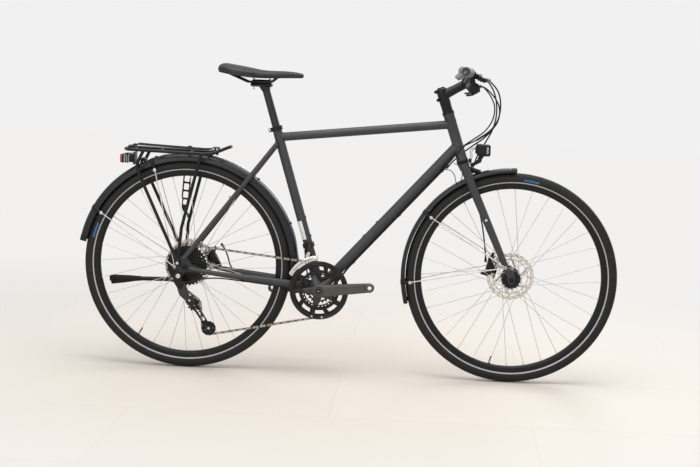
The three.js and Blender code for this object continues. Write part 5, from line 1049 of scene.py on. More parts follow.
piece("rear_axle_nuts", axle(REAR_AXLE, 72.6), satin_black, "frame", ["rear_axle"])
piece("front_axle_nuts", axle(FRONT_AXLE, 55.6), satin_black, "steering", ["front_axle"])
print("axles made")

# %% [markdown]
# ## The frame
# The main frame has an oversize down tube, a slimmer top tube, and a seat tube with a clamp collar, all under
# a matte anthracite powder coat. The tubes are extruded rings, and at each joint a weld bead, a row of small
# overlapping ripples, hides the seam, because that bead is what tells a welded frame from a drawn one.

# %% Weld beads
def weld(center, tube_way, tube_radius, cutter_center, cutter_way, cutter_radius, count=34):
    """A rippled bead where one round tube meets another."""
    way = Vector(tube_way).normalized()
    turn = frame_of(way)
    cutter = Vector(cutter_way).normalized()
    places = []
    for i in range(count):
        a = TURN * i / count
        offset = turn @ Vector((math.cos(a), math.sin(a), 0)) * (tube_radius / 1000)
        base = Vector(center) + offset
        rel = base - Vector(cutter_center)
        flat = rel - cutter * rel.dot(cutter)
        run = way - cutter * way.dot(cutter)
        aa, bb, cc = run.dot(run), 2 * flat.dot(run), flat.dot(flat) - (cutter_radius / 1000) ** 2
        disc = bb * bb - 4 * aa * cc
        if disc < 0:
            places.append(base - way * (flat.dot(run) / aa))
            continue
        roots = ((-bb + math.sqrt(disc)) / (2 * aa), (-bb - math.sqrt(disc)) / (2 * aa))
        places.append(base + way * min(roots, key=abs))
    path = []
    for a, b in zip(places, places[1:] + places[:1]):
        path += [a, a.lerp(b, 0.5)]
    path.append(path[0])
    total = len(path) - 1
    narrow, wide = 1.5, 1.98
    size = [(i / total, wide if i % 2 else narrow) for i in range(total + 1)]
    return tube(path, size, sides=8)


SEAT_TOP = 561
DOWN_TUBE_RADIUS, TOP_TUBE_RADIUS, SEAT_TUBE_RADIUS = 17.8, 14.3, 15.5
HEAD_TUBE_RADIUS, SHELL_RADIUS = 18.0, 21.0
TOP_TUBE_BACK, TOP_TUBE_FRONT, DOWN_TUBE_FRONT = up_seat_tube(524), up_head_tube(125), up_head_tube(51.5)
top_way = (TOP_TUBE_FRONT - TOP_TUBE_BACK).normalized()
down_way = (DOWN_TUBE_FRONT - BOTTOM_BRACKET).normalized()

main_tubes = joined(
    rod(BOTTOM_BRACKET, DOWN_TUBE_FRONT, DOWN_TUBE_RADIUS, 48),
    rod(TOP_TUBE_BACK, TOP_TUBE_FRONT, TOP_TUBE_RADIUS, 44),
    rod(BOTTOM_BRACKET, up_seat_tube(SEAT_TOP), SEAT_TUBE_RADIUS, 44),
    turned(
        HEAD_FOOT, HEAD_WAY,
        [
            (0, 0), (0, 18.6), (1.0, 19.4), (5, 19.4), (7, 18.0), (155, 18.0), (157, 19.4), (161, 19.4),
            (162, 18.6), (162, 0)
        ],
        48
    ),
    turned(BOTTOM_BRACKET, ACROSS, [(-34, 0), (-34, 20.2), (-33, 21.0), (33, 21.0), (34, 20.2), (34, 0)], 48),
    weld(TOP_TUBE_FRONT, top_way, TOP_TUBE_RADIUS, HEAD_FOOT, HEAD_WAY, HEAD_TUBE_RADIUS),
    weld(DOWN_TUBE_FRONT, down_way, DOWN_TUBE_RADIUS, HEAD_FOOT, HEAD_WAY, HEAD_TUBE_RADIUS, 40),
    weld(TOP_TUBE_BACK, -top_way, TOP_TUBE_RADIUS, BOTTOM_BRACKET, SEAT_WAY, SEAT_TUBE_RADIUS),
    weld(BOTTOM_BRACKET, down_way, DOWN_TUBE_RADIUS, BOTTOM_BRACKET, ACROSS, SHELL_RADIUS, 40),
    weld(BOTTOM_BRACKET, SEAT_WAY, SEAT_TUBE_RADIUS, BOTTOM_BRACKET, ACROSS, SHELL_RADIUS),
)
piece(
    "main_frame_tubes", main_tubes, anthracite_paint, "frame", ["main_frame"], smooth_angle=40
)

over_down_tube = (UP - down_way * UP.dot(down_way)).normalized()
ahead_of_seat_tube = (FORWARD - SEAT_WAY * SEAT_WAY.x).normalized()
boss_bolts = []
for distance in (230, 294):
    place = BOTTOM_BRACKET + (down_way * distance + over_down_tube * DOWN_TUBE_RADIUS) / 1000
    boss_bolts.append((place, over_down_tube))
for distance in (180, 244):
    place = up_seat_tube(distance) + ahead_of_seat_tube * SEAT_TUBE_RADIUS / 1000
    boss_bolts.append((place, ahead_of_seat_tube))
boss_outline = [(-2, 0), (-2, 5.6), (0.4, 5.6), (1.0, 5.0), (1.0, 0)]
boss_collars = [turned(place, way, boss_outline, 20) for place, way in boss_bolts]
boss_heads = [bolt(place + way * 0.001, way, head=4.1, height=1.9) for place, way in boss_bolts]
piece("bottle_bosses", joined(*boss_collars), anthracite_paint, "frame")
piece("bottle_boss_bolts", joined(*boss_heads), bright_steel, "frame")
print("main triangle: down tube", round((DOWN_TUBE_FRONT - BOTTOM_BRACKET).length * 1000), "mm")

# %% [markdown]
# The rear triangle's stays are bent pairs that squeeze in towards the tyre, joined by a bridge above and
# below it. The dropouts are thick plates whose outline carries the axle slot, the hanger on the drive side
# and eyelets for the mudguard and rack.

# %% Rear triangle
CHAINSTAY = [(436, 18, 295.5), (346, 36, 305), (105, 61, 331), (40, 68, 341), (16, 70, 346)]
seatstay_top = up_seat_tube(512)
seatstay_foot = at(-4, 71.5, 377)


def seatstay_point(share, y):
    way = seatstay_top - seatstay_foot
    place = seatstay_foot + way * share
    place.y = y / 1000
    return place


seatstay_path = bent_path(
    [seatstay_foot, seatstay_point(0.12, 62), seatstay_point(0.70, 40), seatstay_point(0.975, 19)], 120
)
chainstay_path = bent_path([at(*p) for p in CHAINSTAY], 120)
DROPOUT = [
    (1.5, -0.42), (1.55, -0.12), (0.75, 0.2), (0.1, 0.98), (-0.3, 1.0), (-0.8, 0.62), (-1.1, 0.1),
    (-1.02, -0.25), (-0.55, -0.45), (0.1, -0.5)
]
DROPOUT_SIZE = 36
smooth_dropout = smooth_path(
    [Vector((x * DROPOUT_SIZE, z * DROPOUT_SIZE, 0)) for x, z in DROPOUT + DROPOUT[:1]], 5
)
dropout_outline = [(p.x, p.y) for p in smooth_dropout[:-1]]


def dropout(y):
    eyelets = [circle(-23.0, 9.0, 3.0, 14), circle(-30.5, -1.0, 2.6, 14), circle(22, -3, 3.4, 14)]
    return plate([dropout_outline] + eyelets, 5.0, side_plane(REAR_AXLE, y), bevel=0.8)


hanger_loop = around([(-2, -10, 10), (-18.5, -30.3, 9.4)], 9)
BRIDGE_RADIUS = 382.3
bridge_share = max(
    (s / 400 for s in range(401)),
    key=lambda s: -abs((seatstay_point(s, 0) - REAR_AXLE).length - BRIDGE_RADIUS / 1000)
)
bridge_place = seatstay_point(bridge_share, 0)
stays = joined(
    both_sides(tube(
        chainstay_path, [(0, 10.5), (0.3, 10.5), (0.75, 9.0), (1, 7.5)], 28, side=UP,
        flatten=[(0, 1.0), (0.2, 1.25), (0.5, 1.0), (1, 0.95)]
    )),
    both_sides(tube(seatstay_path, [(0, 7.2), (0.12, 8.0), (1, 8.0)], 26)),
    rod(polar(REAR_AXLE, BRIDGE_RADIUS, -7.4, -38), polar(REAR_AXLE, BRIDGE_RADIUS, -7.4, 38), 7, 24),
    rod(with_y(bridge_place, -42), with_y(bridge_place, 42), 7, 24),
)
fork_ends = joined(
    dropout(70),
    dropout(-70),
    plate([hanger_loop, circle(-18.5, -30.3, 5, 16)], 6.0, side_plane(REAR_AXLE, -70), bevel=0.8),
)
# The dropouts take the darker copy of the frame paint as painted shade.
piece("rear_fork_ends", fork_ends, fork_end_shade_paint, "frame", smooth_angle=40)
piece("rear_stays", stays, anthracite_paint, "frame", ["rear_triangle"], smooth_angle=40)

eyelet_bolts = [bolt(at(-22.0, side * 82.3, 364), (0, side, 0), head=5.0, height=3.2) for side in (1, -1)]
eyelet_bolts += [bolt(at(-31.0, side * 79.2, 350), (0, side, 0), head=5.0, height=3.0) for side in (1, -1)]
eyelet_bolts += [bolt(at(-18.5, -73.0, 320.7), (0, -1, 0), head=7.4, height=2.2, socket=0.42)]
piece("dropout_bolts", joined(*eyelet_bolts), bright_steel, "frame")
loop_under_stay = turned(
    at(196, -50, 309), (0, 1, 0), [(-2.4, 3.0), (-1.2, 4.4), (1.2, 4.4), (2.4, 3.0), (0, 2.2)], 20,
    closed=True
)
loop_over_stay = turned(
    seatstay_point(0.5, -46) + Vector((-0.004, 0, 0.010)), (0, 1, 0),
    [(-2.4, 3.0), (-1.2, 4.2), (1.2, 4.2), (2.4, 3.0), (0, 2.2)], 20, closed=True
)
piece("stay_eyelets", joined(loop_under_stay, loop_over_stay), anthracite_paint, "frame")
print("stays bridge at share", round(bridge_share, 3))

# %% [markdown]
# Small turned parts finish the frame: the two headset cups, the bottom-bracket cups and the seat collar with
# its clamp ears and bolt. Their thin shadow lines matter more than their shape, so every rim has a step.

# %% Cups and collar
def headset_cup(start, outward):
    return turned(
        start, outward,
        [
            (0, 0), (0, 19.4), (0.8, 20.4), (5.8, 20.4), (6.4, 19.4), (6.6, 18.0), (7.0, 18.0), (8.2, 17.8),
            (8.5, 17.2), (8.5, 0)
        ],
        48
    )


piece(
    "upper_headset_cup", headset_cup(up_head_tube(162), HEAD_WAY), satin_black, "frame",
    ["headset_upper_cup"]
)
piece(
    "lower_headset_cup", headset_cup(HEAD_FOOT, -HEAD_WAY), satin_black, "frame",
    ["headset_lower_cup"]
)
piece(
    "bottom_bracket_cups",
    both_sides(turned(
        with_y(BOTTOM_BRACKET, 34), ACROSS,
        [(0, 0), (0, 21.4), (0.6, 22.0), (6.0, 22.0), (6.6, 20.8), (9.4, 20.2), (10.1, 19.4), (10.1, 0)], 40
    )),
    satin_black, "frame", ["bottom_bracket"]
)
collar_base = up_seat_tube(SEAT_TOP - 15)
collar = joined(
    turned(
        collar_base, SEAT_WAY,
        [(0.4, 15.3), (0.4, 19.0), (1.2, 19.8), (13.8, 19.8), (14.6, 19.0), (15.0, 17.0), (15.0, 15.3)], 40,
        closed=True
    ),
    block(
        collar_base + SEAT_WAY * 0.0075 - ahead_of_seat_tube * 0.0215, (11, 19, 12.5), 1.2,
        turn=frame_of(SEAT_WAY, ahead_of_seat_tube)
    ),
)
piece("seat_collar_ring", collar, satin_black, "frame", ["seat_collar"])
collar_bolt_place = collar_base + SEAT_WAY * 0.0075 - ahead_of_seat_tube * 0.0225
piece(
    "seat_collar_bolt",
    joined(
        bolt(with_y(collar_bolt_place, -9.6), (0, -1, 0), 3.8, 3.2),
        rod(with_y(collar_bolt_place, -9), with_y(collar_bolt_place, 9.9), 2.4, 12)
    ),
    bright_steel, "frame"
)
print("cups and seat collar made")

# %% [markdown]
# A plain white paper label goes round the back of the seat tube. It is a short arc of a slightly larger tube.

# %% Plain label
def label_on_tube(base, way, radius, low, high, facing, span):
    outline = [(low, radius + 0.12), (high, radius + 0.12), (high, radius - 0.4), (low, radius - 0.4)]
    side = Matrix.Rotation(math.radians(-span / 2), 3, Vector(way)) @ Vector(facing)
    arc = turned(base, way, outline, steps=12, closed=True, degrees=span, start_side=side)
    rims = [e for e in arc.edges if len(e.link_faces) == 1]
    bmesh.ops.holes_fill(arc, edges=rims, sides=0)
    return arc


piece(
    "seat_tube_label",
    label_on_tube(BOTTOM_BRACKET, SEAT_WAY, 15.5, 172, 236, Vector((-0.62, -0.78, -0.2)), 84), plain_white,
    "frame", smooth_angle=50
)
print("label laid on the seat tube")

# %% [markdown]
# ## Fork, stem and handlebar
# The fork's blades leave a wide crown and taper as they run down and forward. A lighter ring under the headset
# is a painted highlight on the crown. A forged tip carries the axle, and a boss half-way down takes a low rack.

# %% Fork
CROWN = at(914.8, 0, 713.3)
BLADE_TOP, BLADE_FOOT = at(914.8, 42, 713.3), at(1073, 56, 375)
blade_way = (BLADE_FOOT - BLADE_TOP).normalized()
blade = tube(
    [
        BLADE_TOP - blade_way * 0.012, BLADE_TOP.lerp(BLADE_FOOT, 0.33), BLADE_TOP.lerp(BLADE_FOOT, 0.66),
        BLADE_FOOT
    ],
    [(0, 14.2), (0.5, 13.4), (1, 9.6)], 30
)
tip_loop = around([(-13, 27, 6), (0, 30, 6), (5, 4, 6.5), (2, -8, 6), (-4, -8, 6), (-7, 2, 6.5)], 7)
fork_tip = plate([tip_loop], 6.0, side_plane(FRONT_AXLE, 53), bevel=1.2)
lower_shoe = tube(
    [BLADE_FOOT - blade_way * 0.004, at(1079, 55, 366), at(1084, 54, 354)], [(0, 9.6), (0.5, 8.8), (1, 7.6)],
    24, side=ACROSS, flatten=[(0, 1.0), (1, 0.62)]
)
blade_cap = turned(BLADE_FOOT, blade_way, [(-1, 0), (-1, 9.7), (1.0, 9.0), (2.6, 6.0), (3.2, 0)], 24)
crown_bar = tube(
    [
        CROWN - ACROSS * 0.050, CROWN - ACROSS * 0.046, CROWN - ACROSS * 0.02, CROWN + ACROSS * 0.02,
        CROWN + ACROSS * 0.046, CROWN + ACROSS * 0.050
    ],
    [(0, 10), (0.04, 13.6), (0.3, 15), (0.7, 15), (0.96, 13.6), (1, 10)], 32
)
boss_place = BLADE_TOP.lerp(BLADE_FOOT, 0.49)
boss_place.y += 0.0117
fork_neck = turned(
    up_head_tube(-26), HEAD_WAY,
    [(-6, 0), (-6, 15.5), (0, 17.2), (8, 18.0), (16.4, 18.0), (17.2, 17.4), (17.2, 0)], 40
)
fork_shape = joined(
    both_sides(joined(
        blade, fork_tip, blade_cap, lower_shoe,
        turned(boss_place, ACROSS, [(-5, 0), (-5, 6), (2.0, 6), (2.6, 5.2), (2.6, 0)], 20)
    )),
    crown_bar, fork_neck, rod(up_head_tube(-30), up_head_tube(176), 13.6, 32)
)
piece("fork_blades", fork_shape, anthracite_paint, "steering", ["fork"], smooth_angle=40)
# A ring in the lighter crank grey under the headset is a painted highlight on the fork crown.
piece(
    "fork_crown_highlight_ring",
    turned(
        up_head_tube(-10.5), HEAD_WAY,
        [(-7.0, 17.2), (-7.0, 18.6), (-6.4, 19.0), (-0.6, 19.0), (0.0, 18.6), (0.0, 17.2)], 40, closed=True
    ),
    crank_grey, "steering"
)
fork_bolts = []
for side in (1, -1):
    fork_bolts.append(bolt(
        Vector((boss_place.x, side * (boss_place.y + 0.0022), boss_place.z)), (0, side, 0), 4.6, 3.0
    ))
    fork_bolts.append(bolt(at(1062, side * 77.0, 395), (0, side, 0), 5.2, 3.0))
fork_bolts.append(bolt(CROWN + Vector((0.0145, 0, 0.0)), (1, 0, 0), 5.0, 3.4))
piece("fork_bolts", joined(*fork_bolts), bright_steel, "steering")
eyelet_front = [
    turned(at(1062, side * 60, 395), (0, side, 0), [(-6, 0), (-6, 5.4), (6.0, 5.4), (7.0, 4.6), (7.0, 0)], 18)
    for side in (1, -1)
]
piece("fork_eyelets", joined(*eyelet_front), anthracite_paint, "steering")
print("fork blades", round((BLADE_FOOT - BLADE_TOP).length * 1000), "mm long")

# %% [markdown]
# The stem is a column with two spacers, a forged arm and a four-bolt bar clamp. The handlebar is one bent
# tube: flat at the clamp, then swept back and up to the grips.

# %% Stem and handlebar
BAR_CLAMP = at(912.8, 0, 992.9)
arm_start = up_head_tube(224)
arm_way = (BAR_CLAMP - arm_start).normalized()
stem_parts = [
    turned(
        up_head_tube(170.8), HEAD_WAY,
        [
            (0, 0), (0, 16.9), (0.6, 17.5), (9.2, 17.5), (9.8, 16.8), (10.4, 17.5), (19.4, 17.5),
            (20.0, 16.8), (20.6, 17.5), (21.6, 18.0), (70, 18.0), (75.0, 17.0), (78.4, 13.4), (79.2, 12.0),
            (79.2, 0)
        ],
        44
    ),
    tube(
        [arm_start, arm_start.lerp(BAR_CLAMP, 0.5), BAR_CLAMP - arm_way * 0.012],
        [(0, 17.0), (0.5, 14.8), (1, 15.0)], 32
    ),
    turned(
        with_y(BAR_CLAMP, -22), ACROSS,
        [(0, 0), (0, 18.6), (2.0, 20.6), (4, 21.0), (40, 21.0), (42, 20.6), (44, 18.6), (44, 0)], 44
    ),
    turned(
        up_head_tube(250), HEAD_WAY,
        [(-2, 0), (-2, 12.4), (1.0, 12.4), (2.0, 11.4), (2.0, 3.6), (1.0, 3.2), (1.0, 0)], 32
    ),
]
piece("stem_body", joined(*stem_parts), satin_black, "steering", ["stem"], smooth_angle=38)
stem_bolts = [
    bolt(with_y(BAR_CLAMP + arm_way * 0.0195, y) + Vector((0, 0, dz / 1000)), arm_way, 3.8, 3.2)
    for y in (-13, 13) for dz in (-9, 9)
]
back_of_column = -(FORWARD - HEAD_WAY * HEAD_WAY.x).normalized()
pinch_lugs = []
for distance in (214, 242):
    ear = up_head_tube(distance) + back_of_column * 0.0185
    pinch_lugs.append(block(ear, (11, 17, 11), 2.4, turn=frame_of(HEAD_WAY, back_of_column)))
    pinch_lugs.append(rod(
        with_y(ear, -10.5) + back_of_column * 0.0025, with_y(ear, 10.5) + back_of_column * 0.0025, 4.4, 18
    ))
    stem_bolts.append(bolt(with_y(ear, -10.2) + back_of_column * 0.0025, (0, -1, 0), 3.4, 2.0))
piece("stem_pinch_lugs", joined(*pinch_lugs), satin_black, "steering", smooth_angle=42)
piece("stem_bolts", joined(*stem_bolts), gloss_black, "steering")

BAR_REACH, BAR_RISE = 307, 36.8
bar_end = at(899.8, 307, 1029.7)
bar_points = [BAR_CLAMP]
for out, rise, ahead in (
    (0.12, 0, 0), (0.22, 0.12, 0.12), (0.38, 0.62, 0.9), (0.48, 0.84, 0.8), (0.56, 0.9, 0.5)
):
    bar_points.append(BAR_CLAMP + Vector((ahead * 6, out * BAR_REACH, rise * BAR_RISE)) / 1000)
bar_points.append(bar_end)
half_bar = smooth_path(bar_points, 9)
whole_bar = [Vector((p.x, -p.y, p.z)) for p in reversed(half_bar[1:])] + half_bar
bar = tube(
    whole_bar, [(0, 11.1), (0.43, 11.1), (0.455, 15.9), (0.545, 15.9), (0.57, 11.1), (1, 11.1)], 28, side=UP
)
piece("handlebar_tube", bar, satin_black, "steering", ["handlebar"], smooth_angle=50)
print("handlebar", round(bar_end.y * 2000), "mm wide between the ends")

# %% [markdown]
# ## The drivetrain
# From the drive side this is the busiest part. The nine sprockets and three chainrings are flat toothed
# plates with real windows; the teeth number what the real ones do, so the chain's pitch of half an inch fits
# all of them.

# %% Sprockets
PITCH = 12.7
CASSETTE_TEETH = (34, 30, 26, 23, 20, 17, 15, 13, 11)
CHAIN_LINE, SPROCKET_STEP = -27, 4.34


def pitch_radius(teeth):
    return PITCH / 2 / math.sin(math.pi / teeth)


def teeth_outline(teeth, tip=2.4):
    return toothed(teeth, pitch_radius(teeth), 3.9, tip)


def sprocket(teeth, y, turn_degrees):
    radius = pitch_radius(teeth)
    loops = [teeth_outline(teeth, 2.3), circle(0, 0, 16.9, 30)]
    if teeth >= 20:
        outside, inside = radius - 10.5, max(22.5, radius - 17.0)
        for arm in range(6):
            window = [spot(outside, a) for a in (math.radians(arm * 60 + 9 + 24 * k / 7) for k in range(8))]
            window += [spot(inside, a) for a in (math.radians(arm * 60 + 32 - 22 * k / 5) for k in range(6))]
            loops.append(window)
    shape = plate(loops, 1.8, Matrix.Identity(4), bevel=0.3)
    bmesh.ops.rotate(
        shape, verts=shape.verts, cent=(0, 0, 0), matrix=Matrix.Rotation(math.radians(turn_degrees), 3, "Z")
    )
    bmesh.ops.transform(shape, matrix=side_plane(REAR_AXLE, y), verts=shape.verts)
    return shape


cassette_parts = [
    sprocket(teeth, CHAIN_LINE - SPROCKET_STEP * i, 7 * i) for i, teeth in enumerate(CASSETTE_TEETH)
]
for i in range(len(CASSETTE_TEETH) - 1):
    middle_y = CHAIN_LINE - SPROCKET_STEP * (i + 0.5)
    cassette_parts.append(ring(
        with_y(REAR_AXLE, middle_y), ACROSS, -1.2, 1.2, 16.9, 20.5 if i else 26, 0.2, 30
    ))
piece(
    "cassette_sprockets", joined(*cassette_parts), sprocket_steel, "cassette", ["cassette"],
    smooth_angle=30
)
lockring = turned(
    with_y(REAR_AXLE, -62.7), (0, -1, 0),
    [(0, 12.3), (0, 17.0), (0.6, 17.6), (1.0, 17.0), (1.2, 14.6), (0.4, 13.6), (0.4, 12.3)], 36, closed=True
)
piece("cassette_lockring", lockring, bright_steel, "cassette")
print("cassette teeth", CASSETTE_TEETH)

# %% [markdown]
# The crankset carries three rings on five arms. The outer bolt-on ring is a glossy chain guard, open in the
# middle so that the rings show. Its five bolts are black, and two small bright ones sit low on its rim.

# %% Chainrings and guard
CRANK_ANGLE = 6
CRANK_LENGTH = 170
ARM_ANGLES = [CRANK_ANGLE + (index + 0.5) * 72 for index in range(5)]
BIG_TEETH, MIDDLE_TEETH, SMALL_TEETH = 44, 32, 22
BIG_RING_Y, MIDDLE_RING_Y, SMALL_RING_Y, GUARD_Y = -50, -43, -36, -55.6


def ring_windows(count, inner, outer, share, lean=0.0):
    """Slots between two radii, each leaning as the ring's ribs do."""
    loops = []
    for k in range(count):
        middle_angle = TURN * (k + 0.5) / count
        half = TURN / count * share / 2
        steps = 5
        top = [middle_angle - half + 2 * half * i / steps + lean for i in range(steps + 1)]
        low = [middle_angle + half - 2 * half * i / steps for i in range(steps + 1)]
        loops.append([spot(outer, a) for a in top] + [spot(inner, a) for a in low])
    return loops


def tabbed_circle(radius, depth, sharpness, count):
    """A circle with a tab inwards at each of the spider's five arms."""
    points = []
    for k in range(count):
        angle = TURN * k / count
        tab = max(0.0, math.cos(5 * (angle - math.radians(ARM_ANGLES[0])))) ** sharpness
        points.append(spot(radius - depth * tab, angle))
    return points


def chainring(teeth, y, inside, windows):
    loops = [teeth_outline(teeth), tabbed_circle(inside, 6.0, 6, 100)] + windows
    return plate(loops, 2.0, side_plane(BOTTOM_BRACKET, y), bevel=0.3)


big_ring = chainring(BIG_TEETH, BIG_RING_Y, 57.5, ring_windows(10, 68.0, 79.5, 0.66, 0.06))
middle_ring = chainring(MIDDLE_TEETH, MIDDLE_RING_Y, 50.5, ring_windows(30, 54.6, 57.4, 0.45))
small_ring = plate(
    [teeth_outline(SMALL_TEETH), circle(0, 0, 36.0, 60)], 2.0, side_plane(BOTTOM_BRACKET, SMALL_RING_Y),
    bevel=0.3
)
piece(
    "chainring_set", joined(big_ring, middle_ring, small_ring), sprocket_steel, "cranks",
    ["chainrings"], smooth_angle=30
)

guard_loops = [circle(0, 0, 98, 160), tabbed_circle(84.6, 5.0, 14, 160)]
guard_plate = plate(guard_loops, 2.6, side_plane(BOTTOM_BRACKET, GUARD_Y), bevel=0.7)
guard_lip = turned(
    with_y(BOTTOM_BRACKET, GUARD_Y), ACROSS,
    [(-2.4, 91.0), (-3.4, 93.5), (-3.2, 96.0), (-2.0, 97.6), (0.4, 98.0), (1.2, 97.6), (1.2, 91.0)], 160,
    closed=True
)
guard_legs = []
for angle in ARM_ANGLES:
    guard_legs.append(tube(
        [
            polar(BOTTOM_BRACKET, 86, angle, -55.2), polar(BOTTOM_BRACKET, 76, angle, -53.4),
            polar(BOTTOM_BRACKET, 62, angle, -52.6)
        ],
        [(0, 6.4), (0.5, 5.0), (1, 4.6)], 12, side=ACROSS, flatten=0.28
    ))
piece(
    "chain_guard", joined(guard_plate, guard_lip, *guard_legs), gloss_black, "cranks",
    smooth_angle=40
)
guard_bolts = [
    bolt(polar(BOTTOM_BRACKET, 90.5, angle, -58.0), (0, -1, 0), 3.6, 1.8) for angle in (-103.5, -82.0)
]
ring_bolts = []
for angle in ARM_ANGLES:
    ring_bolts.append(bolt(polar(BOTTOM_BRACKET, 56, angle, -52.9), (0, -1, 0), 5.0, 1.8))
    ring_bolts.append(bolt(polar(BOTTOM_BRACKET, 84, angle, -56.6), (0, -1, 0), 3.6, 1.6))
piece("chain_guard_bolts", joined(*guard_bolts), bright_steel, "cranks")
piece("chainring_bolts", joined(*ring_bolts), black_alloy, "cranks")
print("chainring teeth", (BIG_TEETH, MIDDLE_TEETH, SMALL_TEETH))

# %% [markdown]
# A crank arm is a forged bar that narrows from its boss to the open eye for the pedal. It starts as a plate
# whose outline wraps two circles, with generous bevels on both faces; the boss and the eye's rim are turned.
# The eye's hole stays open.

# %% Crank arms
def crank_arm(angle, side):
    eye = polar(BOTTOM_BRACKET, CRANK_LENGTH, angle, side * 69.0)
    loop = around([(0, 0, 20.6), (CRANK_LENGTH, 0, 15.3)], 12)
    arm = plate([loop, circle(CRANK_LENGTH, 0, 7.0, 24)], 14.6, Matrix.Identity(4), bevel=3.2)
    bmesh.ops.rotate(
        arm, verts=arm.verts, cent=(0, 0, 0), matrix=Matrix.Rotation(math.radians(angle), 3, "Z")
    )
    bmesh.ops.transform(arm, matrix=side_plane(BOTTOM_BRACKET, side * 67.5), verts=arm.verts)
    pad = turned(
        with_y(eye, side * 74.6), (0, side, 0),
        [(0, 7.0), (0, 15.0), (4.6, 15.0), (5.8, 14.2), (6.3, 12.8), (6.3, 7.6), (5.8, 7.0)], 32, closed=True
    )
    boss = turned(
        with_y(BOTTOM_BRACKET, side * 60), (0, side, 0),
        [
            (-1.6, 0), (-1.6, 20.0), (0, 20.8), (12.8, 20.8), (14.8, 19.4), (15.4, 17.4), (15.4, 9.8),
            (14.6, 9.2), (14.6, 0)
        ],
        44
    )
    return joined(arm, pad, boss)


def spider():
    arms = []
    for angle in ARM_ANGLES:
        row = ((14, -52.6), (30, -50.2), (45, -48.4), (54, -47.2), (62, -47.0))
        arms.append(tube(
            [polar(BOTTOM_BRACKET, radius, angle, y) for radius, y in row],
            [(0, 17.0), (0.35, 13.0), (0.7, 9.4), (0.85, 8.8), (1, 7.2)], 18, side=ACROSS,
            flatten=[(0, 0.45), (0.6, 0.28), (1, 0.28)]
        ))
    return joined(*arms)


spindle = drum(with_y(BOTTOM_BRACKET, 0), ACROSS, -58.6, 58.6, 12, 0.5, 28)
piece("crank_spider", joined(spider(), spindle), hanger_grey, "cranks", smooth_angle=42)
piece(
    "crank_arm_right", crank_arm(CRANK_ANGLE, -1), crank_grey, "cranks", ["crank_right"],
    smooth_angle=42
)
piece(
    "crank_arm_left", crank_arm(CRANK_ANGLE + 180, 1), crank_grey, "cranks", ["crank_left"],
    smooth_angle=42
)
caps = []
for side in (-1, 1):
    caps.append(turned(
        with_y(BOTTOM_BRACKET, side * 74.6), (0, side, 0),
        [
            (-0.5, 0), (-0.5, 15.8), (0.5, 16.2), (1.0, 15.6), (1.0, 13.8), (0.5, 13.2), (0.5, 9.4),
            (1.5, 9.0), (1.5, 6.0), (0.9, 4.4), (-1.2, 4.0), (-1.2, 0)
        ],
        36
    ))
piece("crank_bolt_caps", joined(*caps), satin_black, "cranks")
piece(
    "crank_bolt_pins",
    joined(*[
        drum(with_y(BOTTOM_BRACKET, side * 73.6), (0, side, 0), 0, 2.2, 1.9, 0.5, 14) for side in (-1, 1)
    ]),
    bright_steel, "cranks"
)
print("cranks", CRANK_LENGTH, "mm")

# %% [markdown]
# The chain runs over four wheels. Its path is found as a belt's: straight runs that touch each wheel, and
# arcs between them. The links are then laid along the path one pitch apart, an inner link after an outer one,
# each a few dozen faces, because there are more than a hundred.

# %% Chain path
PULLEY_TEETH = 11
GUIDE, TENSION = at(28, CHAIN_LINE, 218), at(80, CHAIN_LINE, 140)
WHEELS = (
    (REAR_AXLE, pitch_radius(CASSETTE_TEETH[0]), -1, CHAIN_LINE),
    (BOTTOM_BRACKET, pitch_radius(BIG_TEETH), -1, BIG_RING_Y),
    (TENSION, pitch_radius(PULLEY_TEETH), -1, CHAIN_LINE),
    (GUIDE, pitch_radius(PULLEY_TEETH), 1, CHAIN_LINE),
)


def belt_path(wheels):
    """Points of a belt, as (x, z, y), once round; a sense of +1 turns from forward towards up."""
    count = len(wheels)
    arc_step = math.radians(4)
    runs = []
    for i in range(count):
        (c1, r1, s1, _), (c2, r2, s2, _) = wheels[i], wheels[(i + 1) % count]
        dx, dz = (c2.x - c1.x) * 1000, (c2.z - c1.z) * 1000
        gap = math.hypot(dx, dz)
        heading_angle = math.atan2(dz, dx) + math.asin((r1 * s1 - r2 * s2) / gap)
        mx, mz = math.sin(heading_angle), -math.cos(heading_angle)
        runs.append((
            (c1.x * 1000 + r1 * s1 * mx, c1.z * 1000 + r1 * s1 * mz),
            (c2.x * 1000 + r2 * s2 * mx, c2.z * 1000 + r2 * s2 * mz)
        ))
    points = []
    for i in range(count):
        center, radius, sense, y = wheels[i]
        arrive, leave = runs[i - 1][1], runs[i][0]
        start = math.atan2(arrive[1] - center.z * 1000, arrive[0] - center.x * 1000)
        end = math.atan2(leave[1] - center.z * 1000, leave[0] - center.x * 1000)
        span = ((end - start) * sense) % TURN
        steps = max(2, int(span / arc_step))
        for k in range(steps + 1):
            a = start + sense * span * k / steps
            points.append((center.x * 1000 + radius * math.cos(a), center.z * 1000 + radius * math.sin(a), y))
    return points


def along(points):
    """The path's total length and a function that finds a place on it."""
    closed = points + points[:1]
    lengths = [0.0]
    for a, b in zip(closed, closed[1:]):
        lengths.append(lengths[-1] + math.hypot(b[0] - a[0], b[1] - a[1]))
    total = lengths[-1]

    def place(distance):
        distance %= total
        low, high = 0, len(lengths) - 1
        while high - low > 1:
            middle_index = (low + high) // 2
            if lengths[middle_index] <= distance:
                low = middle_index
            else:
                high = middle_index
        t = (distance - lengths[low]) / max(1e-9, lengths[low + 1] - lengths[low])
        a, b = closed[low], closed[low + 1]
        return Vector((a[0] + (b[0] - a[0]) * t, a[2] + (b[2] - a[2]) * t, a[1] + (b[1] - a[1]) * t)) / 1000
    return total, place


chain_total, chain_place = along(belt_path(WHEELS))
link_count = 2 * round(chain_total / PITCH / 2)
link_pitch = chain_total / link_count
print("chain", round(chain_total), "mm,", link_count, "links of", round(link_pitch, 3), "mm")

# %% [markdown]
# One outer link is two waisted plates and two pins; one inner link is two plates and two rollers.

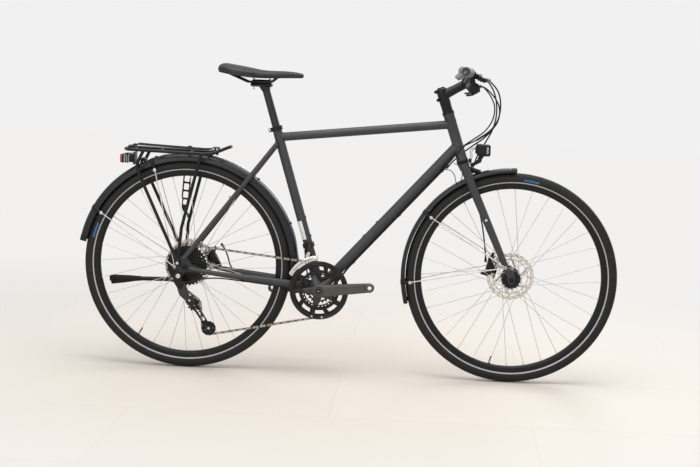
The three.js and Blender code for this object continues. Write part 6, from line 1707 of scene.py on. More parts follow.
# %% Chain links
def waisted(length, height):
    """A link plate's outline: two round ends and a waist between them."""
    half = height / 2
    back = [spot(half, math.pi / 2 + math.pi * k / 5) for k in range(6)]
    front = [spot(half, -math.pi / 2 + math.pi * k / 5) for k in range(6)]
    waist = half * 0.68
    return back + [(length / 2, -waist)] + [(length + x, z) for x, z in front] + [(length / 2, waist)]


def link_plate(y, height):
    loop = waisted(link_pitch, height)
    shape = bmesh.new()
    verts = [shape.verts.new((x / 1000, (y - 0.42) / 1000, z / 1000)) for x, z in loop]
    face = shape.faces.new(verts)
    grown = bmesh.ops.extrude_face_region(shape, geom=[face])["geom"]
    bmesh.ops.translate(
        shape, vec=(0, 0.00084, 0), verts=[g for g in grown if isinstance(g, bmesh.types.BMVert)]
    )
    bmesh.ops.recalc_face_normals(shape, faces=shape.faces)
    return shape


def pin(x, half, radius, sides):
    return tube([Vector((x, -half, 0)) / 1000, Vector((x, half, 0)) / 1000], radius, sides)


outer_link = joined(
    link_plate(-2.75, 8.2), link_plate(2.75, 8.2), pin(0, 3.3, 1.8, 8), pin(link_pitch, 3.3, 1.8, 8)
)
inner_link = joined(
    link_plate(-1.75, 7.8), link_plate(1.75, 7.8), pin(0, 1.4, 3.85, 10), pin(link_pitch, 1.4, 3.85, 10)
)


def repeated(shape, places):
    """Many copies of one shape, each at its own matrix."""
    mesh = bpy.data.meshes.new("one")
    shape.to_mesh(mesh)
    shape.free()
    total = bmesh.new()
    for matrix in places:
        copy = mesh.copy()
        copy.transform(matrix)
        total.from_mesh(copy)
        bpy.data.meshes.remove(copy)
    bpy.data.meshes.remove(mesh)
    return total


def link_matrix(index):
    a, b = chain_place(index * link_pitch), chain_place((index + 1) * link_pitch)
    x = (b - a).normalized()
    z = x.cross(ACROSS).normalized()
    y = z.cross(x)
    return Matrix.Translation(a) @ Matrix((x, y, z)).transposed().to_4x4()


piece(
    "chain_outer_links", repeated(outer_link, [link_matrix(i) for i in range(0, link_count, 2)]), chain_steel,
    "frame", ["chain"], smooth_angle=40
)
# The inner links take the darker steel as painted shade between the outer plates.
piece(
    "chain_inner_links", repeated(inner_link, [link_matrix(i) for i in range(1, link_count, 2)]), chain_inner_shade,
    "frame", smooth_angle=40
)
print("chain laid with", link_count, "links")

# %% [markdown]
# The rear derailleur is a parallelogram: a body bolted to the hanger, a link that swings in and out, a
# knuckle that hangs below it and the cage with its two small toothed wheels. Each part rides on its own body,
# so the real joints can move them.

# %% Rear derailleur
HANGER_BOLT = at(-18.5, -77.8, 320.7)
LINK_TOP, LINK_FOOT = at(-13, -66, 287), at(9, -51, 243)
KNUCKLE = at(14.7, 0, 234)
barrel_way = Vector((0.894, 0, 0.447)).normalized()

mount_loop = around([(-3, 3, 9.0), (0, 0, 11.5), (-9, -16, 8.0), (5.5, -33.7, 10.5)], 9)
mount = joined(
    plate([mount_loop], 8.6, side_plane(HANGER_BOLT), bevel=2.4),
    turned(
        with_y(HANGER_BOLT, -73.2), (0, -1, 0),
        [(0, 0), (0, 11.0), (8.2, 11.0), (9.4, 10.2), (9.6, 9.4), (9.6, 0)], 32
    ),
    rod(with_y(LINK_TOP, -66) - barrel_way * 0.0105, with_y(LINK_TOP, -66) + barrel_way * 0.0105, 4.8, 20),
    tube([at(-13, -75, 289), at(-13, -66, 287)], 4.4, 18),
    turned(
        at(-30, -76, 306), Vector((-0.9, 0, -0.42)),
        [(-6, 0), (-6, 4.8), (3, 4.8), (4.0, 4.2), (10, 3.6), (12, 3.4), (12, 0)], 20
    ),
)
piece("derailleur_body", mount, satin_black, "frame", ["derailleur_mount"], smooth_angle=38)
piece(
    "derailleur_mount_bolt", bolt(with_y(HANGER_BOLT, -82.6), (0, -1, 0), 7.6, 2.4, socket=0.5), bright_steel,
    "frame"
)

link_span = LINK_FOOT - LINK_TOP
link_shape = []
for sign in (1, -1):
    offset = barrel_way * sign * 0.0058
    link_shape.append(tube(
        [
            LINK_TOP + offset - link_span.normalized() * 0.004, LINK_TOP + offset + link_span * 0.5,
            LINK_FOOT + offset + link_span.normalized() * 0.004
        ],
        [(0, 6.0), (0.5, 7.4), (1, 6.0)], 20, side=barrel_way, flatten=0.42
    ))
link_shape.append(tube(
    [LINK_TOP + link_span * 0.16, LINK_TOP + link_span * 0.84], 5.2, 14, side=barrel_way, flatten=0.9
))
cover_way = Vector((0, -1, 0)) - link_span.normalized() * Vector((0, -1, 0)).dot(link_span.normalized())
cover_middle = LINK_TOP.lerp(LINK_FOOT, 0.5) + cover_way.normalized() * 0.0062
cover_lay = Matrix.Translation(cover_middle) @ frame_of(cover_way, link_span)
link_cover = joined(
    plate([around([(-17, 2, 16.0), (0, -2, 15.5), (20, 0, 11.5)], 12)], 7.0, cover_lay, bevel=2.6),
    plate([around([(-15, 5, 9.0), (12, 0, 6.5)], 10)], 9.4, cover_lay, bevel=1.6),
)
piece("derailleur_link_cover", link_cover, hanger_grey, "derailleur_link", smooth_angle=38)
link_shape.append(rod(LINK_FOOT - barrel_way * 0.0088, LINK_FOOT + barrel_way * 0.0088, 6.0, 20))
piece(
    "derailleur_link_arms", joined(*link_shape), matte_plastic, "derailleur_link",
    ["derailleur_link"], smooth_angle=38
)
link_pins = [
    rod(p - barrel_way * 0.0094, p + barrel_way * 0.0094, 2.4, 12)
    for p in (LINK_TOP.lerp(LINK_FOOT, 0.02), LINK_TOP.lerp(LINK_FOOT, 0.98))
]
piece("derailleur_link_pins", joined(*link_pins), bright_steel, "derailleur_link")
knuckle = turned(
    with_y(KNUCKLE, -33.5), (0, -1, 0),
    [(0, 0), (0, 11.6), (0.8, 12.2), (7.6, 12.2), (10.0, 11.0), (10.9, 8.6), (10.9, 0)], 32
)
knuckle_shell = plate(
    [around([(0, -1, 15.0), (9, -7, 12.0)], 12)], 8.6, side_plane(KNUCKLE, -39.4), bevel=3.0
)
piece(
    "derailleur_knuckle_barrel", joined(knuckle, knuckle_shell), black_alloy, "derailleur_knuckle",
    ["derailleur_knuckle"]
)
piece(
    "derailleur_knuckle_bolt", bolt(with_y(KNUCKLE, -44.2), (0, -1, 0), 4.0, 1.4), bright_steel,
    "derailleur_knuckle"
)
print("derailleur link", round(link_span.length * 1000), "mm long")

# %% [markdown]
# The cage is two plates, each with three windows between the pulleys and small holes round the lower one.

# %% Derailleur cage and pulleys
def cage_plate(y, thickness, tension_radius):
    a = ((GUIDE.x - KNUCKLE.x) * 1000, (GUIDE.z - KNUCKLE.z) * 1000)
    b = ((TENSION.x - KNUCKLE.x) * 1000, (TENSION.z - KNUCKLE.z) * 1000)
    wx, wz = b[0] - a[0], b[1] - a[1]
    upper = plate(
        [around([(0, 0, 12.5), (a[0], a[1], 12.5)], 12), circle(a[0], a[1], 3.0, 14)], thickness,
        side_plane(KNUCKLE, y), bevel=0.25
    )
    windows = []
    for start, end, low, high in ((0.17, 0.28, 5.4, 4.6), (0.35, 0.45, 4.6, 5.0), (0.53, 0.62, 5.2, 6.2)):
        windows.append(around(
            [(a[0] + wx * start, a[1] + wz * start, low), (a[0] + wx * end, a[1] + wz * end, high)], 5
        )[::-1])
    for k in range(7):
        x, z = spot(12.6, TURN * k / 7)
        windows.append(circle(b[0] + x, b[1] + z, 2.2, 10))
    length = math.hypot(wx, wz)
    ux, uz = wx / length, wz / length
    side_points = ((0.0, 9.5), (0.25, 9.3), (0.5, 8.6), (0.66, 8.4))
    edge = [(share * length, half) for share, half in side_points]
    swing = math.acos(-(length * 0.3) / max(length * 0.3, tension_radius) * 0.9)
    for k in range(13):
        angle = swing * (1 - k / 6.0)
        edge.append((length + tension_radius * math.cos(angle), tension_radius * math.sin(angle)))
    edge += [(share * length, -half) for share, half in reversed(side_points)]
    outline = [(a[0] + ux * s - uz * t, a[1] + uz * s + ux * t) for s, t in edge][::-1]
    lower = plate(
        [outline, circle(b[0], b[1], 3.0, 14)] + windows, thickness, side_plane(KNUCKLE, y - 0.05), bevel=0.25
    )
    return joined(upper, lower)


piece(
    "derailleur_cage_plates", joined(cage_plate(-21.6, 1.4, 14.0), cage_plate(-32.4, 1.6, 24.5)), satin_black,
    "derailleur_cage", ["derailleur_cage"], smooth_angle=34
)
cage_bolts = [bolt(with_y(p, -33.0), (0, -1, 0), 4.4, 2.0) for p in (GUIDE, TENSION)]
cage_bolts += [drum(with_y(p, CHAIN_LINE), ACROSS, -6.0, 6.4, 2.8, 0.4, 14) for p in (GUIDE, TENSION)]
piece("derailleur_cage_bolts", joined(*cage_bolts), bright_steel, "derailleur_cage")


def pulley(center):
    holes = [circle(*spot(12.2, TURN * k / 5), 3.1, 12) for k in range(5)]
    loops = [teeth_outline(PULLEY_TEETH, 1.6), circle(0, 0, 3.2, 16)] + holes
    wheel = plate(loops, 4.0, side_plane(center), bevel=0.5)
    return joined(wheel, ring(center, ACROSS, -3.4, 3.4, 3.2, 6.4, 0.5, 24))


piece(
    "guide_pulley_wheel", pulley(GUIDE), matte_plastic, "guide_pulley", ["guide_pulley"],
    smooth_angle=34
)
piece(
    "tension_pulley_wheel", pulley(TENSION), matte_plastic, "tension_pulley",
    ["tension_pulley"], smooth_angle=34
)
print("pulleys", round((TENSION - GUIDE).length * 1000), "mm apart")

# %% [markdown]
# The front derailleur hangs from a band on the seat tube: a black link and a bright cage, two arched plates
# that the chain passes between, joined by a bridge at the rear end.

# %% Front derailleur
band = joined(
    turned(
        up_seat_tube(142), SEAT_WAY,
        [(0, 15.6), (0, 19.0), (0.8, 19.8), (15.2, 19.8), (16.0, 19.0), (16.0, 15.6)], 40, closed=True
    ),
    block(
        up_seat_tube(150) + Vector((0.0, -0.0225, 0)), (24, 9, 19), 2.0,
        turn=Matrix.Rotation(math.radians(-SEAT_LEAN), 4, "Y")
    ),
    block(at(411, -27.2, 441), (25, 8.0, 10.5), 2.4),
)
piece(
    "front_derailleur_band", band, satin_black, "frame", ["front_derailleur_clamp"],
    smooth_angle=38
)
front_link = tube(
    [at(412, -27, 443), at(412, -36, 429), at(412, -45, 415)], [(0, 9.0), (0.5, 8.0), (1, 8.0)], 16,
    side=FORWARD, flatten=1.15
)
piece(
    "front_derailleur_arm", front_link, matte_plastic, "front_derailleur_link",
    ["front_derailleur_link"]
)


def arc_band(outer, outer_sweep, inner, inner_sweep):
    """The outline of part of a flat ring, out along one arc and back along the other."""
    rim = [spot(outer, math.radians(a)) for a in outer_sweep]
    return rim + [spot(inner, math.radians(a)) for a in inner_sweep]


def cage_arc(y, outer, slots=()):
    low, high = 94, 154
    loop = arc_band(outer, range(low, high + 1, 3), 100.5, range(high, low - 1, -3))
    holes = [
        arc_band(b, range(low + 9, high - 8, 3), a, range(high - 11, low + 8, -3))[::-1] for a, b in slots
    ]
    return plate([loop] + holes, 1.2, side_plane(BOTTOM_BRACKET, y), bevel=0.35)


front_cage = joined(
    cage_arc(-55.5, 111.5, [(104.6, 107.8)]),
    cage_arc(-41.3, 115),
    *[
        block(
            polar(BOTTOM_BRACKET, 110.2, angle, -48.4), (12, 14.6, 2.2), 0.6,
            turn=Matrix.Rotation(math.radians(90 - angle), 4, "Y")
        )
        for angle in (97.5, 150.5)
    ],
    tube([at(412, -44, 418), at(410, -42.2, 408), at(409, -41.4, 398)], 5.6, 14, side=ACROSS, flatten=0.4),
)
piece(
    "front_derailleur_plates", front_cage, bright_steel, "front_derailleur_cage",
    ["front_derailleur_cage"], smooth_angle=34
)
print("front derailleur made")

# %% [markdown]
# ## The cockpit
# Each end of the bar carries an ergonomic grip with a palm wing, a brake cylinder with its lever, and a
# shifter pod below the bar. They come in left and right pairs, so each is shaped once on the left and
# mirrored.

# %% Grips
PAIR = (("left", 1), ("right", -1))


def on_side(shape, side):
    """The shape as it was made for the left, or its mirror image for the right."""
    if side > 0:
        return shape
    twin = mirrored(shape)
    shape.free()
    return twin


def bar_at(y):
    """The bar's centre line at a distance to the side."""
    for a, b in zip(half_bar, half_bar[1:]):
        if a.y * 1000 <= y <= b.y * 1000:
            return a.lerp(b, (y / 1000 - a.y) / max(1e-9, b.y - a.y))
    return half_bar[-1].copy()


def grip(side):
    inner_end, outer_end = bar_at(179), Vector(bar_end) + (bar_end - bar_at(250)).normalized() * 0.002
    way = (outer_end - inner_end).normalized()
    steps = 30
    ribs = []
    for k in range(steps + 1):
        ribs.append((
            k / steps, 15.4 - (0.5 if k % 2 and 3 < k < 27 else 0) - (1.6 if k in (0, steps) else 0)
        ))
    sleeve = tube([inner_end.lerp(outer_end, k / steps) for k in range(steps + 1)], ribs, 36)
    wing_loop = [
        (-4, 0), (4, -8), (20, -20), (44, -31), (70, -37), (96, -38), (118, -34), (129, -24), (132, -10),
        (131, 4), (126, 10), (60, 9), (0, 7)
    ]
    flat = smooth_path([Vector((x, y, 0)) for x, y in wing_loop + wing_loop[:1]], 4)[:-1]
    wing = plate([[(p.x, p.y) for p in flat]], 8.6, Matrix.Identity(4), bevel=3.0)
    x_way = way
    y_way = (FORWARD - x_way * x_way.x + Vector((0, 0, 0.80))).normalized()
    y_way = (y_way - x_way * x_way.dot(y_way)).normalized()
    z_way = x_way.cross(y_way)
    lay = Matrix.Translation(inner_end + z_way * 0.001) @ Matrix((x_way, y_way, z_way)).transposed().to_4x4()
    bmesh.ops.transform(wing, matrix=lay, verts=wing.verts)
    return on_side(joined(sleeve, wing), side)


def grip_end(side):
    tip = Vector(bar_end) + Vector((0, 0.0022, 0))
    cap = turned(
        tip, (bar_end - bar_at(250)), [(0, 0), (0, 13.2), (0.9, 12.6), (0.9, 7.4), (0.2, 6.6), (0.2, 0)], 30
    )
    return on_side(cap, side)


for name, side in PAIR:
    piece(
        f"grip_{name}_sleeve", grip(side), grip_rubber, "steering", [f"grip_{name}"],
        smooth_angle=44
    )
    piece(f"grip_{name}_cap", grip_end(side), grip_grey, "steering")
    collar_ring = turned(
        bar_at(176), (bar_at(190) - bar_at(170)),
        [(-3.4, 11.0), (-3.4, 15.2), (-2.8, 15.8), (2.4, 15.8), (3.0, 15.2), (3.0, 11.0)], 32, closed=True
    )
    piece(f"grip_{name}_clamp", on_side(collar_ring, side), satin_black, "steering")
print("grips made")

# %% [markdown]
# The brake body is a slim hydraulic cylinder on a clamp, with a lid held by two screws. Its lever blade is a
# curved forging that reaches out under the finger and ends in a small ball.

# %% Brake bodies and levers
def brake_body(side):
    cylinder = tube(
        [
            at(946, 117.6, 1011.5), at(946, 120, 1011.6), at(946, 150, 1012), at(947, 176, 1012),
            at(948, 186, 1011.4)
        ],
        [(0, 6.0), (0.05, 7.6), (0.3, 9.0), (0.8, 9.0), (0.97, 7.6), (1, 6.0)], 26
    )
    lid = block(at(946.5, 148, 1018.6), (16.5, 46, 7.5), 2.6)
    clamp = turned(
        bar_at(150), (bar_at(160) - bar_at(140)),
        [(-7, 11.2), (-7, 14.6), (-6, 15.6), (6, 15.6), (7, 14.6), (7, 11.2)], 32, closed=True
    )
    neck = tube(
        [bar_at(150) + Vector((0.010, 0, 0.002)), at(936, 150, 1008)], [(0, 8.0), (1, 8.0)], 16, side=ACROSS,
        flatten=0.8
    )
    pivot = joined(
        block(at(957.0, 150, 1004.5), (17, 22, 12), 2.6),
        rod(at(961.5, 150, 996), at(961.5, 150, 1010.5), 3.2, 14)
    )
    return on_side(joined(cylinder, lid, clamp, neck, pivot), side)


def brake_lever(side):
    points = [
        at(961.5, 141, 1003), at(962.5, 152, 1003), at(971, 176, 1004.2), at(976, 205, 1005),
        at(973, 238, 1005.4), at(967, 262, 1006), at(966, 273, 1006)
    ]
    blade = tube(
        smooth_path(points, 6),
        [(0, 5.6), (0.1, 6.2), (0.3, 5.4), (0.8, 4.6), (0.93, 4.2), (0.965, 5.2), (1, 4.0)], 18, side=UP,
        flatten=[(0, 0.9), (0.25, 1.25), (0.85, 1.3), (0.95, 1.0), (1, 1.0)]
    )
    return on_side(blade, side)


def side_of(place, side):
    place = Vector(place)
    place.y *= side
    return place


for name, side in PAIR:
    piece(
        f"brake_body_{name}_housing", brake_body(side), satin_black, "steering",
        [f"brake_body_{name}"], smooth_angle=42
    )
    piece(
        f"brake_lever_{name}_blade", brake_lever(side), black_alloy, f"brake_lever_{name}",
        [f"brake_lever_{name}"], smooth_angle=50
    )
    screws = [bolt(side_of(at(946.5, y, 1022.2), side), UP, 2.2, 1.0, sides=12) for y in (131, 165)]
    screws.append(bolt(side_of(at(961.5, 150, 1010.3), side), UP, 3.0, 1.2, sides=14))
    piece(f"brake_screws_{name}", joined(*screws), bright_steel, "steering")
print("brake bodies and levers made")

# %% [markdown]
# The shifter pod is a faceted moulding under the bar with a round cover, two screws and a thumb lever.

# %% Shifters
def shifter_pod(side):
    center = at(931, 145, 977)
    body = turned(
        with_y(center, 124.5), ACROSS,
        [
            (0, 0), (0, 13.5), (3.0, 17.2), (8, 18.6), (26, 18.9), (36, 17.4), (40.5, 13.0), (41.4, 8),
            (41.4, 0)
        ],
        40
    )
    neck = tube([bar_at(160) + Vector((0.004, 0, -0.011)), at(928, 152, 986)], [(0, 8.5), (1, 10)], 18)
    clamp = turned(
        bar_at(166), (bar_at(170) - bar_at(160)),
        [(-4.5, 11.2), (-4.5, 14.2), (-3.8, 14.9), (3.8, 14.9), (4.5, 14.2), (4.5, 11.2)], 32, closed=True
    )
    barrel = turned(
        at(943, 124.8, 984), (0.1, -1, 0),
        [(-6, 0), (-6, 5.4), (2.0, 5.4), (2.6, 4.6), (8.0, 4.4), (9.0, 3.6), (9.0, 0)], 18
    )
    return on_side(joined(body, neck, clamp, barrel), side)


def thumb_lever(side):
    arm = tube(
        smooth_path([at(931, 146, 959.5), at(925, 148, 957), at(916, 153, 955), at(908, 158, 954.5)], 6),
        [(0, 5.2), (0.4, 4.4), (0.75, 5.4), (1, 4.2)], 18, side=UP, flatten=[(0, 0.8), (1, 0.62)]
    )
    return on_side(arm, side)


for name, side in PAIR:
    piece(
        f"shifter_{name}_pod", shifter_pod(side), matte_plastic, "steering",
        [f"shifter_{name}"], smooth_angle=42
    )
    piece(
        f"shift_lever_{name}_paddle", thumb_lever(side), black_alloy, f"shift_lever_{name}",
        [f"shift_lever_{name}"], smooth_angle=50
    )
    cover = turned(
        side_of(at(949.2, 146, 977), side), (1, 0, 0),
        [(-3, 0), (-3, 11.5), (0.2, 11.5), (1.0, 10.5), (1.0, 8.8), (0.6, 8.2), (0.6, 0)], 28
    )
    piece(f"shifter_{name}_cover", cover, guard_plastic, "steering")
    screws = [bolt(side_of(at(943, y, 988.4), side), (0.55, 0, 0.85), 2.3, 1.0, sides=12) for y in (134, 158)]
    piece(f"shifter_{name}_screws", joined(*screws), bright_steel, "steering")
print("shifters made")

# %% [markdown]
# ## Brake calipers
# Each caliper is two halves of a forged block with rounded shoulders, on a flat mounting bar, with a round
# piston cover on each side, a hose union and its bolts. It is shaped lying flat and then turned to its place.

# %% Calipers
def caliper(center, turn_degrees, body, node, name):
    lay = Matrix.Translation(center) @ Matrix.Rotation(math.radians(-turn_degrees), 4, "Y")
    halves = [
        block(Vector((0, 0.0085, 0)), (46, 13.5, 29), 4.2, segments=4),
        block(Vector((0, -0.0085, 0)), (46, 13.5, 29), 4.2, segments=4),
        block(Vector((0, 0, 0.0095)), (44, 30, 8), 2.4),
        block(Vector((0.002, 0.0125, -0.019)), (62, 7, 11), 2.4),
        block(Vector((-0.024, 0, 0.013)), (13, 13, 28), 3.4),
        block(Vector((0.030, 0, 0.006)), (20, 14, 20), 4.0),
        rod(Vector((0.036, -0.002, 0.007)), Vector((0.052, -0.003, 0.004)), 4.6, 16),
        rod(Vector((-0.034, 0.0125, -0.019)), Vector((0.034, 0.0125, -0.019)), 4.6, 18),
        drum(Vector((0.004, 0.0145, -0.001)), (0, 1, 0), 0, 2.4, 11.5, 0.8, 28),
        drum(Vector((0.004, -0.0145, -0.001)), (0, -1, 0), 0, 2.4, 11.5, 0.8, 28),
        turned(
            Vector((-0.017, 0.0, 0.013)), (-0.5, 0, 1),
            [(-3, 0), (-3, 5.2), (3, 5.2), (4, 4.4), (9, 4.0), (9.6, 3.2), (9.6, 0)], 18
        ),
    ]
    shape = joined(*halves)
    bmesh.ops.transform(shape, matrix=lay, verts=shape.verts)
    piece(f"{name}_housing", shape, satin_black, body, [node], smooth_angle=40)
    bolts = [bolt(Vector((x, -8.5, -14.2)) / 1000, (0, 0, -1), 3.6, 2.4) for x in (-16, 16)]
    bolts += [bolt(Vector((x, -15.0, -9)) / 1000, (0, -1, 0), 3.2, 1.6) for x in (-17, 18)]
    fasteners = joined(*bolts)
    bmesh.ops.transform(fasteners, matrix=lay, verts=fasteners.verts)
    piece(f"{name}_bolts", fasteners, bright_steel, body)


REAR_INWARD = Vector((-0.0062, 0, -0.0033))
for end, turn_by, body, inward in (("rear", -62, "frame", REAR_INWARD), ("front", 76, "steering", Vector())):
    low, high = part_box(f"{end}_caliper")
    caliper((low + high) / 2 + inward, turn_by, body, f"{end}_caliper", f"{end}_brake_caliper")
print("calipers made")

# %% [markdown]
# ## Headlight
# A slim black box with a clear window stands on a small knuckle ahead of the crown. Its wires come later,
# with the other cables.

# %% Headlight
lamp_center = at(973, 0, 773)
housing = joined(
    block(lamp_center + Vector((0.003, 0, 0)), (44, 46, 38), 6.0, segments=5),
    block(at(960, 0, 774), (24, 34, 29), 7.0, segments=5)
)
ridge = block(at(966, 0, 791.0), (30, 38, 3.6), 1.6)
band_left = block(at(973, 0, 765), (50.8, 46.8, 2.2), 1.0)
knuckle_foot = joined(
    rod(at(963, -9.5, 738), at(963, 9.5, 738), 7.0, 22),
    tube(
        [at(963, 0, 741), at(966, 0, 748), at(970, 0, 757)], [(0, 8.0), (0.5, 7.0), (1, 9.5)], 18,
        side=ACROSS, flatten=1.1
    ),
    tube(
        [at(960, 0, 736), at(948, 0, 728), at(934, 0, 721)], [(0, 7.0), (0.5, 5.6), (1, 7.0)], 18,
        side=ACROSS, flatten=1.5
    ),
)
piece(
    "headlight_housing", joined(housing, ridge, band_left, knuckle_foot), matte_plastic, "steering",
    ["headlight"], smooth_angle=44
)
lens = joined(
    block(at(988.0, 0, 773.5), (9, 46.9, 25), 2.6, segments=4),
    block(at(995.0, 0, 773.5), (4.6, 38, 27), 1.8, segments=3)
)
piece("headlight_lens", lens, clear_lens, "steering", smooth_angle=60)
piece(
    "headlight_bolt",
    joined(bolt(at(963, -9.5, 738), (0, -1, 0), 4.2, 2.4), bolt(at(963, 9.5, 738), (0, 1, 0), 4.2, 2.4)),
    gloss_black, "steering"
)
print("headlight", round(lamp_center.z * 1000), "mm above the floor")

# %% [markdown]
# ## Mudguards
# A mudguard is a shallow channel rolled from one strip: flat across the crown with shoulders that turn down
# on each side. Its outline is spun round the axle only as far as the real blade reaches, with thickness from
# the outline.

# %% Mudguard blades
GUARD_HALF, GUARD_WALL = 26.5, 1.6
FRONT_DEPTH, REAR_DEPTH = 14.0, 24.5


def guard_outline(radius, depth):
    """The channel's closed outline: over the top from right to left, then back along the inside."""
    half_arch = [
        (0.2, 0.0), (0.45, -0.02), (0.7, -0.1), (0.84, -0.24), (0.93, -0.42), (0.985, -0.72), (1.0, -1.0)
    ]
    arch = [(-a, h) for a, h in reversed(half_arch)] + [(0.0, 0.0)] + half_arch
    top = [(a * GUARD_HALF, radius + h * depth) for a, h in arch]
    under = [(a * (GUARD_HALF - 1.3), radius - GUARD_WALL + h * (depth - 1.4)) for a, h in reversed(arch)]
    return top + under


def arc_part(center, outline, start_degrees, end_degrees, steps):
    """Spin a closed outline over part of a turn in the bicycle's plane, and close both ends."""
    shape = bmesh.new()
    verts = [shape.verts.new((r / 1000, a / 1000, 0)) for a, r in outline]
    edges = [shape.edges.new(pair) for pair in zip(verts, verts[1:] + verts[:1])]
    span = math.radians(end_degrees - start_degrees)
    bmesh.ops.spin(
        shape, geom=verts + edges, cent=(0, 0, 0), axis=(0, -1, 0), angle=span, steps=steps,
        use_duplicate=False
    )
    rims = [e for e in shape.edges if len(e.link_faces) == 1]
    bmesh.ops.holes_fill(shape, edges=rims, sides=0)
    bmesh.ops.rotate(
        shape, verts=shape.verts, cent=(0, 0, 0), matrix=Matrix.Rotation(-math.radians(start_degrees), 3, "Y")
    )
    bmesh.ops.recalc_face_normals(shape, faces=shape.faces)
    bmesh.ops.translate(shape, verts=shape.verts, vec=center)
    return shape


rear_blade = arc_part(REAR_AXLE, guard_outline(374.6, REAR_DEPTH), -4.3, 169.3, 110)
front_blade = arc_part(FRONT_AXLE, guard_outline(367, FRONT_DEPTH), 89.6, 195.8, 72)
piece(
    "rear_guard_blade", rear_blade, guard_plastic, "frame", ["rear_mudguard"],
    smooth_angle=50
)
piece(
    "front_guard_blade", front_blade, guard_plastic, "steering", ["front_mudguard"],
    smooth_angle=50
)
print("mudguards", 2 * GUARD_HALF, "mm wide")

# %% [markdown]
# A black cap closes each blade's tip, and small brackets tie the blades to the frame and the fork.

# %% Guard ends and brackets
def wrapped_guard(radius, depth, wider, over, narrower, under):
    """The guard's outline grown on the outside and on the inside, for what is clipped round it."""
    outline = guard_outline(radius, depth)
    outside = [(a * wider, r + over) for a, r in outline[:15]]
    return outside + [(a * narrower, r - under) for a, r in outline[15:]]


def guard_cap(center, radius, start, end, name, body):
    depth = REAR_DEPTH if body == "frame" else FRONT_DEPTH
    outline = wrapped_guard(radius, depth, 1.012, 0.5, 0.985, 0.5)
    piece(
        name, arc_part(center, outline, start, end, 4), matte_plastic, body, smooth_angle=50
    )


guard_cap(REAR_AXLE, 374.6, 166.6, 169.4, "rear_guard_tail", "frame")
guard_cap(REAR_AXLE, 374.6, -4.4, -2.4, "rear_guard_foot", "frame")
guard_cap(FRONT_AXLE, 366.6, 89.5, 92.4, "front_guard_nose", "steering")
guard_cap(FRONT_AXLE, 366.6, 193.6, 195.9, "front_guard_foot", "steering")
crown_tab = joined(
    tube(
        [polar(FRONT_AXLE, 368, 108.5, 0), at(918, 0, 712)], [(0, 8.0), (1, 9.0)], 18, side=ACROSS,
        flatten=1.2
    ),
    arc_part(FRONT_AXLE, [(-13, 367.2), (13, 367.2), (13, 368.6), (-13, 368.6)], 104, 113, 8),
)
bridge_tab = tube(
    [polar(REAR_AXLE, 374, -2.6, 0), polar(REAR_AXLE, 381, -6.8, 0)], [(0, 6.0), (1, 5.0)], 14, side=ACROSS,
    flatten=1.6
)
upper_tab_angle = math.degrees(math.atan2(bridge_place.z - REAR_AXLE.z, bridge_place.x - REAR_AXLE.x))
upper_tab = rod(polar(REAR_AXLE, 373, upper_tab_angle, 0), polar(REAR_AXLE, 379, upper_tab_angle, 0), 7.0, 18)
piece("front_guard_bracket", crown_tab, satin_black, "steering")
piece("rear_guard_brackets", joined(bridge_tab, upper_tab), satin_black, "frame")
print("upper bracket at", round(upper_tab_angle, 1), "degrees")

# %% [markdown]
# Four pairs of steel stays hold the blades. Each is one bright wire, bolted at the dropout and clipped over
# the guard with a black strap and a shining bolt on each side.

# %% Stays and their clips
CLIP_RADIUS = 335.0


def stay_pair(center, clip_degrees, foot):
    """Both wires of one stay, from the eyelet bolt up to the clip."""
    parts = []
    clip = polar(center, CLIP_RADIUS, clip_degrees, 27.8)
    foot_place = at(*foot)
    way = (foot_place - clip).normalized()
    wire = smooth_path([clip - way * 0.010, clip, clip.lerp(foot_place, 0.5), foot_place - way * 0.004], 6)
    parts.append(tube(wire, 1.75, 12))
    parts.append(turned(
        foot_place - ACROSS * 0.0022, ACROSS,
        [(0, 3.0), (0, 5.6), (0.6, 6.0), (2.6, 6.0), (3.2, 5.6), (3.2, 3.0)], 20, closed=True
    ))
    parts.append(drum(foot_place - ACROSS * 0.004, ACROSS, 0, 8.2, 3.0, 0.5, 16))
    return both_sides(joined(*parts))


def clip_strap(center, degrees, radius, depth):
    return arc_part(center, wrapped_guard(radius, depth, 1.03, 1.05, 0.97, 0.2), degrees - 1, degrees + 1, 3)


def clip_blocks(center, degrees, guard_edge):
    outer = polar(center, guard_edge, degrees, 27.6)
    inner = polar(center, CLIP_RADIUS - 2, degrees, 28.2)
    lug = tube(
        [outer + (outer - inner) * 0.15, inner.lerp(outer, 0.5), inner], [(0, 6.4), (0.5, 5.2), (1, 5.6)], 16,
        side=ACROSS, flatten=0.42
    )
    return both_sides(lug)


def clip_bolts(center, degrees):
    return both_sides(bolt(polar(center, CLIP_RADIUS, degrees, 30.0), ACROSS, 5.8, 3.2, socket=0.45))


REAR_STAYS = ((109.9, (-31, 78.4, 350)), (150.7, (-31, 78.4, 350)))
FRONT_STAYS = ((144.5, (1062, 74.9, 395)), (184.4, (1062, 74.9, 395)))
for name, center, body, stays_list, radius, depth in (
    ("rear", REAR_AXLE, "frame", REAR_STAYS, 375, REAR_DEPTH),
    ("front", FRONT_AXLE, "steering", FRONT_STAYS, 367, FRONT_DEPTH),
):
    wires = joined(*[stay_pair(center, angle, foot) for angle, foot in stays_list])
    piece(f"{name}_guard_stays", wires, spoke_steel, body, [f"{name}_mudguard_stays"])
    edge = radius - FRONT_DEPTH
    straps = [clip_strap(center, angle, radius, depth) for angle, _ in stays_list]
    straps += [clip_blocks(center, angle, edge) for angle, _ in stays_list]
    piece(f"{name}_guard_clips", joined(*straps), matte_plastic, body, smooth_angle=50)
    piece(
        f"{name}_guard_clip_bolts", joined(*[clip_bolts(center, angle) for angle, _ in stays_list]),
        bright_steel, body
    )
print("stays and clips made")

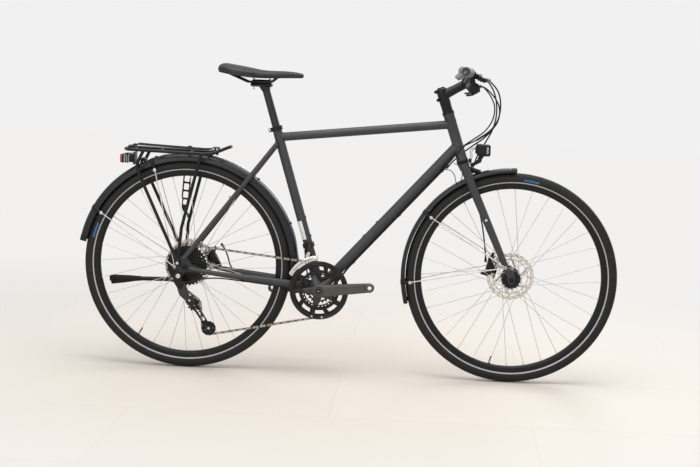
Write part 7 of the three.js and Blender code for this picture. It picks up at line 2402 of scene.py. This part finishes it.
# %% [markdown]
# ## The rear rack
# The rack is bent from one size of black tube: a deck loop that closes in an upturned tip, and two legs a
# side that meet in a knee low down. Cross bars, a deck plate with a spring clip and a lamp plate join the two
# sides.

# %% Rack tubes
RACK_TUBE = 5.5
RAIL_BACK, RAIL_FRONT = (-214, 734.6), (72, 728)


def rail_height(x):
    """The deck's rails fall gently towards the front."""
    return RAIL_BACK[1] + (RAIL_FRONT[1] - RAIL_BACK[1]) * (x - RAIL_BACK[0]) / (RAIL_FRONT[0] - RAIL_BACK[0])


deck_half = [
    at(-212, 0, 734.6), at(-212, 40, 734.6), at(-196, 62, 734.2), at(-60, 62, 731), at(60, 62, 728.4),
    at(86, 58, 731), at(118, 38, 745), at(134, 14, 751.6), at(136, 0, 752)
]
deck_path = bent_path(deck_half, 42, 8)
loop_path = deck_path + [Vector((p.x, -p.y, p.z)) for p in reversed(deck_path[1:-1])] + [deck_path[0]]
deck_loop = tube(loop_path, RACK_TUBE, 22, caps=False)
bmesh.ops.remove_doubles(deck_loop, verts=deck_loop.verts, dist=2e-5)
rack_foot = at(-22, 80, 364)

front_leg = bent_path([at(46, 62, rail_height(46)), at(-14, 64, 480), at(-20, 73.5, 392), rack_foot], 60)
rear_leg = bent_path(
    [at(-146, 62, rail_height(-146)), at(-171.6, 62, 679.6), at(-40, 71, 400), rack_foot], 46
)
leg_radius, leg_flatten = [(0, RACK_TUBE), (0.94, RACK_TUBE), (1, 6.6)], [(0, 1.0), (0.92, 1.0), (1, 0.42)]
legs = both_sides(joined(
    tube(front_leg, leg_radius, 20, side=ACROSS, flatten=leg_flatten),
    tube(rear_leg, leg_radius, 20, side=ACROSS, flatten=leg_flatten),
    drum(rack_foot - ACROSS * 0.0024, ACROSS, 0, 4.8, 8.6, 1.0, 26),
))
bars = [rod(at(x, -60, rail_height(x)), at(x, 60, rail_height(x)), 3.5, 16) for x in (-190, -100, 0, 66)]
piece(
    "rack_tubes", joined(deck_loop, legs, *bars), satin_black, "frame", ["rear_rack"],
    smooth_angle=44
)
print("rack rails", RAIL_FRONT[0] - RAIL_BACK[0], "mm long")

# %% [markdown]
# The deck plate is a long stamped strip with slots; a spring clip lies over it, hinged at the rear with a
# coil on each side. Blocks and short rods tie the rack to the mudguard below it.

# %% Rack plate and clip
deck_z = rail_height(-60) + 5.0
slots = [around([(x - 12, 0, 4.0), (x + 12, 0, 4.0)], 4)[::-1] for x in (-160, -118, -76, -34, 8, 44)]
strip = plate(
    [around([(-188, 0, 15), (62, 0, 15)], 15)] + slots, 2.4,
    Matrix.Translation(at(0, 0, deck_z + 0.4)) @ Matrix.Rotation(math.atan2(6.6, 286), 4, "Y"), bevel=0.6
)
piece("rack_deck_plate", strip, satin_black, "frame", smooth_angle=40)
spring = []
clip_path = [
    at(-196, 30, 744), at(-176, 30, 750), at(-150, 27, 748.5), at(40, 24, 741), at(70, 20, 742),
    at(76, 8, 744), at(76, 0, 744.2)
]
clip_smooth = bent_path(clip_path, 14, 5)
clip_full = clip_smooth + [Vector((p.x, -p.y, p.z)) for p in reversed(clip_smooth[:-1])]
spring.append(tube(clip_full, 2.1, 12))
for side in (1, -1):
    coil = []
    for k in range(61):
        a = TURN * 5 * k / 60
        coil.append(at(-196 + 6.0 * math.cos(a), side * (30 + 11 * k / 60), 741.6 + 6.0 * math.sin(a)))
    spring.append(tube(coil, 1.25, 8))
spring.append(rod(at(-196, -44, 741.6), at(-196, 44, 741.6), 3.0, 14))
piece("rack_spring_clip", joined(*spring), satin_black, "frame", smooth_angle=50)
clamp_block = joined(
    block(at(86, 0, 742), (22, 40, 14), 3.0),
    rod(at(88, -20, 738), polar(REAR_AXLE, 384, 77, 0) + Vector((0.004, 0, 0)), 4.4, 14)
)
knee_bracket = joined(
    rod(at(-172, -56, 680), at(-172, 56, 680), 3.4, 14),
    rod(at(-160, 0, 700), polar(REAR_AXLE, 373.8, 116.6, 0), 4.0, 14),
    block(at(-160, 0, 700), (16, 26, 8), 2.0, turn=Matrix.Rotation(math.radians(-26), 4, "Y")),
)
tie_front = joined(
    block(at(72, 0, 732.5), (14, 22, 8), 2.0), rod(at(72, 0, 730), polar(REAR_AXLE, 373.8, 79.2, 0), 4.0, 14)
)
piece(
    "rack_ties", joined(clamp_block, knee_bracket, tie_front), satin_black, "frame",
    smooth_angle=42
)
piece(
    "rack_clamp_bolts", joined(*[bolt(at(x, -20.0, 742), (0, -1, 0), 3.4, 2.0) for x in (80, 92)]),
    bright_steel, "frame"
)
print("deck plate", round(deck_z), "mm above the floor")

# %% [markdown]
# ## Tail light and luggage strap
# The lamp has a black body with three ribs, a red lens that wraps its back and a clear window in the middle.
# The strap is a rubber ladder that hangs from the rail to the front leg.

# %% Tail light
tail_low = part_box("tail_light")[0]
lamp_plate = block(at(-186.5, 0, 702), (4.0, 52, 42), 1.2)
piece("tail_light_plate", lamp_plate, satin_black, "frame")
tail_x = (tail_low.x - rear_axle_x) * 1000
TAIL_RIBS = ((10.5, 5.0), (19.0, 3.0), (25.5, 3.0))
tail_ribs = [block(at(tail_x + x, 0, 702), (width, 81, 29.5), 0.9) for x, width in TAIL_RIBS]
tail_foot = block(at(tail_x + 37, 0, 702), (16, 60, 27), 5.0, segments=4)
piece(
    "tail_light_body", joined(*tail_ribs, tail_foot), matte_plastic, "frame", ["tail_light"],
    smooth_angle=44
)
piece(
    "tail_light_lens", block(at(tail_x + 4.6, 0, 702), (9.0, 80, 29), 4.2, segments=6), red_lens, "frame",
    smooth_angle=60
)
piece(
    "tail_light_window", block(at(tail_x + 20, 0, 702), (20, 78, 26), 4.0, segments=4), clear_lens, "frame",
    smooth_angle=60
)
print("tail light", round(-tail_x), "mm behind the axle")

# %% Luggage strap
strap_top, strap_foot = Vector((-14, 738)), Vector((-30, 518))
strap_way = (strap_foot - strap_top).normalized()
strap_across = Vector((-strap_way.y, strap_way.x))


def on_strap(along_strap, across_strap):
    place = strap_top + strap_way * along_strap + strap_across * across_strap
    return place.x, place.y - WHEEL_RADIUS


strap_edge = [(10, 13.4), (166, 13.4), (176, 10.5), (204, 9.8), (212, 6.5), (219, 2)]
strap_loop = [on_strap(2, -12), on_strap(2, 12)] + [on_strap(*point) for point in strap_edge]
strap_loop += [on_strap(down, -out) for down, out in reversed(strap_edge)]
strap_holes = []
for k in range(7):
    top = 12 + k * 27.5
    tall, wide = (17.0, 6.4) if k == 6 else (21.0, 8.6)
    foot = top + tall
    hole_edge = [(top, 2 - wide), (top + 2, -wide), (foot - 2, -wide), (foot, 2 - wide)]
    hole_edge += [(down, -out) for down, out in reversed(hole_edge)]
    strap_holes.append([on_strap(*point) for point in hole_edge])
strap_plate = plate([strap_loop] + strap_holes, 2.8, side_plane(REAR_AXLE, 69.6), bevel=0.6)
hook_top = tube(
    bent_path([at(-14, 69.6, 730), at(-14, 69.6, 742), at(-14, 56, 742), at(-14, 55.4, 732)], 6, 5), 4.4, 14,
    side=FORWARD, flatten=1.9
)
strap_tie = tube([at(-28, 69.6, 524), at(-16, 66, 512), at(-15, 65, 500)], [(0, 4.0), (1, 3.0)], 12)
piece(
    "luggage_strap_ladder", joined(strap_plate, hook_top, strap_tie), soft_rubber, "frame",
    ["luggage_strap"], smooth_angle=40
)
print("strap with", len(strap_holes), "windows")

# %% [markdown]
# ## Kickstand
# A bolt-on bracket at the left dropout carries a leg that folds back beside the wheel. The leg ends in a
# broad rubber foot.

# %% Kickstand
KICK_PIVOT, KICK_TIP = at(-10, 84, 284), at(-288, 97, 276)
KICK_AXIS = Vector((0, 0.973, 0.23))
leg_way = (KICK_TIP - KICK_PIVOT).normalized()
leg = joined(
    tube(
        [KICK_PIVOT + leg_way * 0.006, KICK_PIVOT.lerp(KICK_TIP, 0.2), KICK_PIVOT.lerp(KICK_TIP, 0.92)],
        [(0, 8.4), (0.25, 7.5), (1, 7.0)], 24
    ),
    turned(
        KICK_PIVOT, KICK_AXIS, [(-7.4, 0), (-7.4, 10.4), (-6.6, 11.2), (6.6, 11.2), (7.4, 10.4), (7.4, 0)], 30
    ),
)
piece("kickstand_tube", leg, satin_black, "kickstand", ["kickstand_leg"], smooth_angle=44)
foot_start = KICK_PIVOT.lerp(KICK_TIP, 0.60)
foot_shape = tube(
    [foot_start, foot_start.lerp(KICK_TIP, 0.35), foot_start.lerp(KICK_TIP, 0.9), KICK_TIP],
    [(0, 8.0), (0.3, 10.5), (0.9, 12.0), (1, 10.5)], 24, side=ACROSS,
    flatten=[(0, 1.0), (0.5, 0.72), (1, 0.72)]
)
foot_low = foot_start.lerp(KICK_TIP, 0.15) + Vector((0, 0, -0.004))
foot_end = KICK_TIP + Vector((0.006, -0.001, -0.0125))
foot_shape = joined(
    foot_shape,
    tube(
        [foot_low, foot_low.lerp(foot_end, 0.5), foot_end], [(0, 5.0), (0.6, 8.0), (1, 8.6)], 20, side=ACROSS,
        flatten=0.9
    )
)
piece("kickstand_foot", foot_shape, soft_rubber, "kickstand", smooth_angle=44)
bracket = joined(
    plate(
        [around([(18, -13, 11), (10, -40, 10), (-8, -64, 12)], 10)], 7.0, side_plane(REAR_AXLE, 77.0),
        bevel=1.6
    ),
    turned(KICK_PIVOT, KICK_AXIS, [(-12.5, 0), (-12.5, 12), (-8.4, 12.6), (-7.6, 12), (-7.6, 0)], 30),
)
piece("kickstand_mount", bracket, satin_black, "frame", ["kickstand_bracket"], smooth_angle=42)
kick_bolts = joined(bolt(at(18, 80.4, 338), (0, 1, 0), 4.6, 2.6), bolt(at(8, 80.4, 314), (0, 1, 0), 4.6, 2.6))
piece("kickstand_bolts", kick_bolts, bright_steel, "frame")
piece(
    "kickstand_pivot_bolt", bolt(KICK_PIVOT + KICK_AXIS.normalized() * 0.0072, KICK_AXIS, 5.0, 3.0),
    bright_steel, "kickstand"
)
print("kickstand made")

# %% [markdown]
# ## Saddle and seat post
# The saddle has a wide raised tail, a dip in the middle and a slim flat nose. Its shell starts as a row of
# closed sections from tail to nose that are bridged into one skin; subdivision rounds it, and a sewn welt and
# the shell's edge come after.

# %% Saddle form
SADDLE_BACK, SADDLE_LENGTH, SADDLE_EDGE = 88.5, 284.0, 1000.0
SADDLE_HALF, SADDLE_HEIGHT = 78.0, 25.0
SADDLE_STATIONS = [
    (0.0, .42, .72, .26), (.03, .64, 1.06, .04), (.09, .82, 1.24, -.08), (.2, 1.0, 1.0, -.26),
    (.36, .86, .78, -.50), (.52, .5, .38, -.58), (.66, .33, .37, -.54), (.8, .27, .38, -.48),
    (.93, .23, .25, -.43), (.985, .18, .10, -.40), (1.0, .12, .0, -.33)
]


def saddle_section(position, half_share, crown_share, skirt_share):
    """Half-round over the top, then the skirt, then under: one closed ring of points."""
    x = SADDLE_BACK + SADDLE_LENGTH * position
    half = SADDLE_HALF * half_share
    crown = SADDLE_EDGE + SADDLE_HEIGHT * crown_share
    skirt = SADDLE_EDGE + SADDLE_HEIGHT * skirt_share
    deep = crown - skirt
    shares = [
        (0.0, 1.0), (0.28, 0.985), (0.55, 0.92), (0.78, 0.76), (0.93, 0.50), (1.0, 0.22), (0.985, 0.0),
        (0.90, -0.06), (0.6, 0.16), (0.3, 0.24)
    ]
    points = [(half * y, skirt + deep * z) for y, z in shares]
    groove = 2.2 * math.exp(-((position - 0.42) / 0.28) ** 2)
    points[0] = (0.0, points[0][1] - groove)
    full = points + [(0.0, skirt + deep * 0.26)] + [(-y, z) for y, z in reversed(points[1:])]
    return [at(x, y, z) for y, z in full]


def lofted(sections):
    """Bridge a row of closed rings into one skin."""
    shape = bmesh.new()
    rings_of_edges = []
    for section in sections:
        verts = [shape.verts.new(p) for p in section]
        rings_of_edges.append([shape.edges.new(pair) for pair in zip(verts, verts[1:] + verts[:1])])
    for first, second in zip(rings_of_edges, rings_of_edges[1:]):
        bmesh.ops.bridge_loops(shape, edges=first + second)
    for end in (rings_of_edges[0], rings_of_edges[-1]):
        bmesh.ops.contextual_create(shape, geom=end)
    bmesh.ops.recalc_face_normals(shape, faces=shape.faces)
    return shape


def saddle_cover():
    """A stretched vinyl skin with a fine leather grain."""
    block = bpy.data.materials.new("saddle_cover")
    nodes, links = node_tree(block)
    grain = texture(nodes, links, "Voronoi", 620)["Distance"]
    clouds = texture(nodes, links, "Noise", 26, Detail=5)["Fac"]
    tone = ramp(nodes, links, clouds, [(0.3, (0.013, 0.013, 0.014)), (0.7, (0.020, 0.020, 0.022))])
    rough = scalar(nodes, links, "MULTIPLY_ADD", clouds, 0.16, 0.40)
    surface(nodes, links, tone, rough, grain, 0.22, 0.0005, Sheen_Weight=0.02, Specular_IOR_Level=0.28)
    return block


saddle_shape = lofted([saddle_section(*station) for station in SADDLE_STATIONS])
saddle = piece(
    "saddle_pad", saddle_shape, saddle_cover(), "seatpost", ["saddle"], smooth_angle=80
)
rounding = saddle.modifiers.new("rounding", "SUBSURF")
rounding.levels = rounding.render_levels = 3
print("saddle from", len(SADDLE_STATIONS), "sections")

# %% [markdown]
# A thin welt runs along the saddle's edge where top and side panels are sewn, and a harder rim edges the
# shell below it.

# %% Welt and shell edge
def saddle_edge_points(y_share, z_share):
    points = []
    for position, half_share, crown_share, skirt_share in SADDLE_STATIONS:
        skirt = SADDLE_EDGE + SADDLE_HEIGHT * skirt_share
        deep = SADDLE_HEIGHT * (crown_share - skirt_share)
        points.append(at(
            SADDLE_BACK + SADDLE_LENGTH * position, SADDLE_HALF * half_share * y_share, skirt + deep * z_share
        ))
    return points


welt_path = smooth_path(saddle_edge_points(0.955, 0.44)[1:-1], 5)
welt = both_sides(tube(welt_path, 0.85, 8))
piece("saddle_welt", welt, matte_plastic, "seatpost", smooth_angle=60)
rail_of_shell = smooth_path(saddle_edge_points(0.93, 0.02)[1:-1], 5)
piece(
    "saddle_shell_edge", both_sides(tube(rail_of_shell, 1.9, 10, side=UP, flatten=1.5)), gloss_black,
    "seatpost", smooth_angle=60
)
print("welt", len(welt_path), "points a side")

# %% [markdown]
# Two rails run under the saddle and meet at the nose; a clamp at the post's head grips them with two bolts.

# %% Rails, clamp and post
RAILS = [
    (105, 25.5, 1006), (127.8, 25.5, 995.2), (188.6, 22, 970), (264.6, 22, 970.3), (295, 13.6, 995),
    (304.5, 3.6, 1000)
]
rail_path = bent_path([at(*p) for p in RAILS], 26, 7)
rail_pair = both_sides(tube(rail_path, 3.5, 16))
clamp_lower = tube(
    [at(198, 0, 961), at(204, 0, 961), at(262, 0, 961), at(268, 0, 961)],
    [(0, 20), (0.1, 25.5), (0.9, 25.5), (1, 20)], 26, side=UP, flatten=0.28
)
clamp_upper = tube(
    [at(203, 0, 973.6), at(208, 0, 974.4), at(258, 0, 974.4), at(263, 0, 973.6)],
    [(0, 22), (0.1, 27.5), (0.9, 27.5), (1, 22)], 26, side=UP, flatten=0.16
)
piece("saddle_rail_pair", rail_pair, satin_black, "seatpost", ["saddle_rails"], smooth_angle=60)
POST_LENGTH, POST_TOP_HEIGHT = 330, 953.6
post_top_distance = (POST_TOP_HEIGHT - BRACKET_HEIGHT) / SEAT_WAY.z
post_top, post_low = up_seat_tube(post_top_distance), up_seat_tube(post_top_distance - POST_LENGTH)
piece(
    "seatpost_tube",
    joined(
        tube([post_low, post_top, post_top + SEAT_WAY * 0.003], [(0, 13.6), (0.98, 13.6), (1, 12.2)], 40),
        tube([post_top - SEAT_WAY * 0.012, post_top + Vector((-0.004, 0, 0.009))], [(0, 13.2), (1, 20.0)], 28)
    ),
    black_alloy, "seatpost", ["seatpost"], smooth_angle=50
)
piece(
    "saddle_clamp", joined(clamp_lower, clamp_upper), satin_black, "seatpost", smooth_angle=46
)
clamp_bolts = []
for x in (206, 260):
    clamp_bolts.append(rod(at(x, 0, 948), at(x, 0, 979), 2.6, 12))
    clamp_bolts.append(hex_nut(at(x, 0, 979), UP, 0, 3.4, 8.4))
    clamp_bolts.append(bolt(at(x, 0, 948.6), (0, 0, -1), 4.2, 3.4))
piece("saddle_clamp_bolts", joined(*clamp_bolts), bright_steel, "seatpost")
print("rails, clamp and post made")

# %% [markdown]
# ## Cables and hoses
# Two shift cables and two brake hoses leave the bar, loop in front of the head tube and run under the down
# tube. Their routes are the CAD model's own points, so each lies where the object holds it. The front brake
# hose rides with the steering; the other three ride on no body and don't turn with the fork.

# %% Routes under the down tube
under_down_tube = -over_down_tube


def along_down_tube(distance, y):
    """A cable's centre under the down tube; the distance runs from the head tube down."""
    drop = math.sqrt((DOWN_TUBE_RADIUS + 2.5 + 0.8) ** 2 - y * y) / 1000
    place = DOWN_TUBE_FRONT - down_way * distance / 1000 + under_down_tube * drop
    place.y = y / 1000
    return place


REAR_SHIFT_FRONT = [
    (943, -121, 984), (962, -118, 982), (992, -108, 958), (1015, -88, 922), (1017, -68, 882), (998, -50, 846),
    (955, -38, 811), (908, -28, 784), (884, -24.5, 756), (862, -21.5, 727), (842, -15, 704)
]
REAR_SHIFT_REAR = [
    (477, -12, 275), (466, -13.5, 265), (450, -15, 261), (432, -19, 265), (412, -26, 276), (385, -33, 289),
    (346, -38, 292), (280, -43.5, 299), (180, -54, 310.5), (110, -61, 316), (62, -71.5, 313),
    (28, -79.5, 305), (8, -81.5, 300), (-9, -80, 297.5)
]
FRONT_SHIFT_FRONT = [
    (943, 121, 984), (962, 118, 982), (990, 106, 955), (1008, 86, 915), (1002, 64, 870), (978, 47, 834),
    (941, 34, 806), (908, 27, 782), (884, 24, 754), (862, 19.5, 727), (842, 10, 704)
]
FRONT_SHIFT_REAR = [
    (476, -3, 271), (463, -3.5, 262), (448, -4, 259.5), (431, -4.5, 264), (419, -5, 279), (412, -5.5, 300),
    (404, -9, 345), (398, -17, 390), (397.5, -20, 418)
]
REAR_BRAKE_FRONT = [
    (946, -117.3, 1011), (948, -110, 1011), (976, -97, 1004), (1012, -72, 966), (1022, -36, 905),
    (1006, 2, 850), (975, 24, 812), (940, 34, 785), (905, 34.5, 757), (878, 31, 732), (856, 21, 707)
]
REAR_BRAKE_REAR = [
    (478, 11, 274), (466, 12.5, 264), (450, 14, 260.5), (432, 18, 264), (410, 26, 276), (385, 33, 288.5),
    (346, 38, 291.5), (280, 43.5, 298.5), (215, 51, 305), (180, 62, 310), (152, 71, 320), (133, 74, 342),
    (124, 72, 372), (112, 64, 402), (104, 58, 415)
]
FRONT_BRAKE = [
    (946, 117.3, 1011), (948, 110, 1011), (976, 101, 1003), (1005, 96, 962), (1016, 92, 900), (1006, 85, 842),
    (980, 77, 790), (956, 70, 745), (943, 66, 695), (947, 64.5, 650), (963, 63, 600), (985, 58.5, 515),
    (995, 52, 455), (1000, 46, 415), (1001, 43, 397)
]
UNDER_TUBE = (68, 80, 533, 545)


def framed_route(front_points, y, rear_points):
    """A whole route: round the head tube, straight along under the down tube, and on to the rear."""
    straight = [along_down_tube(distance, y) for distance in UNDER_TUBE]
    return [at(*p) for p in front_points] + straight + [at(*p) for p in rear_points]


ROUTES = {
    "rear_shift_cable": (framed_route(REAR_SHIFT_FRONT, -8, REAR_SHIFT_REAR), 2.3),
    "front_shift_cable": (framed_route(FRONT_SHIFT_FRONT, 0, FRONT_SHIFT_REAR), 2.3),
    "rear_brake_hose": (framed_route(REAR_BRAKE_FRONT, 8, REAR_BRAKE_REAR), 2.5),
    "front_brake_hose": ([at(*p) for p in FRONT_BRAKE], 2.5),
}
for name, (route, radius) in ROUTES.items():
    path = smooth_path(route, 8)
    length = sum((b - a).length for a, b in zip(path, path[1:]))
    print(name, "length", round(length * 1000), "mm")
    body = "steering" if name == "front_brake_hose" else None
    cover = piece(
        f"{name}_cover", tube(path, radius, 14), cable_cover, body, [name], smooth_angle=80
    )
    if body is None:
        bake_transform(cover)

# %% [markdown]
# Small black fittings end the cables: ferrules at the shifters, unions at the brakes, and guides with their
# bolts under the down tube.

# %% Ferrules, unions and guides
def fitting(place, toward, radius, length):
    way = (Vector(toward) - Vector(place)).normalized()
    return turned(
        place, way,
        [
            (-2, 0), (-2, radius), (length * 0.7, radius), (length * 0.75, radius * 0.82),
            (length, radius * 0.72), (length, 0)
        ],
        18
    )


steering_fittings = [fitting(at(*r[0]), at(*r[1]), 4.0, 14) for r in (REAR_SHIFT_FRONT, FRONT_SHIFT_FRONT)]
steering_fittings += [fitting(at(*r[0]), at(*r[2]), 4.6, 16) for r in (REAR_BRAKE_FRONT, FRONT_BRAKE)]
steering_fittings.append(fitting(at(*FRONT_BRAKE[-1]), at(*FRONT_BRAKE[-2]), 4.4, 14))
piece("steering_cable_fittings", joined(*steering_fittings), satin_black, "steering")
rear_ends = ((REAR_SHIFT_REAR, 4.0, 14), (REAR_BRAKE_REAR, 4.4, 14), (FRONT_SHIFT_REAR, 3.6, 12))
frame_fittings = [
    fitting(at(*route[-1]), at(*route[-2]), radius, length) for route, radius, length in rear_ends
]
GUIDES = (96, 300, 520)
for distance in GUIDES:
    middle = along_down_tube(distance, 0)
    guide = block(
        middle + under_down_tube * -0.0008, (14, 25, 6.4), 2.0, turn=frame_of(under_down_tube, down_way)
    )
    frame_fittings.append(guide)
piece("frame_cable_fittings", joined(*frame_fittings), satin_black, "frame", smooth_angle=42)
piece(
    "cable_guide_bolts",
    joined(*[
        bolt(along_down_tube(d, 0) + under_down_tube * 0.0026, under_down_tube, 3.4, 2.0) for d in GUIDES
    ]),
    bright_steel, "frame"
)
sleeve_top = smooth_path([at(*q) for q in REAR_SHIFT_FRONT], 8)[34:50]
piece("cable_sleeve", tube(sleeve_top, 3.4, 14), soft_rubber, "frame", smooth_angle=80)
print("cable guides:", len(GUIDES))

# %% [markdown]
# The lamps' wires are thin. One follows the rear guard's crown to the tail light, two drop from the headlight
# to a small connector, and two more cross from the down tube to the fork.

# %% Lamp wires
guard_wire = [polar(REAR_AXLE, 376.2, angle, 3.0) for angle in (4, 20, 40, 60, 80, 100, 114)]
guard_wire_path = smooth_path(guard_wire + [at(-182, 3, 690)], 10)
piece(
    "tail_light_wire", tube(guard_wire_path, 1.1, 8), bright_steel, "frame", smooth_angle=80
)
holders = [
    arc_part(REAR_AXLE, [(-2.5, 374.8), (8.5, 374.8), (8.5, 378.6), (-2.5, 378.6)], a - 0.6, a + 0.6, 2)
    for a in (24, 52, 94, 108)
]
piece("tail_wire_holders", joined(*holders), matte_plastic, "frame")
head_wire = smooth_path(
    [at(951, -6, 778), at(942, -10, 776), at(936, -14, 766), at(938, -17, 752), at(934, -19, 742)], 8
)
head_wire_two = smooth_path(
    [at(951, -2, 776), at(940, -6, 780), at(931, -11, 770), at(932, -15, 754), at(931, -18, 744)], 8
)
piece(
    "headlight_wires", joined(tube(head_wire, 1.0, 8), tube(head_wire_two, 1.0, 8)), cable_cover, "steering",
    smooth_angle=80
)
piece(
    "headlight_connector", block(at(932, -17.5, 738), (10, 6.5, 14), 1.6), matte_plastic, "steering",
)
feeds = []
for points in (
    [(846, -16, 705), (868, -20, 704), (882, -24, 690), (888, -24, 668), (896, -22, 650)],
    [(880, -26, 728), (902, -26, 716), (908, -26, 690), (905, -24, 662), (912, -20, 640)]
):
    feeds.append(tube(smooth_path([at(*p) for p in points], 8), 1.3, 8))
lamp_feeds = piece("lamp_feed_wires", joined(*feeds), cable_cover, None, smooth_angle=80)
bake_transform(lamp_feeds)
print("lamp wires made")
